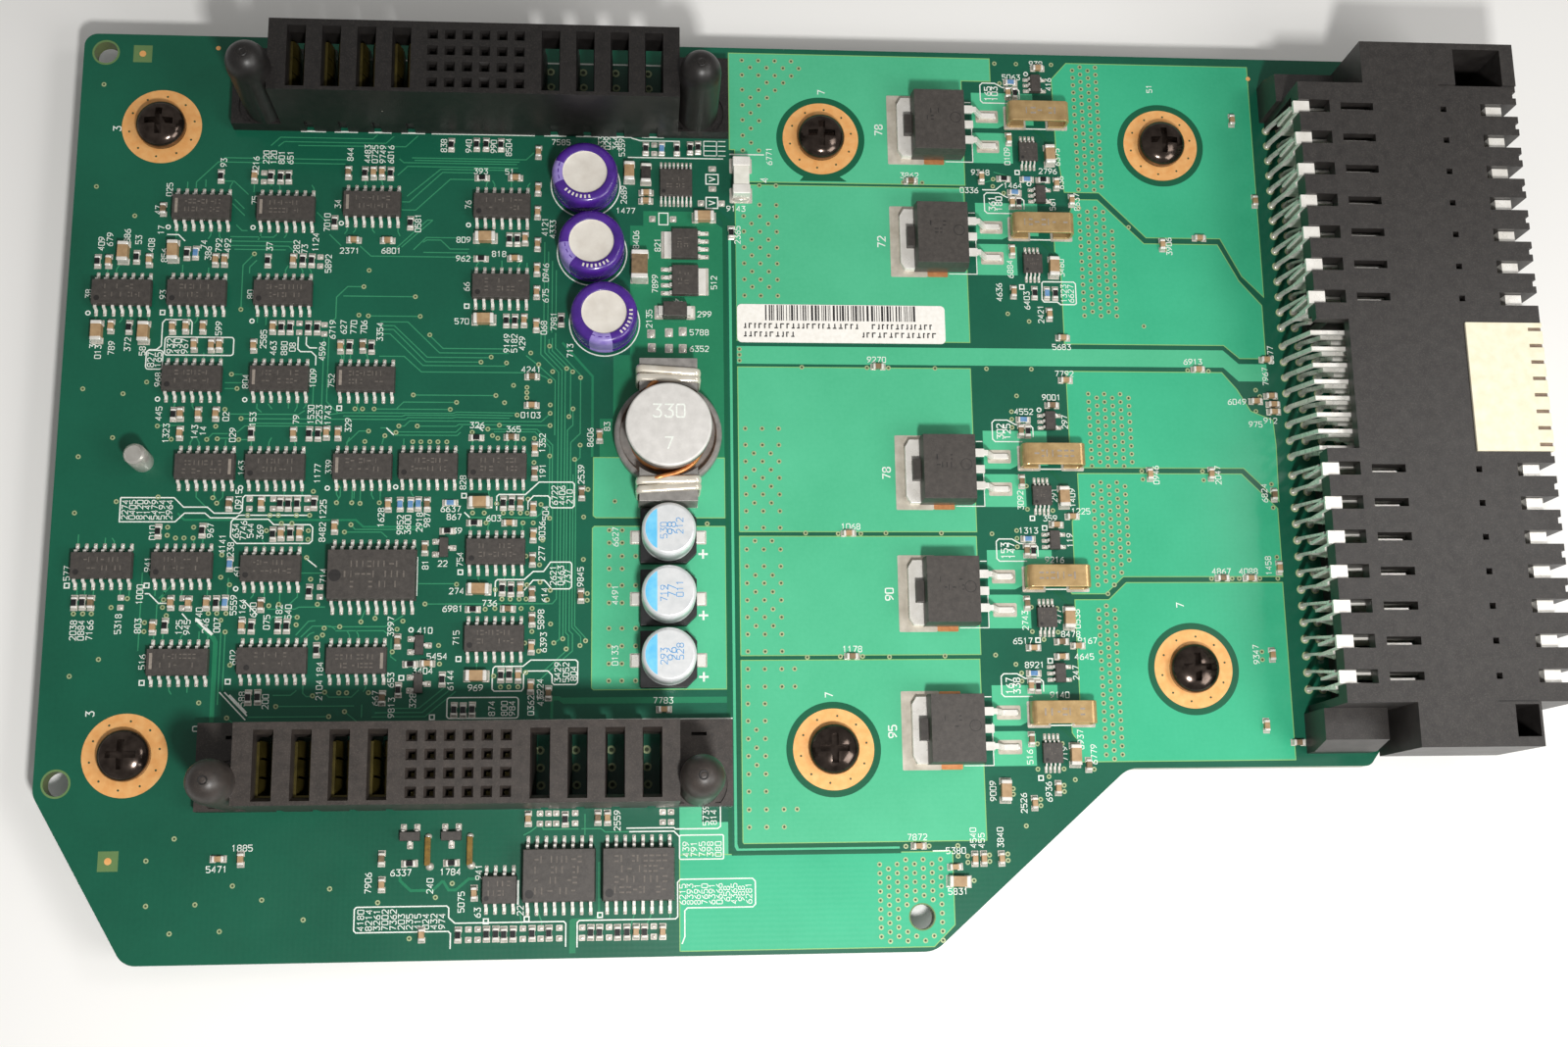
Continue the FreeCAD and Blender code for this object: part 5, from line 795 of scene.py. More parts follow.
# ---- fine runs
TRACES = [
    [(-34.3, 45.5), (-32.9, 46.9), (-19.0, 46.9), (-18.3, 47.6)], [(-33.2, 45.4), (-32.3, 46.2), (-17.0, 46.2), (-15.8, 47.4)], [(-30.2, 45.6), (-14.0, 45.7), (-12.2, 47.5)],
    [(-41.2, 43.4), (-22.0, 43.4)], [(-45.1, 38.4), (-45.1, 39.4), (-42.0, 42.7), (-23.0, 42.7)], [(-41.4, 39.6), (-39.5, 39.6), (-37.3, 37.5)],
    [(-39.6, 36.0), (-37.7, 34.1)], [(-39.3, 36.7), (-37.8, 35.2)], [(-38.9, 32.6), (-38.0, 31.7), (-37.2, 31.7)],
    [(-39.7, 30.7), (-33.3, 30.7), (-32.8, 31.2)], [(-40.0, 30.0), (-30.0, 30.0)], [(-40.0, 29.3), (-31.0, 29.3), (-30.2, 28.5)], [(-39.0, 28.7), (-31.4, 28.7)],
    [(-25.0, 31.3), (-23.2, 29.5)], [(-27.0, 34.8), (-25.4, 33.2)], [(-43.7, 39.8), (-43.7, 38.6)], [(-36.5, 39.2), (-36.5, 37.9)], [(-33.9, 39.3), (-33.9, 38.2)],
    [(-14.9, 43.7), (-14.2, 43.1), (3.0, 43.1)], [(-13.0, 43.9), (4.4, 43.9), (5.6, 45.1)], [(-12.6, 43.5), (3.4, 43.5)], [(-15.1, 41.0), (-13.6, 42.5), (3.2, 42.5)],
    [(-14.3, 36.7), (-13.2, 36.7), (-8.3, 41.6), (-3.6, 41.6)], [(-14.3, 35.4), (-12.2, 35.4), (-7.1, 40.5), (-3.2, 40.5)], [(-13.6, 37.6), (-8.6, 42.1), (2.0, 42.1)],
    [(-14.2, 29.4), (-9.6, 33.8)], [(-15.2, 29.0), (-10.4, 33.8), (-9.6, 33.8)], [(-12.4, 29.0), (-10.5, 31.0), (-4.0, 31.0)], [(-11.0, 30.2), (-10.4, 30.6), (-8.3, 30.6), (-6.9, 29.2), (-4.0, 29.2)],
    [(-36.0, 28.0), (-37.6, 26.2), (-37.6, 19.3)], [(-35.6, 27.0), (-36.6, 25.9), (-36.6, 24.9)], [(-19.6, 23.0), (-22.0, 23.0), (-23.6, 21.3), (-23.6, 18.0), (-24.4, 17.2)],
    [(-22.6, 21.5), (-11.9, 21.5)], [(-38.5, 9.1), (-36.9, 9.1)], [(-39.4, 7.8), (-37.0, 7.8)], [(-39.4, 6.9), (-37.6, 6.9)],
    [(-38.4, 3.0), (-28.5, 3.0), (-27.6, 3.6)], [(-37.0, 2.3), (-24.0, 2.3)], [(-35.5, 1.6), (-24.0, 1.6)], [(-37.3, 0.2), (-36.2, 1.2), (-27.0, 1.2)],
    [(-41.6, -0.9), (-40.8, 0.0), (-38.6, 0.0)], [(-40.0, -0.7), (-38.4, -0.7)], [(-37.0, -0.9), (-35.4, -0.9)], [(-48.8, 1.2), (-45.4, 1.2)],
    [(-25.2, 14.8), (-25.2, 4.0), (-24.0, 3.0)], [(-26.5, 10.2), (-26.5, 4.5)], [(-24.5, 15.0), (-24.5, 5.0), (-22.8, 3.3)],
    [(-20.4, 29.5), (-18.7, 27.9), (-3.2, 27.9)], [(-10.9, 28.6), (-4.2, 28.6)], [(-18.8, 18.4), (-11.1, 18.4)],
    [(-9.7, 15.5), (-7.6, 13.4), (2.2, 13.4)], [(-17.0, 17.5), (-12.9, 17.5), (-8.1, 12.7), (2.2, 12.7)], [(-17.0, 16.9), (-14.9, 16.9), (-9.9, 12.0), (-0.4, 12.0)],
    [(-17.0, 16.3), (-15.0, 16.3), (-10.1, 11.3), (-1.9, 11.3)], [(-17.0, 15.6), (-15.5, 15.6), (-10.5, 10.7), (1.6, 10.7), (1.9, 11.1)], [(-17.0, 12.1), (-13.3, 12.1), (-10.7, 9.7), (6.2, 9.7), (7.8, 9.0), (8.5, 8.4)],
    [(-11.8, 6.1), (0.3, 6.1)], [(-17.6, 3.9), (-6.4, 3.9)], [(-14.2, 4.0), (-13.2, 5.0), (-5.5, 5.0)],
    [(-24.0, 3.0), (-22.0, 3.3), (-6.0, 3.3), (-5.4, 3.5), (3.5, 3.4)], [(-22.0, 2.8), (-13.4, 2.8), (-12.9, 3.0), (-5.8, 3.0), (-5.4, 3.1), (3.0, 3.0)],
    [(-24.0, 2.3), (-12.9, 2.3), (-12.5, 2.6), (-6.0, 2.6), (-5.5, 2.7), (2.5, 2.6)], [(-13.6, 1.3), (-13.0, 1.3), (-12.2, 2.1), (7.2, 2.1), (8.5, 3.3)],
    [(-11.0, 1.3), (-5.4, 1.3), (-5.0, 1.6), (8.4, 1.5)], [(-16.5, 1.0), (-15.6, 1.0), (-14.6, 0.4), (-5.4, 0.4), (-4.4, 1.4)], [(-14.4, -0.1), (-5.2, -0.1), (-4.7, 0.4)],
    [(-18.2, 0.5), (-19.6, 0.5), (-21.4, -1.4)], [(-15.9, -0.3), (-16.2, -1.5)], [(-1.2, 0.9), (6.6, 0.9), (8.9, -1.5), (8.9, -9.0)], [(0.2, 0.5), (6.3, 0.5), (8.5, -1.8), (8.5, -4.0)],
    [(4.8, 12.4), (6.6, 10.9), (9.2, 8.5), (9.2, 0.0)], [(7.0, 16.0), (7.0, 12.6), (9.7, 9.8), (9.7, -8.0)], [(7.6, 16.0), (7.6, 12.9), (10.2, 10.1), (10.2, -8.0)],
    [(8.2, 15.0), (8.2, 13.0), (10.7, 10.4), (10.7, -8.0)], [(8.7, 15.2), (8.7, 13.2), (11.5, 10.3), (11.5, 2.9)], [(9.2, 16.0), (9.2, 13.6), (13.0, 9.4), (13.0, 0.3), (11.6, -1.1), (11.6, -8.0)],
    [(11.9, 4.1), (11.9, 1.6), (11.1, 0.8), (11.1, -8.0)], [(13.0, -1.5), (13.0, -3.4), (12.4, -4.0)], [(7.4, 30.5), (7.4, 16.0)], [(8.0, 29.0), (8.0, 16.0)], [(8.6, 27.5), (8.6, 16.0)], [(9.2, 26.0), (9.2, 16.4)],
    [(12.4, -4.0), (12.4, -28.8), (14.0, -30.6), (14.0, -31.0)], [(12.0, -6.0), (12.0, -29.0), (13.3, -30.4), (13.3, -31.5)], [(11.6, -8.0), (11.6, -29.5), (12.1, -30.0), (12.1, -32.5), (9.0, -35.2), (7.2, -36.9), (7.2, -38.0)],
    [(11.1, -8.0), (11.1, -29.8), (11.5, -30.2), (11.5, -32.2), (8.0, -35.4)], [(10.7, -8.0), (10.7, -30.5)], [(10.2, -8.0), (10.2, -30.8), (9.4, -31.3)], [(9.7, -8.0), (9.7, -24.8), (9.1, -25.5), (-9.2, -25.5)],
    [(9.0, -9.0), (9.0, -22.0)], [(8.5, -4.0), (8.5, -12.5)], [(-10.4, -22.5), (-4.9, -22.5)], [(-23.0, -28.8), (-14.9, -28.8), (-12.4, -27.2)], [(-22.0, -29.4), (-15.1, -29.4), (-14.4, -30.0)],
    [(-14.0, -30.5), (-14.0, -33.2), (-13.2, -33.8)], [(-20.2, -13.8), (-19.7, -14.4), (-10.5, -14.4)], [(-21.1, -14.8), (-15.9, -14.8), (-15.0, -15.6)], [(-3.9, -11.8), (-3.2, -12.6), (6.5, -12.6), (7.3, -12.0), (7.6, -11.0)],
    [(-49.7, -20.8), (-49.7, -32.2)], [(-38.2, -29.5), (-38.2, -40.0)], [(-37.6, -29.5), (-37.6, -38.0)], [(-27.2, -20.9), (-23.5, -20.9)], [(-31.8, -26.2), (-27.9, -26.2), (-27.3, -25.9), (-23.6, -25.9)],
    [(-31.5, -28.0), (-31.0, -27.3), (-27.5, -27.3)], [(-27.6, -30.0), (-25.9, -28.0), (-24.9, -27.9)], [(-26.9, -30.3), (-25.3, -28.7), (-22.7, -28.7), (-22.0, -29.2)], [(-26.1, -30.3), (-25.6, -29.8), (-25.0, -29.6)],
    [(-30.5, -38.7), (-28.0, -38.7), (-27.2, -38.0)], [(-26.3, -37.0), (-26.3, -38.4), (-25.8, -38.9), (-24.9, -38.9)], [(-23.3, -38.3), (-22.6, -39.0), (-19.4, -39.0), (-18.4, -38.0)], [(-29.9, -40.3), (-19.0, -40.3)],
    [(-33.8, -41.8), (-22.4, -41.8)], [(-36.8, -41.9), (-36.0, -42.6)], [(-20.3, -41.1), (-18.6, -42.5)], [(-17.9, -40.1), (-17.9, -42.0)], [(-16.5, -41.9), (-8.9, -41.9), (-4.6, -38.3)],
    [(-16.0, -41.3), (-9.3, -41.3), (-5.5, -38.1)], [(-13.5, -40.7), (-9.8, -40.7), (-6.2, -37.7)], [(-46.5, -24.6), (-47.4, -25.6), (-47.4, -29.0)], [(-42.7, -7.6), (-42.7, -9.6), (-41.0, -11.3)],
    [(-38.9, -7.8), (-38.9, -9.6), (-39.6, -10.4)], [(-22.0, -8.0), (-22.0, -9.4), (-22.6, -10.4)], [(-20.3, -8.0), (-20.3, -10.3)], [(-19.1, -8.0), (-19.1, -10.4)], [(-16.2, -8.0), (-16.2, -10.3)],
    [(-32.3, -22.9), (-32.3, -25.0)], [(-30.1, -22.9), (-30.1, -25.4)], [(-27.6, -22.9), (-27.6, -24.4), (-28.8, -25.6)], [(-58.7, -22.9), (-58.7, -24.6)], [(-57.6, -22.9), (-57.6, -24.6)], [(-56.4, -22.9), (-56.4, -24.4)],
    [(-17.8, -26.3), (-18.4, -27.8)], [(-16.4, -26.4), (-16.4, -27.4)], [(-40.4, -22.6), (-40.4, -24.8)], [(-44.0, -22.6), (-44.0, -24.2)], [(-45.4, -22.6), (-47.2, -24.6)], [(-37.5, -21.6), (-37.5, -24.6)],
    [(5.4, -58.9), (6.4, -58.4), (7.4, -57.6)], [(8.0, -57.6), (8.2, -58.1), (13.2, -58.1)], [(13.6, -58.1), (16.4, -58.1), (17.0, -58.6), (20.6, -58.6)], [(14.1, -59.0), (14.1, -56.0)],
    [(7.5, -69.4), (8.1, -71.0), (8.1, -71.9)], [(5.0, -69.4), (5.4, -71.9)], [(21.4, -69.4), (20.6, -71.9)], [(23.8, -69.4), (23.4, -70.6), (22.8, -71.8)], [(26.2, -69.6), (26.2, -71.0)],
    [(75.0, 41.2), (77.8, 42.0), (79.0, 42.0)], [(77.4, 43.2), (79.6, 42.6)], [(-23.0, 14.6), (-22.2, 13.6), (-22.2, 11.4)], [(-34.6, 4.6), (-34.6, 3.9), (-33.9, 3.3)], [(-33.0, 4.6), (-32.4, 3.8)],
]
fine = Build("copper_runs", ["trace"])
for pts in TRACES:
    fine.line(at(pts), 0.17, LOW, Z_TRACE, "trace")
# short stubs from each lead row of the small packages to their neighbours
for x, y, a in SOIC14:
    for i in range(7):
        if RNG.random() < 0.62:
            px = x - 3.81 + 1.27 * i
            s = RNG.choice((-1, 1))
            ln = RNG.uniform(0.5, 1.1)
            fine.line([(px, y + s * 3.3), (px, y + s * (3.5 + ln * 0.5)), (px + RNG.choice((-0.35, 0.0, 0.35)), y + s * (3.7 + ln))], 0.17, LOW, Z_TRACE, "trace")
fine.done()

# ---- dark lines and clearances
dark = Build("clearance_lines", ["gap"])
GAPS = [([(34.9, 35.2), (34.9, -60.8), (35.3, -61.9), (59.6, -61.9)], 0.55), ([(36.3, 33.8), (36.3, -60.4), (36.7, -60.9), (67.0, -60.9)], 0.6),
        ([(33.2, 36.4), (34.0, 35.4), (36.3, 33.4)], 0.9)]
for pts, w in GAPS:
    dark.line(at(pts), w, LOW, Z_GAP, "gap")
RING_SCREWS = [(-50.4, 47.7), (-50.4, -47.7), (50.4, 47.7), (50.4, -47.7), (104.8, 47.6), (104.8, -36.2)]
for x, y in RING_SCREWS[2:]:
    dark.ring(x, y, 5.6, 6.95, LOW, Z_GAP, "gap", 64)
dark.prism([(47.0, 40.6), (54.4, 40.6), (53.0, 41.6), (53.0, 41.9), (47.8, 41.9), (47.8, 41.6)], LOW, Z_GAP, "gap")
# shade of bare laminate under each channel's small parts
for yq, dx in CHANNELS:
    dark.line(at([(84.2 + dx, yq + 0.6), (85.2 + dx, yq - 0.3), (87.2 + dx, yq - 2.4)]), 0.6, LOW, Z_GAP, "gap")
dark.done()

# ---- gold rings with their drilled dots
rings = Build("screw_rings", ["gold", "hole"])
for k, (x, y) in enumerate(RING_SCREWS):
    rings.ring(x, y, 2.0, 5.95, LOW, Z_PAD, "gold", 96)
    for i in range(10):
        a = 2 * math.pi * (i + 0.3) / 10
        rings.disc(x + 4.9 * math.cos(a), y + 4.9 * math.sin(a), 0.17, LOW, Z_PAD + 0.006, "hole", 10)
for x, y in at([(-54.2, 60.2), (-52.1, -61.8)]):
    rings.disc(x, y, 0.5, LOW, Z_PAD, "gold", 20)
for x, y in at([(-42.9, 61.4), (119.7, 60.0)]):
    rings.disc(x, y, 0.36, LOW, Z_PAD, "gold", 16)
rings.done()
fid = Build("fiducial_windows", ["fid"])
for x, y in at([(-54.2, 60.2), (-52.1, -61.8)]):
    fid.box(x - 1.4, x + 1.4, y - 1.4, y + 1.4, LOW, Z_POUR, "fid")
for x, y in ((-59.42, 59.72), (-59.62, -51.58)):
    fid.ring(x, y, 1.76, 2.05, LOW, Z_POUR, "fid", 40)
fid.ring(62.68, -71.78, 1.76, 1.95, LOW, Z_POUR + 0.004, "fid", 40)
fid.done()

# ---- vias
VIAS = [(-59.7, 55.0), (-59.8, 38.4), (-53.9, 33.8), (-59.8, 6.7), (-55.1, -0.7), (-59.8, -3.6), (-50.7, 7.8), (-54.0, 6.0), (-37.6, 19.2), (-36.0, 28.0), (-38.5, 9.1), (-37.6, 6.9),
        (-36.8, 2.3), (-41.6, -0.9), (-40.1, -0.8), (-37.0, -0.9), (-40.4, 1.1), (-39.2, 3.7), (-48.8, 1.1), (-46.7, -0.9), (-18.9, 25.6), (-19.6, 23.0), (-11.9, 21.5), (-11.1, 18.4),
        (-18.8, 18.4), (-20.2, 18.5), (-9.6, 15.5), (-0.4, 12.1), (-1.9, 11.3), (1.9, 11.2), (6.7, 11.0), (5.5, 12.8), (8.3, 13.9), (-11.8, 6.1), (0.4, 6.1), (-5.4, 5.0), (1.7, 5.0),
        (3.0, 7.7), (5.0, 7.4), (5.0, 6.6), (5.0, 5.8), (-6.3, 3.9), (3.6, 3.1), (8.5, 3.4), (8.5, 4.7), (8.5, 1.5), (11.3, 2.9), (11.9, 4.1), (10.9, 10.4), (11.8, 9.9), (13.0, 9.0), (8.4, 8.4),
        (8.8, 9.9), (-13.8, 1.3), (-11.1, 1.3), (-14.2, 0.3), (-18.2, 0.5), (-15.8, -0.2), (1.0, 1.5), (-0.7, 0.9), (0.0, -0.1), (-3.0, 0.4), (-17.5, 3.9), (-20.3, 3.9), (-19.2, 3.9),
        (-18.7, -1.1), (-11.7, -1.1), (-10.5, -1.1), (-9.2, -1.1), (-8.0, -1.1), (-6.7, -1.1), (0.8, -0.5), (4.6, -0.6), (6.2, -0.5), (13.0, -1.5), (12.2, -3.7), (8.5, -3.2), (6.2, -4.2),
        (-59.8, -12.0), (-54.0, -10.3), (-48.1, -9.6), (-40.3, -9.7), (-39.7, -10.5), (-55.1, -33.4), (-59.0, -35.8), (-36.7, -34.3), (-40.8, -39.7), (18.2, -10.1), (13.6, -12.5), (13.6, -18.9),
        (8.6, -12.7), (8.8, -23.5), (8.9, -28.5), (8.4, -24.9), (9.4, -31.3), (10.7, -30.7), (11.2, -32.2), (13.2, -31.7), (14.0, -31.0), (-43.2, -58.8), (-46.9, -61.8), (-34.9, -65.4),
        (-46.6, -68.0), (-39.9, -67.9), (-21.5, -66.0), (-43.2, -71.8), (-36.4, -71.6), (-10.3, -73.0), (-14.8, -68.0), (-6.8, -67.4), (-4.5, -65.5), (-25.0, -70.2), (-30.8, -67.4),
        (85.7, -51.9), (78.1, -58.5), (67.9, -61.2), (67.9, -62.7), (46.5, 10.9), (67.0, 10.9), (75.0, 10.9), (82.0, 10.9), (56.5, 10.9), (59.8, 10.9), (46.6, -14.9), (58.7, -14.9), (67.1, -14.9),
        (74.8, -15.0), (51.5, -15.0), (54.9, -15.0), (46.5, -33.6), (58.7, -33.6), (67.0, -33.5), (74.6, -33.4), (51.4, -33.5), (54.7, -33.5), (78.7, 19.8), (82.0, 18.6), (79.5, 6.6), (78.6, 4.1),
        (78.6, 2.9), (78.6, 1.6), (100.1, 18.0), (37.0, 13.7), (37.0, 12.8), (37.0, 11.9), (60.3, -61.2), (63.7, -61.2), (31.9, -13.5), (-21.2, -14.8), (-20.3, -13.7), (-9.3, -25.5), (-4.8, -22.6),
        (-7.2, -31.6), (-13.8, -32.5), (-7.0, -34.3), (-21.2, -38.4), (-20.1, -38.4), (-17.0, -38.4), (-23.2, -38.3), (-24.9, -38.8), (-30.0, -40.3), (-36.8, -41.9), (-20.3, -41.1), (-22.5, -41.8),
        (1.8, -11.9), (3.0, -11.9), (4.3, -11.9), (5.3, -11.9), (1.8, -24.8), (3.0, -24.8), (4.3, -24.8), (5.3, -24.8), (1.8, -37.7), (3.0, -37.7), (4.3, -37.7), (0.8, -10.5), (0.8, -23.4), (0.8, -36.1),
        (5.4, -9.8), (5.4, -22.7), (5.4, -35.6), (7.3, -10.6), (7.3, -22.3), (5.2, -18.4), (5.2, -31.3), (7.2, -19.7), (7.2, -32.5), (6.2, -13.4), (6.2, -26.2), (6.2, -29.6), (7.6, -16.0), (-0.7, -13.4),
        (-0.6, -26.3), (0.8, -26.2), (4.6, -26.2), (4.7, -13.4), (-2.7, -11.9), (-1.0, -11.9), (14.2, -8.3), (14.2, -24.0), (14.2, -25.0), (92.1, -24.2), (98.6, 34.3), (104.2, 30.6), (106.6, 10.9),
        (109.9, 10.8), (98.4, -5.2), (98.5, -6.5), (107.9, -5.2), (108.0, -6.6), (108.2, -21.9), (111.4, -21.9), (112.5, -21.9), (115.7, -21.9), (118.5, -21.9), (118.6, -7.2), (118.6, -10.9), (118.6, -18.6),
        (115.2, -33.1), (115.2, -34.3), (117.2, 7.8), (117.8, 6.8), (117.0, 4.4), (63.0, 41.2), (66.0, 41.2), (78.3, 61.7), (81.8, 61.7), (87.5, 61.7), (79.0, 58.3), (78.9, 39.7), (77.3, 42.0), (77.2, 40.8),
        (78.6, -14.5), (78.6, -15.7), (78.6, -17.0), (77.6, -34.8), (78.4, -36.1), (78.4, -37.3), (80.4, -7.6), (80.4, -11.2), (84.3, -11.4), (80.3, -26.2), (80.3, -29.9), (84.2, -26.4), (84.2, -30.0),
        (82.0, -31.1), (80.2, -50.3), (84.1, -50.3), (81.8, -51.4), (80.3, -46.6), (84.0, -46.6), (76.4, -53.1), (76.4, -53.9), (80.4, -54.7), (80.4, -55.6), (84.0, -52.7), (84.0, -53.6), (88.6, -50.4),
        (69.3, -62.7), (69.3, -63.6), (72.5, -62.6), (72.5, -63.5), (75.2, -62.5), (75.2, -63.4), (70.1, -66.2), (-57.0, -24.6), (-51.6, -24.6), (-53.8, -25.9), (-59.0, -26.8), (-57.7, -26.8), (-56.5, -26.8),
        (-46.5, -14.1), (-46.5, -15.3), (-42.8, -14.1), (-45.3, -15.7), (-44.1, -15.7), (-42.8, -15.7), (-38.6, -18.2), (-38.6, -21.5), (-37.3, -22.6), (-40.1, -26.8), (-38.9, -26.8), (-37.6, -26.8),
        (-38.3, -27.8), (-37.6, -29.5), (-49.0, -28.1), (-49.0, -29.4), (-46.0, -27.1), (-46.5, -24.8), (-46.6, -25.9), (-35.2, -12.3), (-32.0, -12.3), (-30.8, -12.3), (-28.2, -12.3), (-26.3, -12.3),
        (-30.3, -13.5), (-28.8, -13.5), (-32.4, -14.6), (-26.4, -14.6), (-26.4, -15.9), (-31.6, -25.7), (-27.5, -27.4), (-27.6, -28.5), (-30.2, -25.5), (-24.7, -25.5), (-25.8, -21.8), (-26.5, -18.6),
        (-22.5, -8.0), (-25.9, -8.7), (-23.6, -29.0), (-21.4, -28.8), (-23.8, -30.0), (-24.6, -30.4), (-18.4, -28.1), (-16.4, -27.6), (-12.4, -28.0), (-13.2, -29.2), (-22.5, -10.4), (-20.3, -10.4), (-19.1, -10.5), (-16.3, -10.4)]


def via(b, x, y, r=0.36):
    b.ring(x, y, r * 0.48, r, LOW, Z_PAD - 0.004, "via", 14)
    b.disc(x, y, r * 0.5, LOW, Z_PAD - 0.012, "hole", 10)


vias = Build("via_rings", ["via", "hole"])
for x, y in at(VIAS):
    via(vias, x, y)
grid = []
for k, x in enumerate((90.9, 92.15, 93.4, 94.65)):
    y = 61.4 - (0.0 if k % 2 else 0.6)
    while y > 40.2:
        grid.append((x, y))
        y -= 1.27
for k, x in enumerate((90.8, 92.1, 93.4, 94.65, 95.9)):
    y = 37.4 - (0.0 if k % 2 == 0 else 0.6)
    while y > 19.6:
        if not (k == 4 and y > 34.6):
            grid.append((x, y))
        y -= 1.27
for k, x in enumerate((90.7, 92.0, 93.2, 94.45, 95.7, 97.0)):
    y = 7.0 - (0.0 if k % 2 == 0 else 0.62)
    while y > -4.8:
        grid.append((x, y))
        y -= 1.27
for k, x in enumerate((90.65, 91.9, 93.15, 94.4, 95.65)):
    y = -7.6 + (0.0 if k % 2 == 0 else 0.6)
    while y > (-23.4 if k < 3 else (-21.4 if k == 3 else -19.4)):
        grid.append((x, y))
        y -= 1.27
for k, x in enumerate((90.55, 91.75, 93.0)):
    y = -26.7 + (0.0 if k % 2 == 0 else 0.65)
    while y > -49.2:
        grid.append((x, y))
        y -= 1.27
for y0, y1 in ((1.2, -14.5), (-17.4, -33.0)):
    y = y0
    i = 0
    while y > y1:
        for x in (37.75, 40.3, 42.8):
            grid.append((x, y))
        y -= 2.55
for y in (-2.65, -5.2, -7.75, -10.3, -16.1, -21.3, -23.8, -26.4, -28.9):
    for x in (39.0, 41.55):
        grid.append((x, y))
for y in (-35.3, -37.9):
    grid += [(37.7, y), (40.2, y), (42.7, y), (44.6, y)]
for y in (-40.4, -42.9, -45.5, -48.0, -50.6, -53.1, -55.7, -58.2):
    grid += [(37.65, y), (40.15, y)]
grid += [(42.7, -55.7), (44.6, -55.7), (42.7, -58.2), (38.85, -44.2), (38.85, -46.8), (38.85, -49.3)]
for y in (35.2, 32.7, 30.1, 27.5, 24.9, 22.3):
    grid += [(37.9, y), (40.4, y), (43.0, y)]
for y in (34.0, 31.4, 28.8, 26.2, 23.7):
    grid += [(39.1, y), (41.7, y)]
grid += [(40.4, 37.1), (43.0, 37.1), (37.9, 46.1), (40.4, 40.3), (43.0, 40.3), (40.4, 46.1), (39.2, 47.4), (37.9, 48.6), (39.2, 49.8), (37.9, 51.2), (40.5, 51.1), (39.2, 52.4), (37.9, 53.7), (40.5, 53.7), (41.8, 55.0),
         (39.2, 55.0), (37.9, 56.3), (40.5, 56.3), (43.1, 56.3), (41.8, 57.6), (44.4, 57.6), (37.9, 58.8), (40.5, 58.8), (43.1, 58.8), (45.7, 58.8), (39.2, 60.1), (41.8, 60.1), (44.4, 60.1), (46.9, 60.1), (37.9, 61.3), (40.5, 61.3),
         (43.1, 61.3), (45.7, 61.3)]
for k in range(8):
    x = 56.4 + 1.27 * k
    y = -63.1 - (0.62 if k % 2 == 0 else 0.0)
    while y > -74.6:
        if (x - 62.4) ** 2 + (y + 71.2) ** 2 > 2.5 ** 2 and not (k < 2 and y > -63.6):
            grid.append((x, y))
        y -= 1.27
for y in (-14.5, -16.4, -18.4, -20.3, -22.8, -25.4, -29.2, -31.8, -34.4, -36.9):
    grid += [(17.4, y), (19.3, y)]
    if y not in (-14.5, -16.4, -20.3, -25.4):
        grid.append((21.3, y))
for x, y in at(grid):
    via(vias, x, y, 0.37)
vias.done()


# ------------------------------------------------------------------ white print

ink = Build("white_print", ["silk"])


def silk(pts, w=0.2, closed=False):
    ink.line(at(pts), w, LOW, Z_SILK, "silk", closed)


# lines along the two vertical sockets
for x0, x1 in ((-29.9, -26.1), (-24.8, -21.3), (-19.7, -16.2), (-14.7, -11.1), (-10.1, 5.7), (7.1, 10.5), (12.0, 15.4), (17.2, 20.6)):
    silk([(x0, 47.95), (x1, 47.95)], 0.24)
silk([(22.2, 48.0), (25.6, 48.0)], 0.2)
silk([(20.6, 47.8), (22.0, 47.4), (28.0, 47.4), (28.0, 46.9)], 0.16)
silk([(-39.4, -42.7), (-35.7, -42.7)], 0.26)
silk([(-20.0, -42.62), (35.4, -42.5)], 0.2)
# small printed grid beside the upper socket
for x0, x1 in ((31.8, 33.7), (34.0, 35.2)):
    for y in (45.1, 45.9, 46.7, 47.5):
        silk([(x0, y), (x1, y)], 0.12)
silk([(31.8, 45.1), (31.8, 47.5)], 0.12)
silk([(33.8, 45.1), (33.8, 47.5)], 0.12)
silk([(35.8, 45.4), (41.2, 45.4)], 0.18)
silk([(20.0, 44.6), (34.8, 44.6)], 0.16)

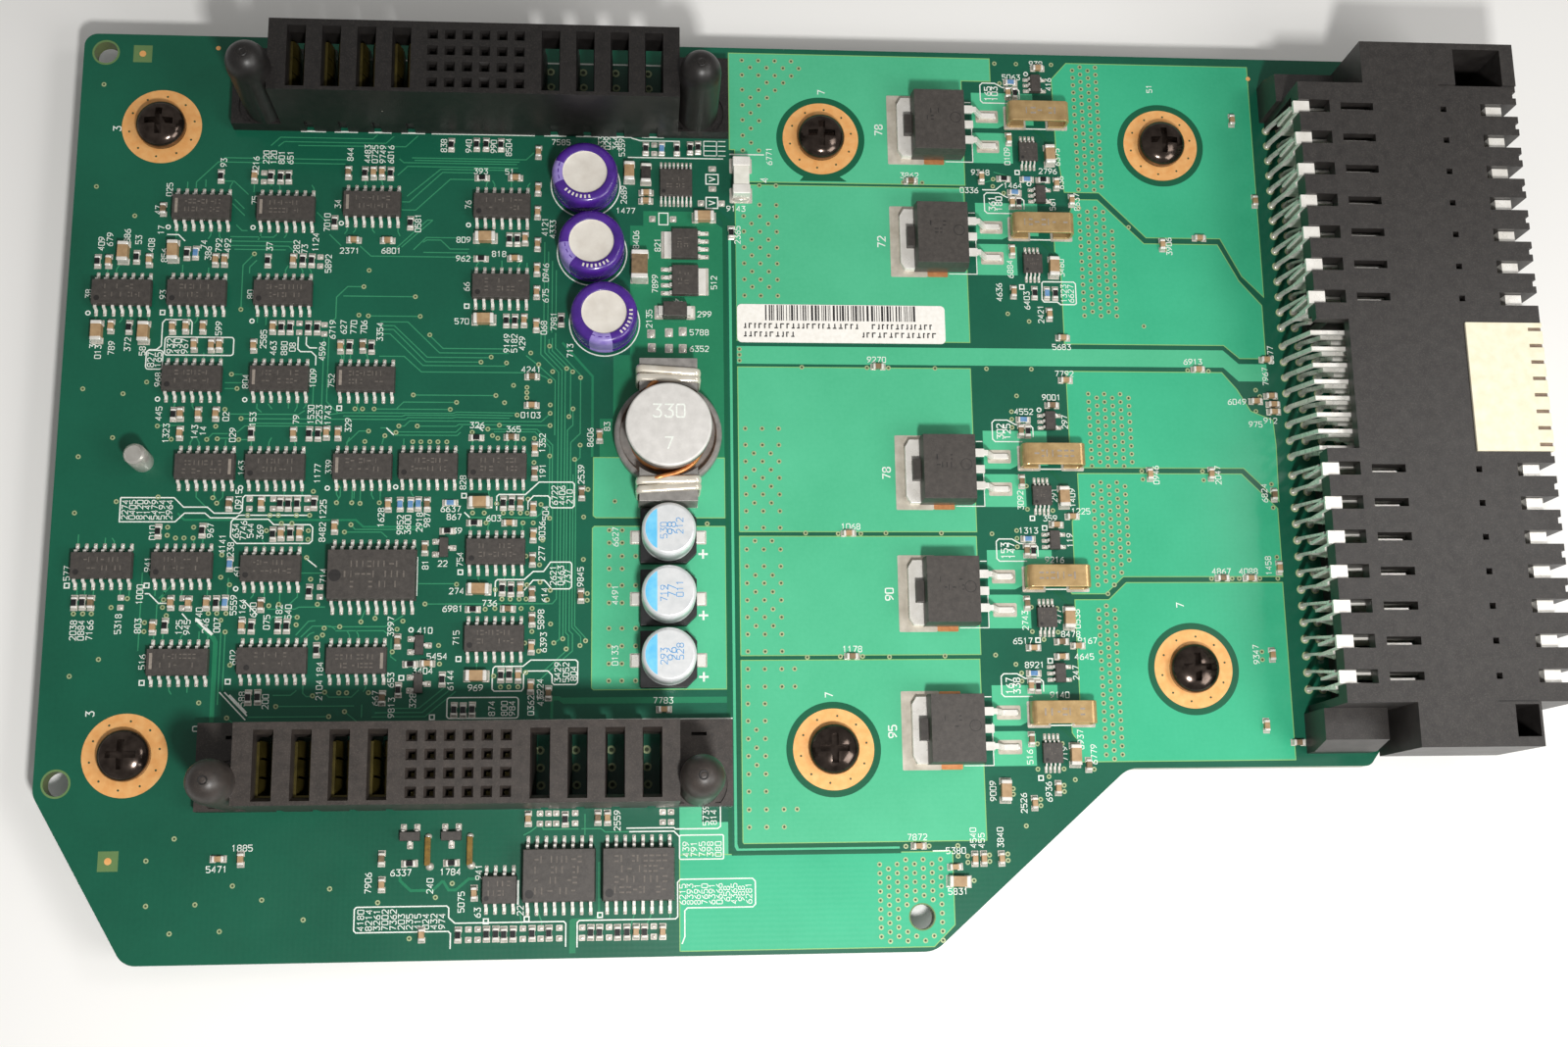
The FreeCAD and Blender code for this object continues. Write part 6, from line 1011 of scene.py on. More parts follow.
BOXES = [
    [(-48.9, 13.4), (-48.9, 17.0), (-48.5, 17.5), (-44.9, 17.5), (-44.6, 17.1), (-44.6, 15.2)], [(-48.9, 13.4), (-49.6, 12.8), (-50.7, 12.8)],
    [(-49.2, -23.9), (-48.6, -23.9), (-47.2, -25.3), (-45.9, -25.3)], [(-43.8, -26.8), (-43.0, -27.7)], [(-26.6, -18.7), (-25.0, -20.0)], [(-35.3, -24.8), (-33.2, -27.0)],
    [(-38.0, -38.2), (-34.2, -42.2)], [(-37.3, -38.2), (-34.0, -41.6)], [(-49.0, 30.9), (-47.3, 30.9), (-46.3, 29.9)], [(-29.0, 15.0), (-29.0, 13.1), (-28.6, 12.7), (-27.0, 12.7), (-26.3, 12.0), (-26.3, 10.6)],
    [(-27.8, 15.0), (-27.8, 13.8), (-27.3, 13.3), (-26.2, 13.3)], [(-15.6, 1.0), (-14.5, -0.1)], [(-3.9, -11.8), (-3.1, -12.6)], [(-2.2, 1.3), (-1.4, 0.6)],
    [(-53.4, -9.7), (-45.8, -9.7), (-44.4, -11.1), (-41.0, -11.1), (-40.0, -12.0), (-36.4, -12.0), (-36.0, -11.6), (-36.0, -9.7), (-35.7, -9.35), (-26.3, -9.35), (-26.0, -9.8)],
    [(-53.4, -9.7), (-53.4, -13.3), (-45.5, -13.3), (-44.2, -12.0), (-41.3, -12.0), (-40.5, -12.7), (-36.9, -12.7), (-36.4, -12.3), (-26.6, -12.3)],
    [(0.8, -11.5), (0.8, -9.4), (1.1, -9.1), (5.0, -9.1), (7.0, -7.2), (11.9, -7.2), (12.2, -7.5), (12.2, -10.8), (11.9, -11.1), (8.9, -11.1), (8.6, -10.8), (8.6, -9.6), (8.3, -9.3), (6.2, -9.3), (5.4, -10.2), (5.4, -11.4)],
    [(0.8, -24.4), (0.8, -22.2), (1.1, -21.9), (5.0, -21.9), (6.3, -20.7), (7.8, -20.7), (8.8, -19.3), (11.7, -19.3), (11.9, -19.6), (11.9, -23.0), (11.6, -23.3), (9.0, -23.3), (8.2, -22.3), (7.9, -22.0), (6.3, -22.0), (5.0, -23.5)],
    [(0.6, -36.0), (0.7, -35.0), (1.0, -34.7), (5.0, -34.7), (6.1, -33.8), (12.6, -33.8), (12.9, -34.1), (12.9, -37.1), (12.6, -37.4), (9.5, -37.4), (9.2, -37.1), (9.2, -36.0), (8.6, -35.4), (5.5, -35.4), (5.1, -35.8), (5.1, -37.9),
     (4.8, -38.3), (0.9, -38.3), (0.6, -38.0), (0.6, -36.0)],
    [(11.5, -74.5), (11.5, -71.3), (11.2, -71.0), (-4.0, -71.0), (-4.9, -70.2), (-4.9, -68.9), (-5.2, -68.6), (-17.7, -68.6), (-18.0, -68.9), (-18.0, -71.8), (-17.7, -72.1), (-4.9, -72.1), (-4.6, -72.4), (-4.6, -74.5)],
    [(13.1, -74.6), (13.1, -71.2), (13.4, -70.9), (27.0, -70.9), (27.3, -70.6), (27.3, -65.8), (27.7, -65.4), (38.0, -65.4), (38.4, -65.8), (38.4, -69.0), (38.0, -69.4), (28.7, -69.4), (28.3, -69.8), (28.3, -73.4), (27.9, -74.4)],
    [(20.0, -58.1), (26.8, -58.1), (27.0, -58.3), (33.1, -58.3), (33.5, -58.0), (33.5, -55.1), (33.2, -54.8), (28.0, -54.8)], [(20.4, -58.6), (26.8, -58.6), (27.6, -59.4)],
    [(75.5, 40.2), (77.6, 40.2), (78.8, 41.2)], [(64.2, -61.9), (66.4, -61.9)],
]
for pts in BOXES:
    silk(pts, 0.18)
silk([(-41.8, -27.6), (-39.4, -29.9)], 0.42)
silk([(-36.6, -38.6), (-34.1, -41.2)], 0.3)
CLOSED = [rounded(-48.4, -38.4, 12.0, 14.8, 0.4), rounded(-51.0, -48.6, 9.8, 12.7, 0.4), rounded(-5.8, 4.4, -42.2, -39.2, 0.4), rounded(27.6, 33.9, -62.6, -59.2, 0.2),
          [(-37.5, -13.3), (-37.2, -12.9), (-32.2, -12.9), (-31.4, -13.7), (-26.2, -13.7), (-25.8, -14.1), (-25.8, -16.1), (-26.2, -16.5), (-36.6, -16.5), (-37.5, -15.5)],
          [(84.3, 24.9), (84.5, 25.1), (89.3, 25.1), (89.6, 24.8), (89.6, 21.6), (89.3, 21.4), (87.1, 21.4), (86.6, 21.8), (84.5, 21.8), (84.2, 22.2)],
          box_pts(32.1, 34.0, 40.4, 42.0), box_pts(32.1, 33.9, 36.4, 38.2), box_pts(24.8, 26.2, 33.6, 35.5)]
for pts in CLOSED:
    silk(pts, 0.18, True)
for x, y in ((33.05, 41.2), (33.0, 37.3)):
    silk([(x - 0.5, y + 0.35), (x + 0.5, y)], 0.16)
    silk([(x - 0.5, y - 0.35), (x + 0.5, y)], 0.16)
silk([(27.0, 21.2), (28.4, 21.2)], 0.14)
silk([(27.4, 20.8), (27.4, 21.6), (27.9, 21.2)], 0.14, True)
silk([(-10.6, -18.5), (-10.6, -24.3)], 0.3)
silk([(4.75, -65.2), (4.75, -68.6)], 0.26)
for yq, dx in CHANNELS:
    silk([(69.8 + dx, yq - 5.2), (74.2 + dx, yq - 5.2), (74.2 + dx, yq + 1.0)], 0.14)
    silk([(74.2 + dx, yq + 4.9), (73.2 + dx, yq + 4.9)], 0.14)
    silk([(79.5 + dx, yq + 0.6), (89.5 + dx, yq + 0.6)], 0.2)
    silk([(82.1 + dx, yq + 5.6), (82.1 + dx, yq + 7.1), (81.6 + dx, yq + 7.6), (79.4 + dx, yq + 7.6), (78.2 + dx, yq + 8.3), (76.2 + dx, yq + 8.3), (75.8 + dx, yq + 7.9), (75.8 + dx, yq + 5.3), (76.2 + dx, yq + 4.9), (80.4 + dx, yq + 4.9)], 0.17)
    for k in (0, 1):
        digits(ink, "%03d" % RNG.randrange(100, 400), *at([(77.0 + dx + 1.1 * k, yq + 6.5)])[0], 0.95, LOW, Z_SILK, "silk", 90)
    digits(ink, "%02d" % RNG.randrange(10, 99), *at([(59.35 + dx, yq - 0.1)])[0], 1.15, LOW, Z_SILK, "silk", 90)

# polarity crosses beside the filter cans
for y in (-18.1, -27.3, -36.4):
    silk([(30.55, y), (31.95, y)], 0.3)
    silk([(31.25, y - 0.7), (31.25, y + 0.7)], 0.3)
# circles round the tall cans
for x, y, a in BULK:
    ink.ring(x, y, 5.2, 5.38, LOW, Z_SILK, "silk", 64)

# designators: (x, y, turn, digits)
LABELS = [
    (-57.3, 47.8, 90, 1), (-41.2, 42.6, 90, 2), (-36.4, 42.6, 90, 3), (-34.9, 43.6, 90, 3), (-33.8, 43.6, 90, 3), (-32.6, 43.6, 90, 3), (-31.3, 43.6, 90, 3), (-22.3, 44.3, 90, 3), (-49.0, 38.1, 90, 3),
    (-50.5, 34.8, 90, 2), (-49.9, 31.6, 90, 2), (-36.3, 36.6, 90, 2), (-23.9, 36.2, 90, 2), (-25.4, 33.2, 90, 4), (-57.3, 30.0, 90, 3), (-54.8, 30.6, 90, 3), (-53.1, 30.0, 90, 2), (-51.2, 29.2, 90, 3),
    (-58.5, 29.3, 90, 3), (-41.3, 29.3, 90, 3), (-40.0, 29.3, 90, 3), (-33.8, 29.2, 90, 2), (-29.8, 29.2, 90, 3), (-28.6, 28.9, 90, 2), (-27.0, 30.0, 90, 4), (-21.9, 28.7, 0, 4), (-19.7, 44.4, 90, 4),
    (-18.6, 44.4, 90, 4), (-17.4, 44.4, 90, 4), (-16.2, 44.4, 90, 4), (-8.2, 46.0, 90, 3), (-4.4, 46.0, 90, 3), (-0.6, 46.0, 90, 3), (1.7, 45.9, 90, 4), (9.7, 46.9, 0, 4), (-2.5, 41.9, 0, 3), (1.9, 41.9, 0, 2),
    (15.9, 46.9, 90, 3), (16.9, 46.9, 90, 3), (18.1, 46.9, 90, 3), (19.1, 46.2, 90, 4), (19.4, 38.4, 90, 4), (19.7, 35.8, 0, 4), (21.3, 31.1, 90, 4), (-11.8, 33.3, 90, 4), (-4.3, 36.4, 90, 2),
    (-4.9, 30.7, 0, 3), (0.5, 28.5, 0, 3), (-15.7, 28.8, 0, 4), (7.4, 33.0, 90, 4), (8.6, 32.6, 90, 4), (42.0, 45.2, 90, 4), (41.2, 41.2, 90, 1), (36.7, 36.4, 0, 4), (36.9, 32.1, 90, 4), (50.4, 56.1, 90, 1),
    (64.0, 42.4, 0, 4), (24.6, 30.3, 90, 3), (85.0, 61.8, 0, 3), (86.9, 58.3, 90, 3), (80.9, 59.4, 0, 4), (103.3, 57.9, 90, 2), (79.7, 45.9, 90, 4), (87.7, 45.9, 90, 4), (75.3, 43.1, 0, 4), (86.1, 43.5, 0, 4),
    (88.1, 41.6, 90, 3), (80.4, 41.0, 0, 4), (73.4, 40.1, 0, 4), (86.6, 38.0, 90, 3), (90.5, 38.4, 90, 4), (104.9, 31.2, 90, 4), (24.2, 24.0, 90, 4), (33.2, 24.3, 90, 3), (31.7, 19.2, 0, 3), (23.3, 18.4, 90, 4),
    (30.9, 16.3, 0, 4), (30.9, 13.7, 0, 4), (58.0, 12.2, 0, 4), (79.4, 27.1, 90, 4), (87.5, 27.4, 90, 4), (77.5, 23.3, 90, 4), (81.8, 22.0, 90, 4), (87.7, 23.2, 90, 4), (88.8, 23.2, 90, 4), (83.9, 19.8, 90, 4),
    (86.9, 14.5, 0, 4), (87.1, 10.2, 0, 4), (84.9, 6.4, 0, 4), (80.5, 4.1, 0, 4), (86.8, 2.5, 90, 3), (107.5, 12.3, 0, 4), (118.9, 10.0, 90, 4), (114.1, 5.9, 0, 4), (116.8, 2.3, 0, 3), (119.2, 2.9, 0, 3),
    (120.0, 13.5, 90, 4), (-25.4, -6.0, 90, 4), (-23.8, -5.0, 90, 3), (-36.4, -5.2, 90, 3), (-48.6, -14.9, 90, 3), (-40.4, -14.6, 90, 3), (-38.6, -16.6, 90, 4), (-37.4, -17.4, 90, 3), (-36.6, -9.9, 90, 4),
    (-24.4, -11.4, 90, 4), (-24.4, -14.8, 90, 4), (-36.8, -14.6, 90, 3), (-35.7, -14.6, 90, 4), (-34.7, -14.6, 90, 3), (-33.3, -14.8, 90, 3), (-60.3, -20.9, 90, 3), (-49.0, -19.6, 90, 3), (-36.3, -20.7, 90, 2),
    (-24.0, -21.3, 90, 3), (-49.9, -24.0, 90, 4), (-49.9, -28.6, 90, 3), (-58.9, -29.2, 90, 4), (-57.8, -29.2, 90, 4), (-56.6, -29.2, 90, 4), (-52.7, -28.3, 90, 4), (-44.1, -28.8, 90, 3), (-43.0, -28.8, 90, 3),
    (-41.4, -27.0, 90, 3), (-40.4, -28.6, 90, 3), (-38.8, -28.5, 90, 3), (-36.6, -25.6, 90, 4), (-35.3, -26.2, 90, 4), (-33.8, -26.3, 90, 3), (-31.8, -28.1, 90, 3), (-30.1, -26.6, 90, 3), (-28.8, -26.6, 90, 3),
    (-49.0, -33.8, 90, 3), (-36.3, -33.2, 90, 3), (-24.0, -35.0, 90, 3), (-24.0, -38.0, 90, 4), (-34.8, -39.2, 90, 3), (-31.5, -39.6, 90, 3), (-4.2, -7.3, 90, 3), (7.5, -5.5, 90, 3), (8.0, -11.9, 90, 3),
    (13.2, -6.0, 90, 4), (-16.0, -12.6, 90, 4), (-13.2, -13.7, 90, 4), (-12.1, -13.7, 90, 4), (-10.4, -13.3, 90, 4), (-9.3, -13.0, 90, 3), (-5.9, -11.3, 0, 4), (-5.4, -12.5, 0, 3), (0.4, -12.7, 0, 3),
    (-4.9, -14.6, 0, 2), (7.5, -14.6, 90, 4), (7.5, -18.0, 90, 3), (-4.4, -18.9, 90, 3), (-9.4, -19.7, 90, 2), (-6.9, -19.5, 0, 2), (-4.8, -23.6, 0, 3), (0.0, -25.4, 0, 3), (-5.3, -26.2, 0, 4), (8.0, -24.2, 90, 3),
    (13.2, -21.5, 90, 4), (7.5, -27.8, 90, 4), (-14.1, -28.8, 90, 4), (-9.2, -29.4, 0, 3), (-4.7, -30.5, 90, 3), (7.9, -31.2, 90, 4), (-7.4, -33.2, 0, 4), (-9.4, -35.3, 0, 4), (-5.4, -36.7, 90, 4),
    (-13.9, -36.6, 90, 3), (-1.8, -37.8, 0, 3), (7.5, -38.0, 90, 4), (9.3, -9.2, 90, 4), (10.4, -9.2, 90, 4), (11.5, -9.4, 90, 3), (9.2, -21.3, 90, 4), (10.3, -21.3, 90, 4), (11.3, -21.5, 90, 3), (10.0, -35.6, 90, 4),
    (11.2, -35.6, 90, 4), (12.3, -35.8, 90, 3), (18.3, -15.5, 90, 4), (18.3, -24.2, 90, 4), (18.3, -33.2, 90, 4), (53.4, -13.9, 0, 4), (53.2, -32.4, 0, 4), (49.6, -39.2, 90, 1), (79.4, -9.8, 90, 4), (84.6, -9.0, 90, 3),
    (87.4, -9.4, 90, 4), (88.6, -11.5, 0, 4), (83.8, -12.6, 0, 3), (80.4, -14.5, 0, 4), (86.7, -16.0, 90, 3), (84.2, -19.0, 0, 4), (79.3, -28.2, 90, 4), (84.4, -27.6, 90, 3), (87.2, -28.0, 90, 4), (86.1, -30.3, 0, 4),
    (88.6, -31.3, 0, 4), (78.8, -31.3, 0, 4), (88.0, -33.7, 0, 4), (80.4, -34.9, 0, 4), (86.6, -36.1, 90, 3), (84.0, -39.4, 0, 4), (100.6, -5.8, 90, 4), (103.1, -26.0, 90, 1), (110.3, -5.8, 90, 4), (117.4, -8.6, 90, 4),
    (117.2, -19.9, 90, 4), (109.8, -20.8, 0, 4), (114.0, -20.8, 0, 4), (114.3, -33.5, 90, 4), (-55.8, -41.2, 90, 1), (-37.2, -63.1, 0, 4), (-33.8, -60.2, 0, 4), (-40.9, -43.4, 90, 1), (-13.7, -40.6, 90, 4),
    (-16.0, -39.2, 90, 3), (-10.7, -39.6, 90, 3), (0.6, -40.8, 90, 3), (2.4, -40.8, 90, 3), (3.5, -40.8, 90, 3), (6.2, -40.4, 90, 4), (7.6, -39.4, 90, 3), (-16.2, -65.3, 90, 4), (-11.7, -63.9, 0, 4), (-4.8, -63.9, 0, 4),
    (-7.6, -65.8, 90, 3), (-0.8, -64.0, 90, 3), (-3.2, -68.1, 90, 4), (-0.9, -69.6, 90, 2), (5.1, -69.4, 90, 2), (18.7, -57.0, 90, 4), (25.3, -39.8, 0, 4), (62.0, -59.9, 0, 4), (31.4, -56.4, 90, 4), (32.5, -56.7, 90, 3),
    (79.1, -48.5, 90, 3), (84.3, -48.1, 90, 3), (86.8, -46.0, 90, 4), (88.7, -48.2, 90, 4), (73.4, -53.4, 90, 4), (77.9, -55.2, 90, 4), (81.7, -53.6, 90, 4), (70.2, -60.1, 90, 4), (71.4, -60.5, 90, 3), (74.2, -60.1, 90, 4),
    (67.6, -61.9, 0, 4), (67.7, -67.7, 0, 4), (-58.8, 14.0, 90, 3), (-58.0, 12.4, 90, 3), (-56.1, 13.0, 90, 3), (-53.8, 13.6, 90, 3), (-51.6, 12.6, 90, 2), (-40.7, 16.2, 90, 3), (-34.1, 14.6, 90, 4), (-32.6, 13.2, 90, 3),
    (-31.0, 13.2, 90, 3), (-29.8, 13.4, 90, 2), (-25.4, 12.8, 90, 4), (-24.0, 16.2, 90, 4), (-22.4, 16.6, 90, 3), (-20.9, 16.6, 90, 3), (-19.4, 16.6, 90, 3), (-17.0, 15.9, 90, 4), (-26.6, 8.6, 90, 4), (-48.7, 3.0, 90, 3),
    (-39.0, 2.6, 90, 2), (-47.5, 0.0, 90, 4), (-43.4, 0.2, 90, 3), (-42.2, 0.4, 90, 2), (-37.9, -0.2, 90, 3), (-35.1, 2.2, 90, 3), (-28.8, 2.2, 90, 2), (-26.7, 3.0, 90, 4), (-25.5, 3.0, 90, 4), (-24.2, 2.9, 90, 4),
    (-21.2, 1.4, 90, 3), (-49.1, 8.2, 90, 3), (-36.4, 8.0, 90, 3), (-23.9, 8.2, 90, 3), (-59.9, 21.4, 90, 2), (-36.3, 21.6, 90, 2), (-49.1, 21.4, 90, 2), (-4.3, 23.2, 90, 2), (-4.9, 27.7, 0, 3), (-4.9, 17.7, 0, 3),
    (7.6, 25.6, 90, 4), (7.6, 21.9, 90, 3), (7.4, 16.8, 90, 3), (8.9, 17.8, 90, 4), (1.9, 14.3, 90, 4), (3.0, 14.3, 90, 4), (4.2, 14.3, 90, 3), (5.6, 10.2, 0, 4), (5.6, 3.1, 0, 4), (-2.3, 1.5, 0, 3), (3.1, 0.9, 0, 3),
    (7.4, -1.2, 90, 4), (14.5, -0.3, 90, 4), (17.0, 1.4, 90, 2), (11.4, 13.2, 90, 3), (1.9, 35.0, 90, 0), (-51.0, -0.2, 90, 0), (-53.6, 25.0, 90, 0), (-42.8, 28.0, 90, 3), (-49.2, 27.6, 90, 3), (-43.5, 29.4, 90, 2), (-25.0, 26.6, 90, 4),
]
for x, y, a, n in LABELS:
    if n:
        x, y = at([(x, y)])[0]
        digits(ink, "".join(RNG.choice("0123456789") for _ in range(n)), x, y, 0.84 if n > 1 else 1.1, LOW, Z_SILK, "silk", a, 0.14)
for k in range(11):
    x, y = at([(-17.1 + 1.13 * k, -70.4)])[0]
    digits(ink, "".join(RNG.choice("0123456789") for _ in range(3 if k > 4 else 4)), x, y - (0.3 if k > 4 else 0.0), 0.84, LOW, Z_SILK, "silk", 90, 0.14)
for k in range(10):
    x, y = at([(28.0 + 1.05 * k, -67.5)])[0]
    digits(ink, "".join(RNG.choice("0123456789") for _ in range(4 if k not in (6, 8) else 3)), x, y, 0.84, LOW, Z_SILK, "silk", 90, 0.14)
for k in range(5):
    x, y = at([(28.5 + 1.16 * k, -61.2)])[0]
    digits(ink, "".join(RNG.choice("0123456789") for _ in range(3)), x, y, 0.84, LOW, Z_SILK, "silk", 90, 0.14)
for k in range(7):
    x, y = at([(-52.7 + 1.05 * k, -11.5)])[0]
    digits(ink, "".join(RNG.choice("0123456789") for _ in range(4)), x, y, 0.84, LOW, Z_SILK, "silk", 90, 0.14)
for k in range(3):
    x, y = at([(-47.6 + 1.05 * k, 13.4)])[0]
    digits(ink, "".join(RNG.choice("0123456789") for _ in range(3)), x, y, 0.9, LOW, Z_SILK, "silk", 90, 0.14)
for k in range(2):
    x, y = at([(-50.3 + 1.05 * k, 11.25)])[0]
    digits(ink, "".join(RNG.choice("0123456789") for _ in range(3)), x, y, 0.9, LOW, Z_SILK, "silk", 90, 0.14)

# first-lead marks
for x, y in at([(-48.9, 32.1), (-36.4, 32.2), (-23.3, 33.1), (-4.2, 33.1), (-59.8, 18.4), (-35.9, 17.4), (-36.4, 5.2), (-49.0, 5.2), (-36.4, -23.2), (-14.0, -8.0), (-36.4, -8.2), (-23.9, -8.2), (82.9, 4.4), (83.3, 60.0), (83.0, 41.3), (-11.2, -29.3)]):
    ink.ring(x, y, 0.22, 0.4, LOW, Z_SILK, "silk", 14)
for x, y in at([(-49.0, 18.6), (-22.6, 4.0), (-4.2, 20.1), (-4.0, -9.3), (-4.3, -20.8), (-4.3, -33.6), (-60.2, -22.7), (-49.0, -22.7), (-36.9, -36.7), (-48.9, -36.8), (-12.4, -36.3), (-7.9, -42.0), (81.1, 24.2), (81.1, -12.6),
                (81.1, -31.2), (82.9, -14.1), (82.8, -34.3), (80.6, -51.6), (81.2, 43.2), (0.3, -70.8), (6.0, -70.6), (16.3, -70.2)]):
    ink.line(box_pts(x - 0.33, x + 0.33, y - 0.33, y + 0.33), 0.18, LOW, Z_SILK, "silk", True)
# socket_back_line: outline behind the upper socket, seen through its open cavities
ink.line(at([(-30.6, 60.05), (27.2, 60.05)]), 0.24, LOW, Z_SILK, "silk")
ink.done()


# ------------------------------------------------------------------ chip parts with end caps and solder

def fillet(b, x, half, z1, reach, mat, side):
    """Concave solder ramp on a chip's end, along its own length."""
    v, f = [], []
    steps = 4
    for i in range(steps + 1):
        t = i / steps
        h = (z1 - TOP) * (1.0 - t) ** 1.8
        px = x + side * reach * t
        wd = half * (1.0 - 0.12 * t)
        v += [(px, -wd, LOW), (px, wd, LOW), (px, wd * 0.94, TOP + 0.045 + h), (px, -wd * 0.94, TOP + 0.045 + h)]
    for i in range(steps):
        a, c = 4 * i, 4 * (i + 1)
        for k in range(4):
            q = (k + 1) % 4
            f.append([a + k, a + q, c + q, c + k] if side < 0 else [a + q, a + k, c + k, c + q])
    f.append([0, 3, 2, 1] if side < 0 else [0, 1, 2, 3])
    e = 4 * steps
    f.append([e, e + 1, e + 2, e + 3] if side < 0 else [e + 3, e + 2, e + 1, e])
    b.add(v, f, mat, True)


def chip(b, x, y, ln, wd, ht, turn, kind, body="ceramic", cap=None):
    """Two-ended part: pads, body, wrapped end caps and solder ramps."""
    b.place(x + RNG.uniform(-0.05, 0.05), y + RNG.uniform(-0.05, 0.05), turn + RNG.uniform(-1.6, 1.6))
    t = cap or ln * 0.23
    z0 = TOP + 0.03
    z1 = TOP + ht
    for s in (-1, 1):
        b.box(min(s * (ln / 2 - t - 0.1), s * (ln / 2 + 0.36)), max(s * (ln / 2 - t - 0.1), s * (ln / 2 + 0.36)), -wd / 2 - 0.1, wd / 2 + 0.1, LOW, Z_PAD, "pad")
        x0, x1 = sorted((s * (ln / 2 - t), s * ln / 2))
        b.soft_box(x0, x1, -wd / 2, wd / 2, z0, z1, min(0.1, ht * 0.16), "tin")
        fillet(b, s * ln / 2, wd / 2, z1 - ht * RNG.uniform(0.25, 0.5), RNG.uniform(0.26, 0.36), "pad", s)
    g = 0.025
    if kind == "res":
        b.soft_box(-ln / 2 + t - 0.02, ln / 2 - t + 0.02, -wd / 2 + g, wd / 2 - g, z0, z1 - 0.07, 0.03, "ceramic_white")
        b.soft_box(-ln / 2 + t - 0.01, ln / 2 - t + 0.01, -wd / 2 + g + 0.02, wd / 2 - g - 0.02, z1 - 0.08, z1 - 0.012, 0.02, body)
    else:
        b.soft_box(-ln / 2 + t - 0.02, ln / 2 - t + 0.02, -wd / 2 + g, wd / 2 - g, z0, z1 - g, 0.05, body)
    b.place()


caps = Build("ceramic_chips", ["ceramic", "ceramic_dark", "tin", "pad"])
for pts, turn in ((CAP_V, 90), (CAP_H, 0)):
    for x, y in pts:
        chip(caps, x, y, 1.6, 0.82, 0.8, turn, "cap", RNG.choice(("ceramic", "ceramic", "ceramic_dark")))
caps.done(("small_ceramic_capacitors",))
big = Build("large_ceramic_chips", ["ceramic", "ceramic_dark", "tin", "pad"])
for pts, turn in ((LCAP_V, 90), (LCAP_H, 0)):
    for x, y in pts:
        chip(big, x, y, 3.0, 1.55, 1.4, turn, "cap", "ceramic", 0.55)
big.done(("large_ceramic_capacitors",))
bulk = Build("bulk_ceramic_chip", ["ceramic", "ceramic_dark", "tin", "pad"])
for x, y, a in BIGCAP:
    chip(bulk, x, y, 4.5, 2.5, 2.0, a, "cap", "ceramic_dark", 0.7)
bulk.done(("bulk_ceramic_capacitor",))
resb = Build("thick_film_chips", ["res", "tin", "pad", "ceramic_white"])
for pts, turn in ((RES_V, 90), (RES_H, 0)):
    for x, y in pts:
        chip(resb, x, y, 1.6, 0.82, 0.5, turn, "res", "res", 0.34)
resb.done(("chip_resistors",))
blue = Build("thin_film_chips", ["res_blue", "tin", "pad", "ceramic_white"])
for pts, turn in ((BLUE_V, 90), (BLUE_H, 0)):
    for x, y in pts:
        chip(blue, x, y, 1.6, 0.82, 0.5, turn, "res", "res_blue", 0.3)
blue.done(("film_resistors",))
bead = Build("bead_chip", ["bead", "tin", "pad"])
for x, y, a in BEAD:
    chip(bead, x, y, 3.0, 1.5, 1.2, a, "cap", "bead", 0.5)
bead.done(("ferrite_bead",))

# ------------------------------------------------------------------ pads and solder under everything else

pads = Build("solder_pads", ["pad", "copper_bare", "via", "hole", "gold", "pad_dull"])


def bare(x0, x1, y0, y1, mat="pad", r=0.12, z=Z_PAD):
    pads.prism(rounded(x0, x1, y0, y1, min(r, (x1 - x0) * 0.4, (y1 - y0) * 0.4), 3), LOW, z, mat)


def blob(x, y, rx, ry, h, mat="pad"):
    pads.dome(x, y, rx, ry, LOW, h + TOP - LOW, mat, 10, 3)


def lead_pads(x, y, turn, count, pitch, span, wide, reach=0.55, back=0.75, solder=True):
    for i in range(count):
        px = (i - (count - 1) / 2) * pitch
        for s in (-1, 1):
            y0, y1 = sorted((s * (span / 2 - back), s * (span / 2 + reach)))
            pads.place(x, y, turn)
            bare(px - wide / 2, px + wide / 2, y0, y1)
            if solder:
                blob(px + RNG.uniform(-0.03, 0.03), s * (span / 2 + reach * 0.35), wide * 0.42, reach * 0.62, RNG.uniform(0.14, 0.24))
            pads.place()


for q in SOIC14:
    lead_pads(*q, 7, 1.27, 6.0, 0.5, 0.42, 0.7)
for q in SOIC16:
    lead_pads(*q, 8, 1.27, 6.0, 0.5, 0.42, 0.7)
for q in SOIC8:
    lead_pads(*q, 4, 1.27, 6.0, 0.5, 0.42, 0.7)
for q in SO20W:
    lead_pads(*q, 10, 1.27, 10.3, 0.5, 0.42, 0.7)
for q in SO16W:
    lead_pads(*q, 8, 1.27, 10.3, 0.5, 0.42, 0.7)
for q in TSSOP16:
    lead_pads(*q, 8, 0.65, 6.4, 0.38, 0.45, 0.6)
for q in MSOP8:
    lead_pads(*q, 4, 0.65, 4.9, 0.42, 0.45, 0.6)
for x, y in PADS_V:
    for s in (-0.72, 0.72):
        bare(x - 0.46, x + 0.46, y + s - 0.42, y + s + 0.42)
        blob(x, y + s, 0.36, 0.32, RNG.uniform(0.1, 0.2))
for x, y in at([(32.9, 37.2), (25.4, 34.5)]):
    for s in (-1.6, 1.6):
        bare(x + s - 0.5, x + s + 0.5, y - 0.5, y + 0.5)
        blob(x + s, y, 0.4, 0.4, 0.16)
for x, y in at([(33.1, 42.9), (33.1, 39.6)]):
    bare(x - 0.6, x + 0.6, y - 0.45, y + 0.45)
    blob(x, y, 0.45, 0.34, 0.16)
for x, y in at([(23.6, 16.0), (26.3, 16.2), (28.4, 16.4), (23.7, 13.8), (26.3, 13.7), (28.4, 13.7)]):
    bare(x - 0.6, x + 0.6, y - 0.7, y + 0.7)
    pads.dome(x, y, 0.56, 0.66, LOW, 0.16, "pad", 12, 3)
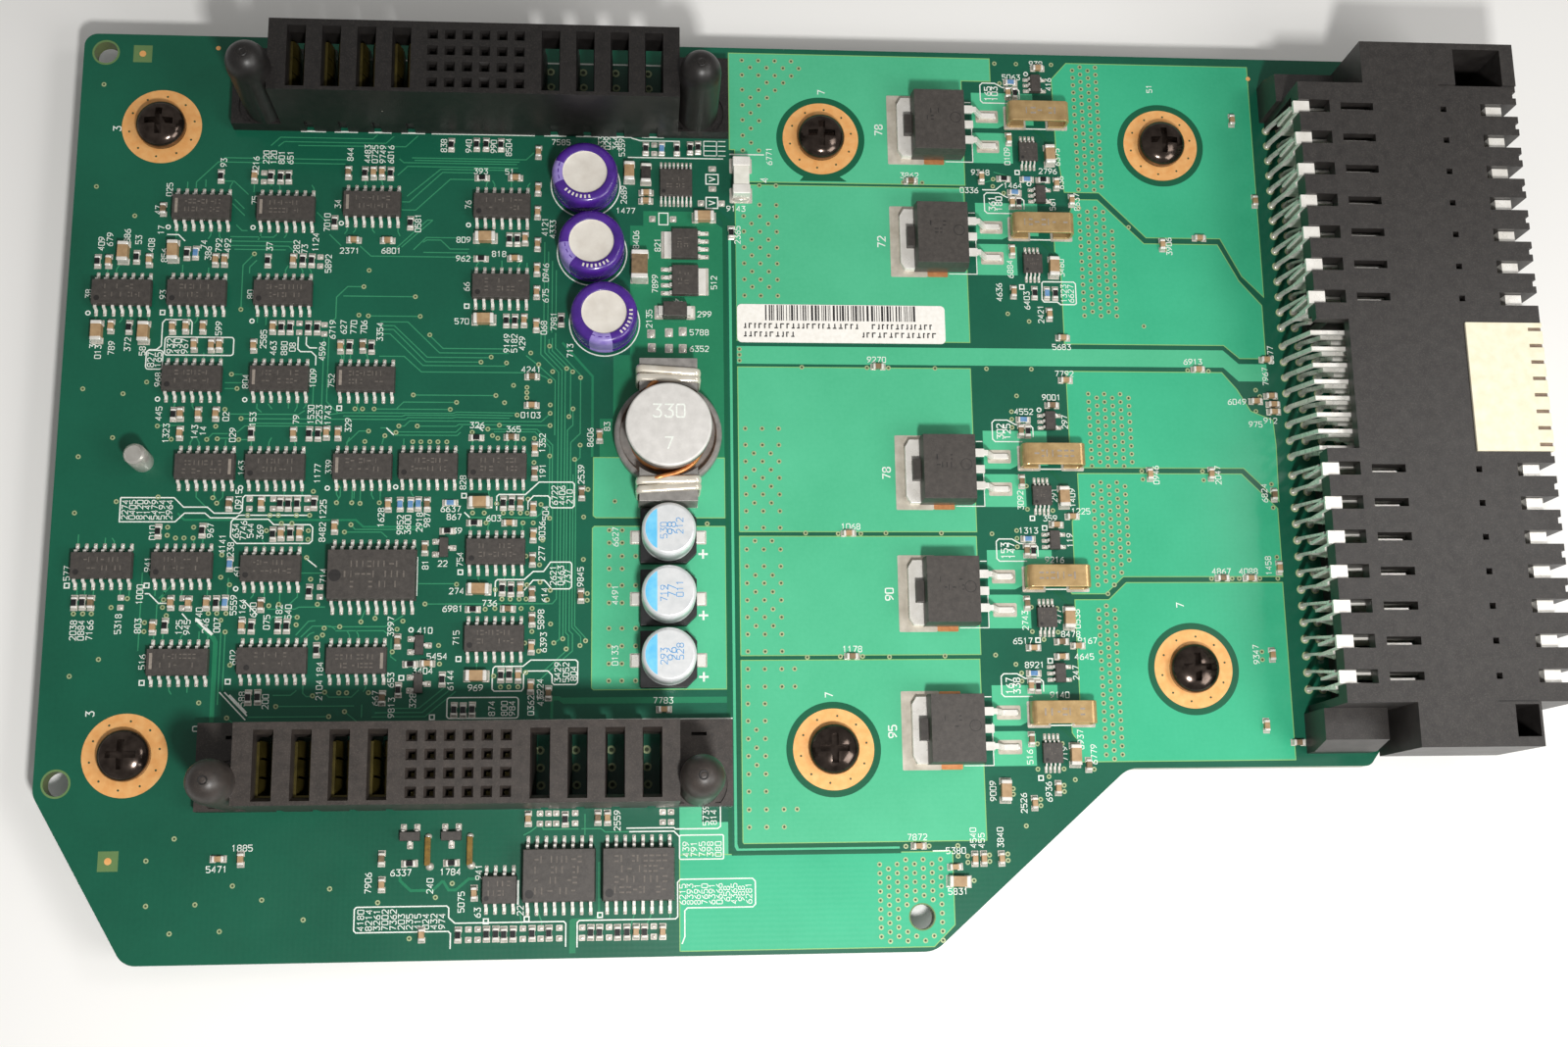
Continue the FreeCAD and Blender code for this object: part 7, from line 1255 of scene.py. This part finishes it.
# power transistor tabs, leads and shunts
for yq, dx in CHANNELS:
    x, y = at([(dx, yq)])[0]
    bare(x + 60.7, x + 66.4, y - 5.8, y + 5.8, "pad_dull", 0.2)
    bare(x + 66.4, x + 69.6, y - 5.75, y + 5.75, "copper_bare", 0.2, Z_PAD - 0.01)
    for s in (-2.54, 2.54):
        bare(x + 74.9, x + 78.5, y + s - 1.05, y + s + 1.05, "pad_dull", 0.25)
        pads.dome(x + 77.9, y + s, 0.5, 0.62, LOW, 0.42, "pad", 16, 3)
for x, y, a in SHUNT:
    for s in (-1, 1):
        x0, x1 = sorted((x + s * 1.6, x + s * 5.1))
        bare(x0, x1, y - 2.05, y + 1.9, "pad", 0.2)
for x, y, a in FUSE:
    pads.place(x, y, a)
    for s in (-1, 1):
        x0, x1 = sorted((s * 1.2, s * 3.7))
        bare(x0, x1, -1.75, 1.75, "pad", 0.2)
        pads.dome(s * 3.2, 0.0, 0.4, 1.3, LOW, 0.8, "pad", 14, 3)
    pads.place()
for x, y, a in FILT:
    for s in (-1, 1):
        x0, x1 = sorted((x + s * 2.2, x + s * 5.65))
        bare(x0, x1, y - 1.05, y + 1.05, "pad", 0.15)
        pads.dome(x + s * 5.15, y, 0.42, 0.9, LOW, 0.26, "pad", 12, 3)
for x, y, a in SMA:
    for s in (-1, 1):
        x0, x1 = sorted((x + s * 1.5, x + s * 3.1))
        bare(x0, x1, y - 1.1, y + 1.1, "pad", 0.15)
for x, y, a in LFPAK:
    pads.place(x, y, a)
    bare(-3.6, 1.2, -2.2, 2.2, "pad", 0.15)
    for i in range(4):
        py = (i - 1.5) * 1.27
        bare(2.0, 3.7, py - 0.34, py + 0.34, "pad")
        blob(3.3, py, 0.34, 0.26, 0.18)
    pads.place()
for x, y, a in SOT5:
    pads.place(x, y, a)
    for s, ys in ((-1, (-0.95, 0.0, 0.95)), (1, (-0.95, 0.95))):
        for py in ys:
            x0, x1 = sorted((s * 0.85, s * 1.85))
            bare(x0, x1, py - 0.3, py + 0.3)
            blob(s * 1.55, py, 0.24, 0.24, 0.2)
    pads.place()
for x, y, a in SOT3:
    pads.place(x, y, a)
    for s, ys in ((-1, (-0.95, 0.95)), (1, (0.0,))):
        for py in ys:
            x0, x1 = sorted((s * 0.75, s * 1.75))
            bare(x0, x1, py - 0.42, py + 0.42)
            blob(s * 1.45, py, 0.26, 0.34, 0.24)
    pads.place()
# ends of the amber bars
for x, y in at([(-7.7, -63.1), (-1.9, -63.0)]):
    pads.dome(x, y, 0.62, 0.6, LOW, 0.75, "pad", 16, 4)
for x, y in at([(-7.95, -58.9), (-2.1, -58.9)]):
    pads.dome(x, y, 0.5, 0.45, LOW, 0.6, "pad", 16, 4)
# lands around the right-angle connector's tails
OUT_TAIL = [49.12 - 5.08 * i for i in range(7)] + [-7.68 - 5.08 * i for i in range(7)]
for yt in OUT_TAIL:
    for x in (122.28, 124.48):
        for s in (-1.27, 1.27):
            pads.ring(x, yt + s, 0.3, 0.66, LOW, Z_PAD - 0.01, "via", 16)
            pads.dome(x, yt + s, 0.5, 0.5, LOW, 0.3, "pad", 12, 3)
for i in range(8):
    for x in (122.28, 124.78, 127.38, 129.88):
        pads.ring(x, 14.32 - 2.54 * i, 0.3, 0.62, LOW, Z_PAD - 0.01, "via", 16)
        pads.dome(x, 14.32 - 2.54 * i, 0.48, 0.48, LOW, 0.3, "pad", 12, 3)
# lands seen down the open slots of the vertical sockets
for k in range(4):
    for x, y in at([(8.0 + 5.05 * k, 58.6), (8.1 + 5.05 * k, 56.1), (7.6 + 5.1 * k, -46.9), (7.7 + 5.1 * k, -49.4), (7.8 + 5.1 * k, -51.9)]):
        pads.ring(x, y, 0.32, 0.62, LOW, Z_PAD, "via", 18)
        pads.disc(x, y, 0.33, LOW, Z_PAD - 0.01, "hole", 12)
pads.done()

# ------------------------------------------------------------------ marks on the cases

marks = Build("case_marks", ["mark", "dimple", "stripe_pale"])


def dashes(x, y, turn, wide, rows, pitch, height, z, density=0.75, mat="mark"):
    """Rows of short faint bars that read as worn print."""
    marks.place(x, y, turn)
    for r in range(rows):
        py = (rows - 1) / 2 * pitch - r * pitch
        px = -wide / 2
        while px < wide / 2 - height * 0.4:
            w = height * RNG.uniform(0.35, 0.75)
            if RNG.random() < density:
                k = RNG.random()
                if k < 0.45:
                    marks.box(px, px + w * 0.35, py - height / 2, py + height / 2, z - 0.02, z + 0.004, mat)
                elif k < 0.75:
                    marks.box(px, px + w, py - height / 2, py - height / 2 + height * 0.24, z - 0.02, z + 0.004, mat)
                    marks.box(px, px + w, py + height / 2 - height * 0.24, py + height / 2, z - 0.02, z + 0.004, mat)
                else:
                    marks.box(px, px + w, py - height * 0.12, py + height * 0.12, z - 0.02, z + 0.004, mat)
            px += w + height * 0.28
    marks.place()


STRIPE_END = {(-43.57, 34.29): -1, (-31.12, 34.29): -1, (-18.32, 35.27): -1, (-31.02, 7.57): -1, (-18.42, 7.57): -1, (-43.52, -34.58): -1, (-41.12, -5.88): -1, (-18.42, -34.48): -1, (-18.47, -5.78): -1}
for x, y, a in SOIC14 + SOIC16:
    z = TOP + 1.65
    dashes(x + (0.3 if a == 0 else -0.3), y + (0.15 if a == 0 else -0.15), a, 5.4, 2, 1.25, 0.72, z)
    marks.place(x, y, a)
    s = STRIPE_END.get((x, y))
    if s:
        marks.box(s * 3.85, s * 3.85 + 0.42, -1.05, 1.25, z - 0.02, z + 0.004, "stripe_pale")
    else:
        marks.disc(-3.45, -1.05, 0.42, z - 0.02, z + 0.003, "dimple", 18)
    marks.place()
for x, y, a in SO20W:
    dashes(x + 0.6, y, a, 9.0, 3, 1.5, 0.95, TOP + 2.55)
    marks.disc(x - 5.2, y - 0.2, 0.9, TOP + 2.53, TOP + 2.553, "dimple", 24)
for x, y, a in SO16W:
    dashes(x + 0.2, y, a, 7.2, 4, 1.45, 0.95, TOP + 2.55)
    marks.disc(x - 4.1, y - 2.6, 0.6, TOP + 2.53, TOP + 2.553, "dimple", 24)
for x, y, a in SOIC8:
    dashes(x, y + 0.2, a, 3.2, 2, 1.3, 0.75, TOP + 1.65)
    marks.disc(x - 1.8, y - 1.2, 0.35, TOP + 1.63, TOP + 1.653, "dimple", 16)
for x, y, a in TSSOP16:
    dashes(x, y, a, 3.0, 2, 1.1, 0.6, TOP + 1.1, 0.5)
    marks.disc(x - 1.9, y - 1.5, 0.3, TOP + 1.08, TOP + 1.103, "dimple", 16)
for x, y, a in MSOP8:
    marks.disc(x - 0.95, y - 1.0, 0.26, TOP + 1.03, TOP + 1.053, "dimple", 16)
    dashes(x, y + 0.25, a, 1.8, 2, 0.7, 0.4, TOP + 1.05, 0.5)
for x, y, a in LFPAK:
    dashes(x - 0.3, y, 90, 2.4, 2, 1.0, 0.6, TOP + 1.1)
for x, y, a in D2PAK:
    dashes(x + 0.2, y + 0.8, a, 3.6, 2, 1.2, 0.8, TOP + 4.5, 0.45, "dimple")
    marks.ring(x + 2.9, y + 0.3, 0.78, 0.88, TOP + 4.48, TOP + 4.504, "dimple", 28)
for x, y, a in SHUNT:
    dashes(x + 0.2, y, a, 6.6, 1, 1.0, 1.1, TOP + 3.0, 0.8, "stripe_pale")
for x, y, a in FUSE:
    dashes(x, y, a, 1.8, 1, 1.0, 1.2, TOP + 2.3, 0.9, "dimple")
marks.done()

# ------------------------------------------------------------------ sleeved cans

cans = Build("sleeved_cans", ["purple", "lavender", "can_white", "tin"])
STRIPE_AT = [178.0, 205.0, 262.0]
for (x, y, a), at_deg in zip(BULK, STRIPE_AT):
    r, t = 5.0, TOP + 5.3
    prof = [(0, TOP + 0.3), (r - 0.3, TOP + 0.3), (r - 0.06, TOP + 0.5), (r - 0.02, TOP + 1.1), (r - 0.26, TOP + 1.45), (r - 0.04, TOP + 1.85),
            (r, TOP + 2.4), (r, t - 1.0), (r - 0.08, t - 0.55), (r - 0.3, t - 0.2), (r - 0.7, t - 0.02), (r - 1.1, t), (3.45, t - 0.02),
            (3.36, t - 0.1), (3.34, t - 0.22), (3.2, t - 0.27), (1.6, t - 0.24), (0, t - 0.23)]
    n = 96

    def look(k, i, deg=at_deg):
        if k >= 13:
            return "can_white"
        d = (i * 360.0 / 96 - deg + 180.0) % 360.0 - 180.0
        return "lavender" if abs(d) < 22.0 and k >= 2 else "purple"
    cans.place(x, y, 0)
    cans.lathe(0, 0, prof, 0, n, look)
    cans.place()
cans.done(("sleeved_capacitor_cans",), 50.0)
sleeve_print = Build("sleeve_print", ["can_white", "purple"])
for (x, y, a), at_deg in zip(BULK, STRIPE_AT):
    for k in range(7):
        ang = math.radians(at_deg + 48.0 + k * 9.0)
        cx, cy = x + 4.02 * math.cos(ang), y + 4.02 * math.sin(ang)
        sleeve_print.place(cx, cy, math.degrees(ang) - 90.0)
        sleeve_print.box(-0.14, 0.14, -0.26, 0.26, TOP + 5.2, TOP + 5.302, "can_white")
        sleeve_print.place()
    for k in (-1, 0, 1):
        ang = math.radians(at_deg + k * 15.0)
        cx, cy = x + 4.0 * math.cos(ang), y + 4.0 * math.sin(ang)
        sleeve_print.place(cx, cy, math.degrees(ang) - 90.0)
        sleeve_print.box(-0.3, 0.3, -0.07, 0.07, TOP + 5.2, TOP + 5.302, "purple")
        sleeve_print.place()
sleeve_print.done()

# ------------------------------------------------------------------ filter cans, inductor and label

tops = Build("can_tops", ["alu_blue", "can_ink"])
for x, y, a in FILT:
    r, z = 3.42, TOP + 6.7
    lim = math.acos(0.5)
    pts = [(x + r * math.cos(math.pi - lim + 2 * lim * i / 24), y + r * math.sin(math.pi - lim + 2 * lim * i / 24)) for i in range(25)]
    tops.prism(pts, z - 0.03, z + 0.006, "alu_blue")
    for row in range(3):
        digits(tops, "".join(RNG.choice("0123456789") for _ in range((3, 2, 3)[row])), x - 0.75 + 1.15 * row, y - 0.3 + 0.35 * row, (0.95, 1.15, 0.95)[row], z - 0.03, z + 0.005, "can_ink", 90, 0.12)
tops.done()

# pale cap on the inductor core, its light colour a painted highlight on the top face
core = Build("inductor_cap", ["core_top_painted_highlight", "silk"])
ix, iy = 26.38, -0.88
zt = TOP + 8.0
core.lathe(ix, iy, [(0, zt - 0.55), (6.2, zt - 0.55), (6.32, zt - 0.3), (6.26, zt - 0.12), (6.1, zt), (5.95, zt + 0.014), (0, zt + 0.014)], "core_top_painted_highlight", 96)
digits(core, "330", ix, iy + 2.0, 1.9, zt - 0.02, zt + 0.03, "silk", 0, 0.12)
digits(core, "7", ix, iy - 2.9, 1.8, zt - 0.02, zt + 0.03, "silk", 0, 0.12)
core.done()
wraps = Build("inductor_wraps", ["wire_tin", "pad"])
for s in (-1, 1):
    for y, lean in ((8.95, 0.3 * s), (7.75, 0.12 * s)):
        wraps.place(ix, iy, 0)
        wraps.band(4.58, TOP + 0.36, TOP + 5.46, s * y, 0.62, 0.27, 0.75, "wire_tin", -lean)
        wraps.place()
    wraps.soft_box(ix - 4.4, ix + 4.4, iy + s * 9.3 - 1.5, iy + s * 9.3 + 1.5, LOW, TOP + 0.12, 0.08, "pad")
wraps.done(("inductor_wire_ends",), 60.0)
lead = Build("inductor_lead", ["copper"])


def smooth_path(pts, n=8):
    out = []
    for i in range(len(pts) - 1):
        p0, p1, p2, p3 = (Vector(pts[max(0, min(len(pts) - 1, i + k))]) for k in (-1, 0, 1, 2))
        for j in range(n):
            t = j / n
            q = 0.5 * ((2 * p1) + (p2 - p0) * t + (2 * p0 - 5 * p1 + 4 * p2 - p3) * t * t + (3 * p1 - p0 - 3 * p2 + p3) * t ** 3)
            out.append(tuple(q))
    return out + [tuple(pts[-1])]


lead.tube(smooth_path([(ix + 4.6, iy - 2.2, TOP + 3.9), (ix + 4.3, iy - 4.1, TOP + 4.2), (ix + 3.0, iy - 5.6, TOP + 4.6), (ix + 1.0, iy - 6.7, TOP + 5.1), (ix - 1.0, iy - 7.3, TOP + 5.5), (ix - 2.6, iy - 7.8, TOP + 5.2)]), 0.36, "copper")
lead.tube(smooth_path([(ix - 4.6, iy + 2.2, TOP + 3.9), (ix - 4.3, iy + 4.1, TOP + 4.2), (ix - 3.4, iy + 5.9, TOP + 4.6), (ix - 2.4, iy + 6.9, TOP + 5.2), (ix - 1.0, iy + 7.8, TOP + 5.2)]), 0.36, "copper")
lead.done()

# sprung leaves standing in the filled slots of the two vertical sockets, and the gate mark on each post
SOCKETS = [(-8.32, 56.57), (-8.67, -46.6)]
springs = Build("spring_leaves", ["brass"])
gates = Build("post_gates", ["black"])
for ox, oy in SOCKETS:
    for k in range(4):
        x = ox - 4.5 - 5.08 * k
        for side in (-1, 1):
            for j in range(3):
                y0 = oy - 3.83 - 3.75 + 2.55 * j
                wall = []
                for u, z in ((0.84, 2.2), (0.7, 4.4), (0.42, 7.0), (0.28, 8.6), (0.26, 9.4), (0.34, 10.2), (0.55, 11.1), (0.84, 11.9)):
                    wall.append((u, z))
                v = []
                for u, z in wall:
                    for du in (0.0, 0.2):
                        for y in (y0, y0 + 2.2):
                            v.append((x + side * (u + du * 0.6), y, TOP + z - du * 0.6))
                f = []
                for i in range(len(wall) - 1):
                    a, b = 4 * i, 4 * i + 4
                    f += [[a, a + 1, b + 1, b], [a + 2, b + 2, b + 3, a + 3], [a, b, b + 2, a + 2], [a + 1, a + 3, b + 3, b + 1]]
                e = 4 * (len(wall) - 1)
                f += [[0, 2, 3, 1], [e, e + 1, e + 3, e + 2]]
                if side < 0:
                    f = [q[::-1] for q in f]
                springs.add(v, [q[::-1] for q in f], "brass", True)
    for px in (-26.2, 39.35):
        zt = TOP + 20.0
        gates.lathe(ox + px, oy - 6.1, [(0, zt - 0.2), (0.66, zt - 0.2), (0.66, zt - 0.02), (0.6, zt + 0.03), (0.48, zt + 0.02), (0.42, zt - 0.04), (0, zt - 0.04)], "black", 28)
springs.done()
gates.done()

# contact ends lying in the notches of the pale insert
ends = Build("insert_ends", ["contact_brown"])
for y in [12.61 - 2.54 * i for i in range(8)]:
    ends.soft_box(154.56, 156.62, y - 0.25, y + 0.25, TOP + 13.7, TOP + 14.72, 0.06, "contact_brown")
ends.done()

sheet = Build("label_sheet", ["paper"])
sheet.prism(rounded(53.03 - 16.05, 53.03 + 16.05, 17.27 - 3.05, 17.27 + 3.05, 0.7, 6), LOW, TOP + 0.12, "paper")
sheet.done(("identification_label",))
label = Build("label_print", ["ink"])
lz = TOP + 0.12
px = 41.0
while px < 64.2:
    w = RNG.choice((0.12, 0.12, 0.22, 0.34))
    x0, y0 = at([(px, 18.3)])[0]
    label.box(x0, x0 + w, y0, y0 + 2.5, lz - 0.03, lz + 0.004, "ink")
    px += w + RNG.choice((0.14, 0.14, 0.24, 0.36))
for y, spans in ((17.45, ((37.7, 55.3), (57.4, 67.0))), (16.1, ((37.7, 45.2), (55.9, 66.9)))):
    for a0, a1 in spans:
        px = a0
        while px < a1:
            w = RNG.uniform(0.3, 0.62)
            x0, y0 = at([(px, y)])[0]
            k = RNG.random()
            if k < 0.5:
                label.box(x0, x0 + 0.2, y0 - 0.42, y0 + 0.42, lz - 0.03, lz + 0.004, "ink")
                label.box(x0 + 0.12, x0 + w, y0 + 0.22, y0 + 0.42, lz - 0.03, lz + 0.004, "ink")
            else:
                label.box(x0, x0 + w, y0 - 0.42, y0 - 0.22, lz - 0.03, lz + 0.004, "ink")
                label.box(x0 + w * 0.4, x0 + w * 0.4 + 0.2, y0 - 0.32, y0 + 0.42, lz - 0.03, lz + 0.004, "ink")
            px += w + 0.34
label.done()


# ------------------------------------------------------------------ stage, light and camera

floor_z = CAD_BOX[0][2]
me = bpy.data.meshes.new("floor")
s = 3.0
me.from_pydata([(-s, -s, floor_z), (s, -s, floor_z), (s, s, floor_z), (-s, s, floor_z)], [], [[0, 1, 2, 3]])
fm = Mat("floor_pale")
fm.base(fm.ramp(fm.noise(3.0, 3.0), [(0.3, srgb(244, 243, 241)), (0.7, srgb(250, 249, 247))]))
fm.link(fm.span(fm.noise(20.0, 2.0), 0.7, 0.85), fm.p.inputs["Roughness"])
me.materials.append(fm.m)
floor = bpy.data.objects.new("floor", me)
bpy.context.scene.collection.objects.link(floor)

world = bpy.data.worlds.new("studio")
world.use_nodes = True
world.node_tree.nodes["Background"].inputs["Color"].default_value = (1.0, 0.99, 0.97, 1.0)
world.node_tree.nodes["Background"].inputs["Strength"].default_value = 0.25
bpy.context.scene.world = world
bpy.context.scene.view_settings.view_transform = "Standard"


def area(name, loc, target, size, power, color=(1, 1, 1), size_y=None):
    l = bpy.data.lights.new(name, "AREA")
    l.energy = power
    l.color = color
    l.size = size
    if size_y:
        l.shape = "RECTANGLE"
        l.size_y = size_y
    o = bpy.data.objects.new(name, l)
    o.location = loc
    d = Vector(target) - Vector(loc)
    o.rotation_euler = d.to_track_quat("-Z", "Y").to_euler()
    bpy.context.scene.collection.objects.link(o)
    return o


area("key", (0.36, -0.2, 0.3), (0.05, -0.01, 0.0), 0.2, 0.7, (1.0, 0.985, 0.96))
area("side", (0.283, 0.045, 0.316), (0.14, -0.015, 0.017), 0.1, 0.17, (1.0, 0.985, 0.965))
area("flash", (0.062, -0.16, 0.262), (0.05, -0.01, 0.0), 0.03, 0.7, (1.0, 0.99, 0.97))

# camera at the photograph's place, in the part's own frame
F_PX = 1850.1375
ax, ay, az = -0.212450548, 0.0805546825, 0.0162448679
rot = Matrix.Rotation(ax, 3, "X") @ Matrix.Rotation(ay, 3, "Y") @ Matrix.Rotation(az, 3, "Z")
cam_data = bpy.data.cameras.new("camera")
cam_data.sensor_fit = "HORIZONTAL"
cam_data.sensor_width = 36.0
cam_data.lens = F_PX / 1600.0 * 36.0
cam_data.clip_start = 0.01
cam_data.clip_end = 20.0
cam = bpy.data.objects.new("camera", cam_data)
m = rot.transposed().to_4x4()
m.translation = Vector((21.421, -70.816, 266.472)) * MM
cam.matrix_world = m
bpy.context.scene.collection.objects.link(cam)
bpy.context.scene.camera = cam
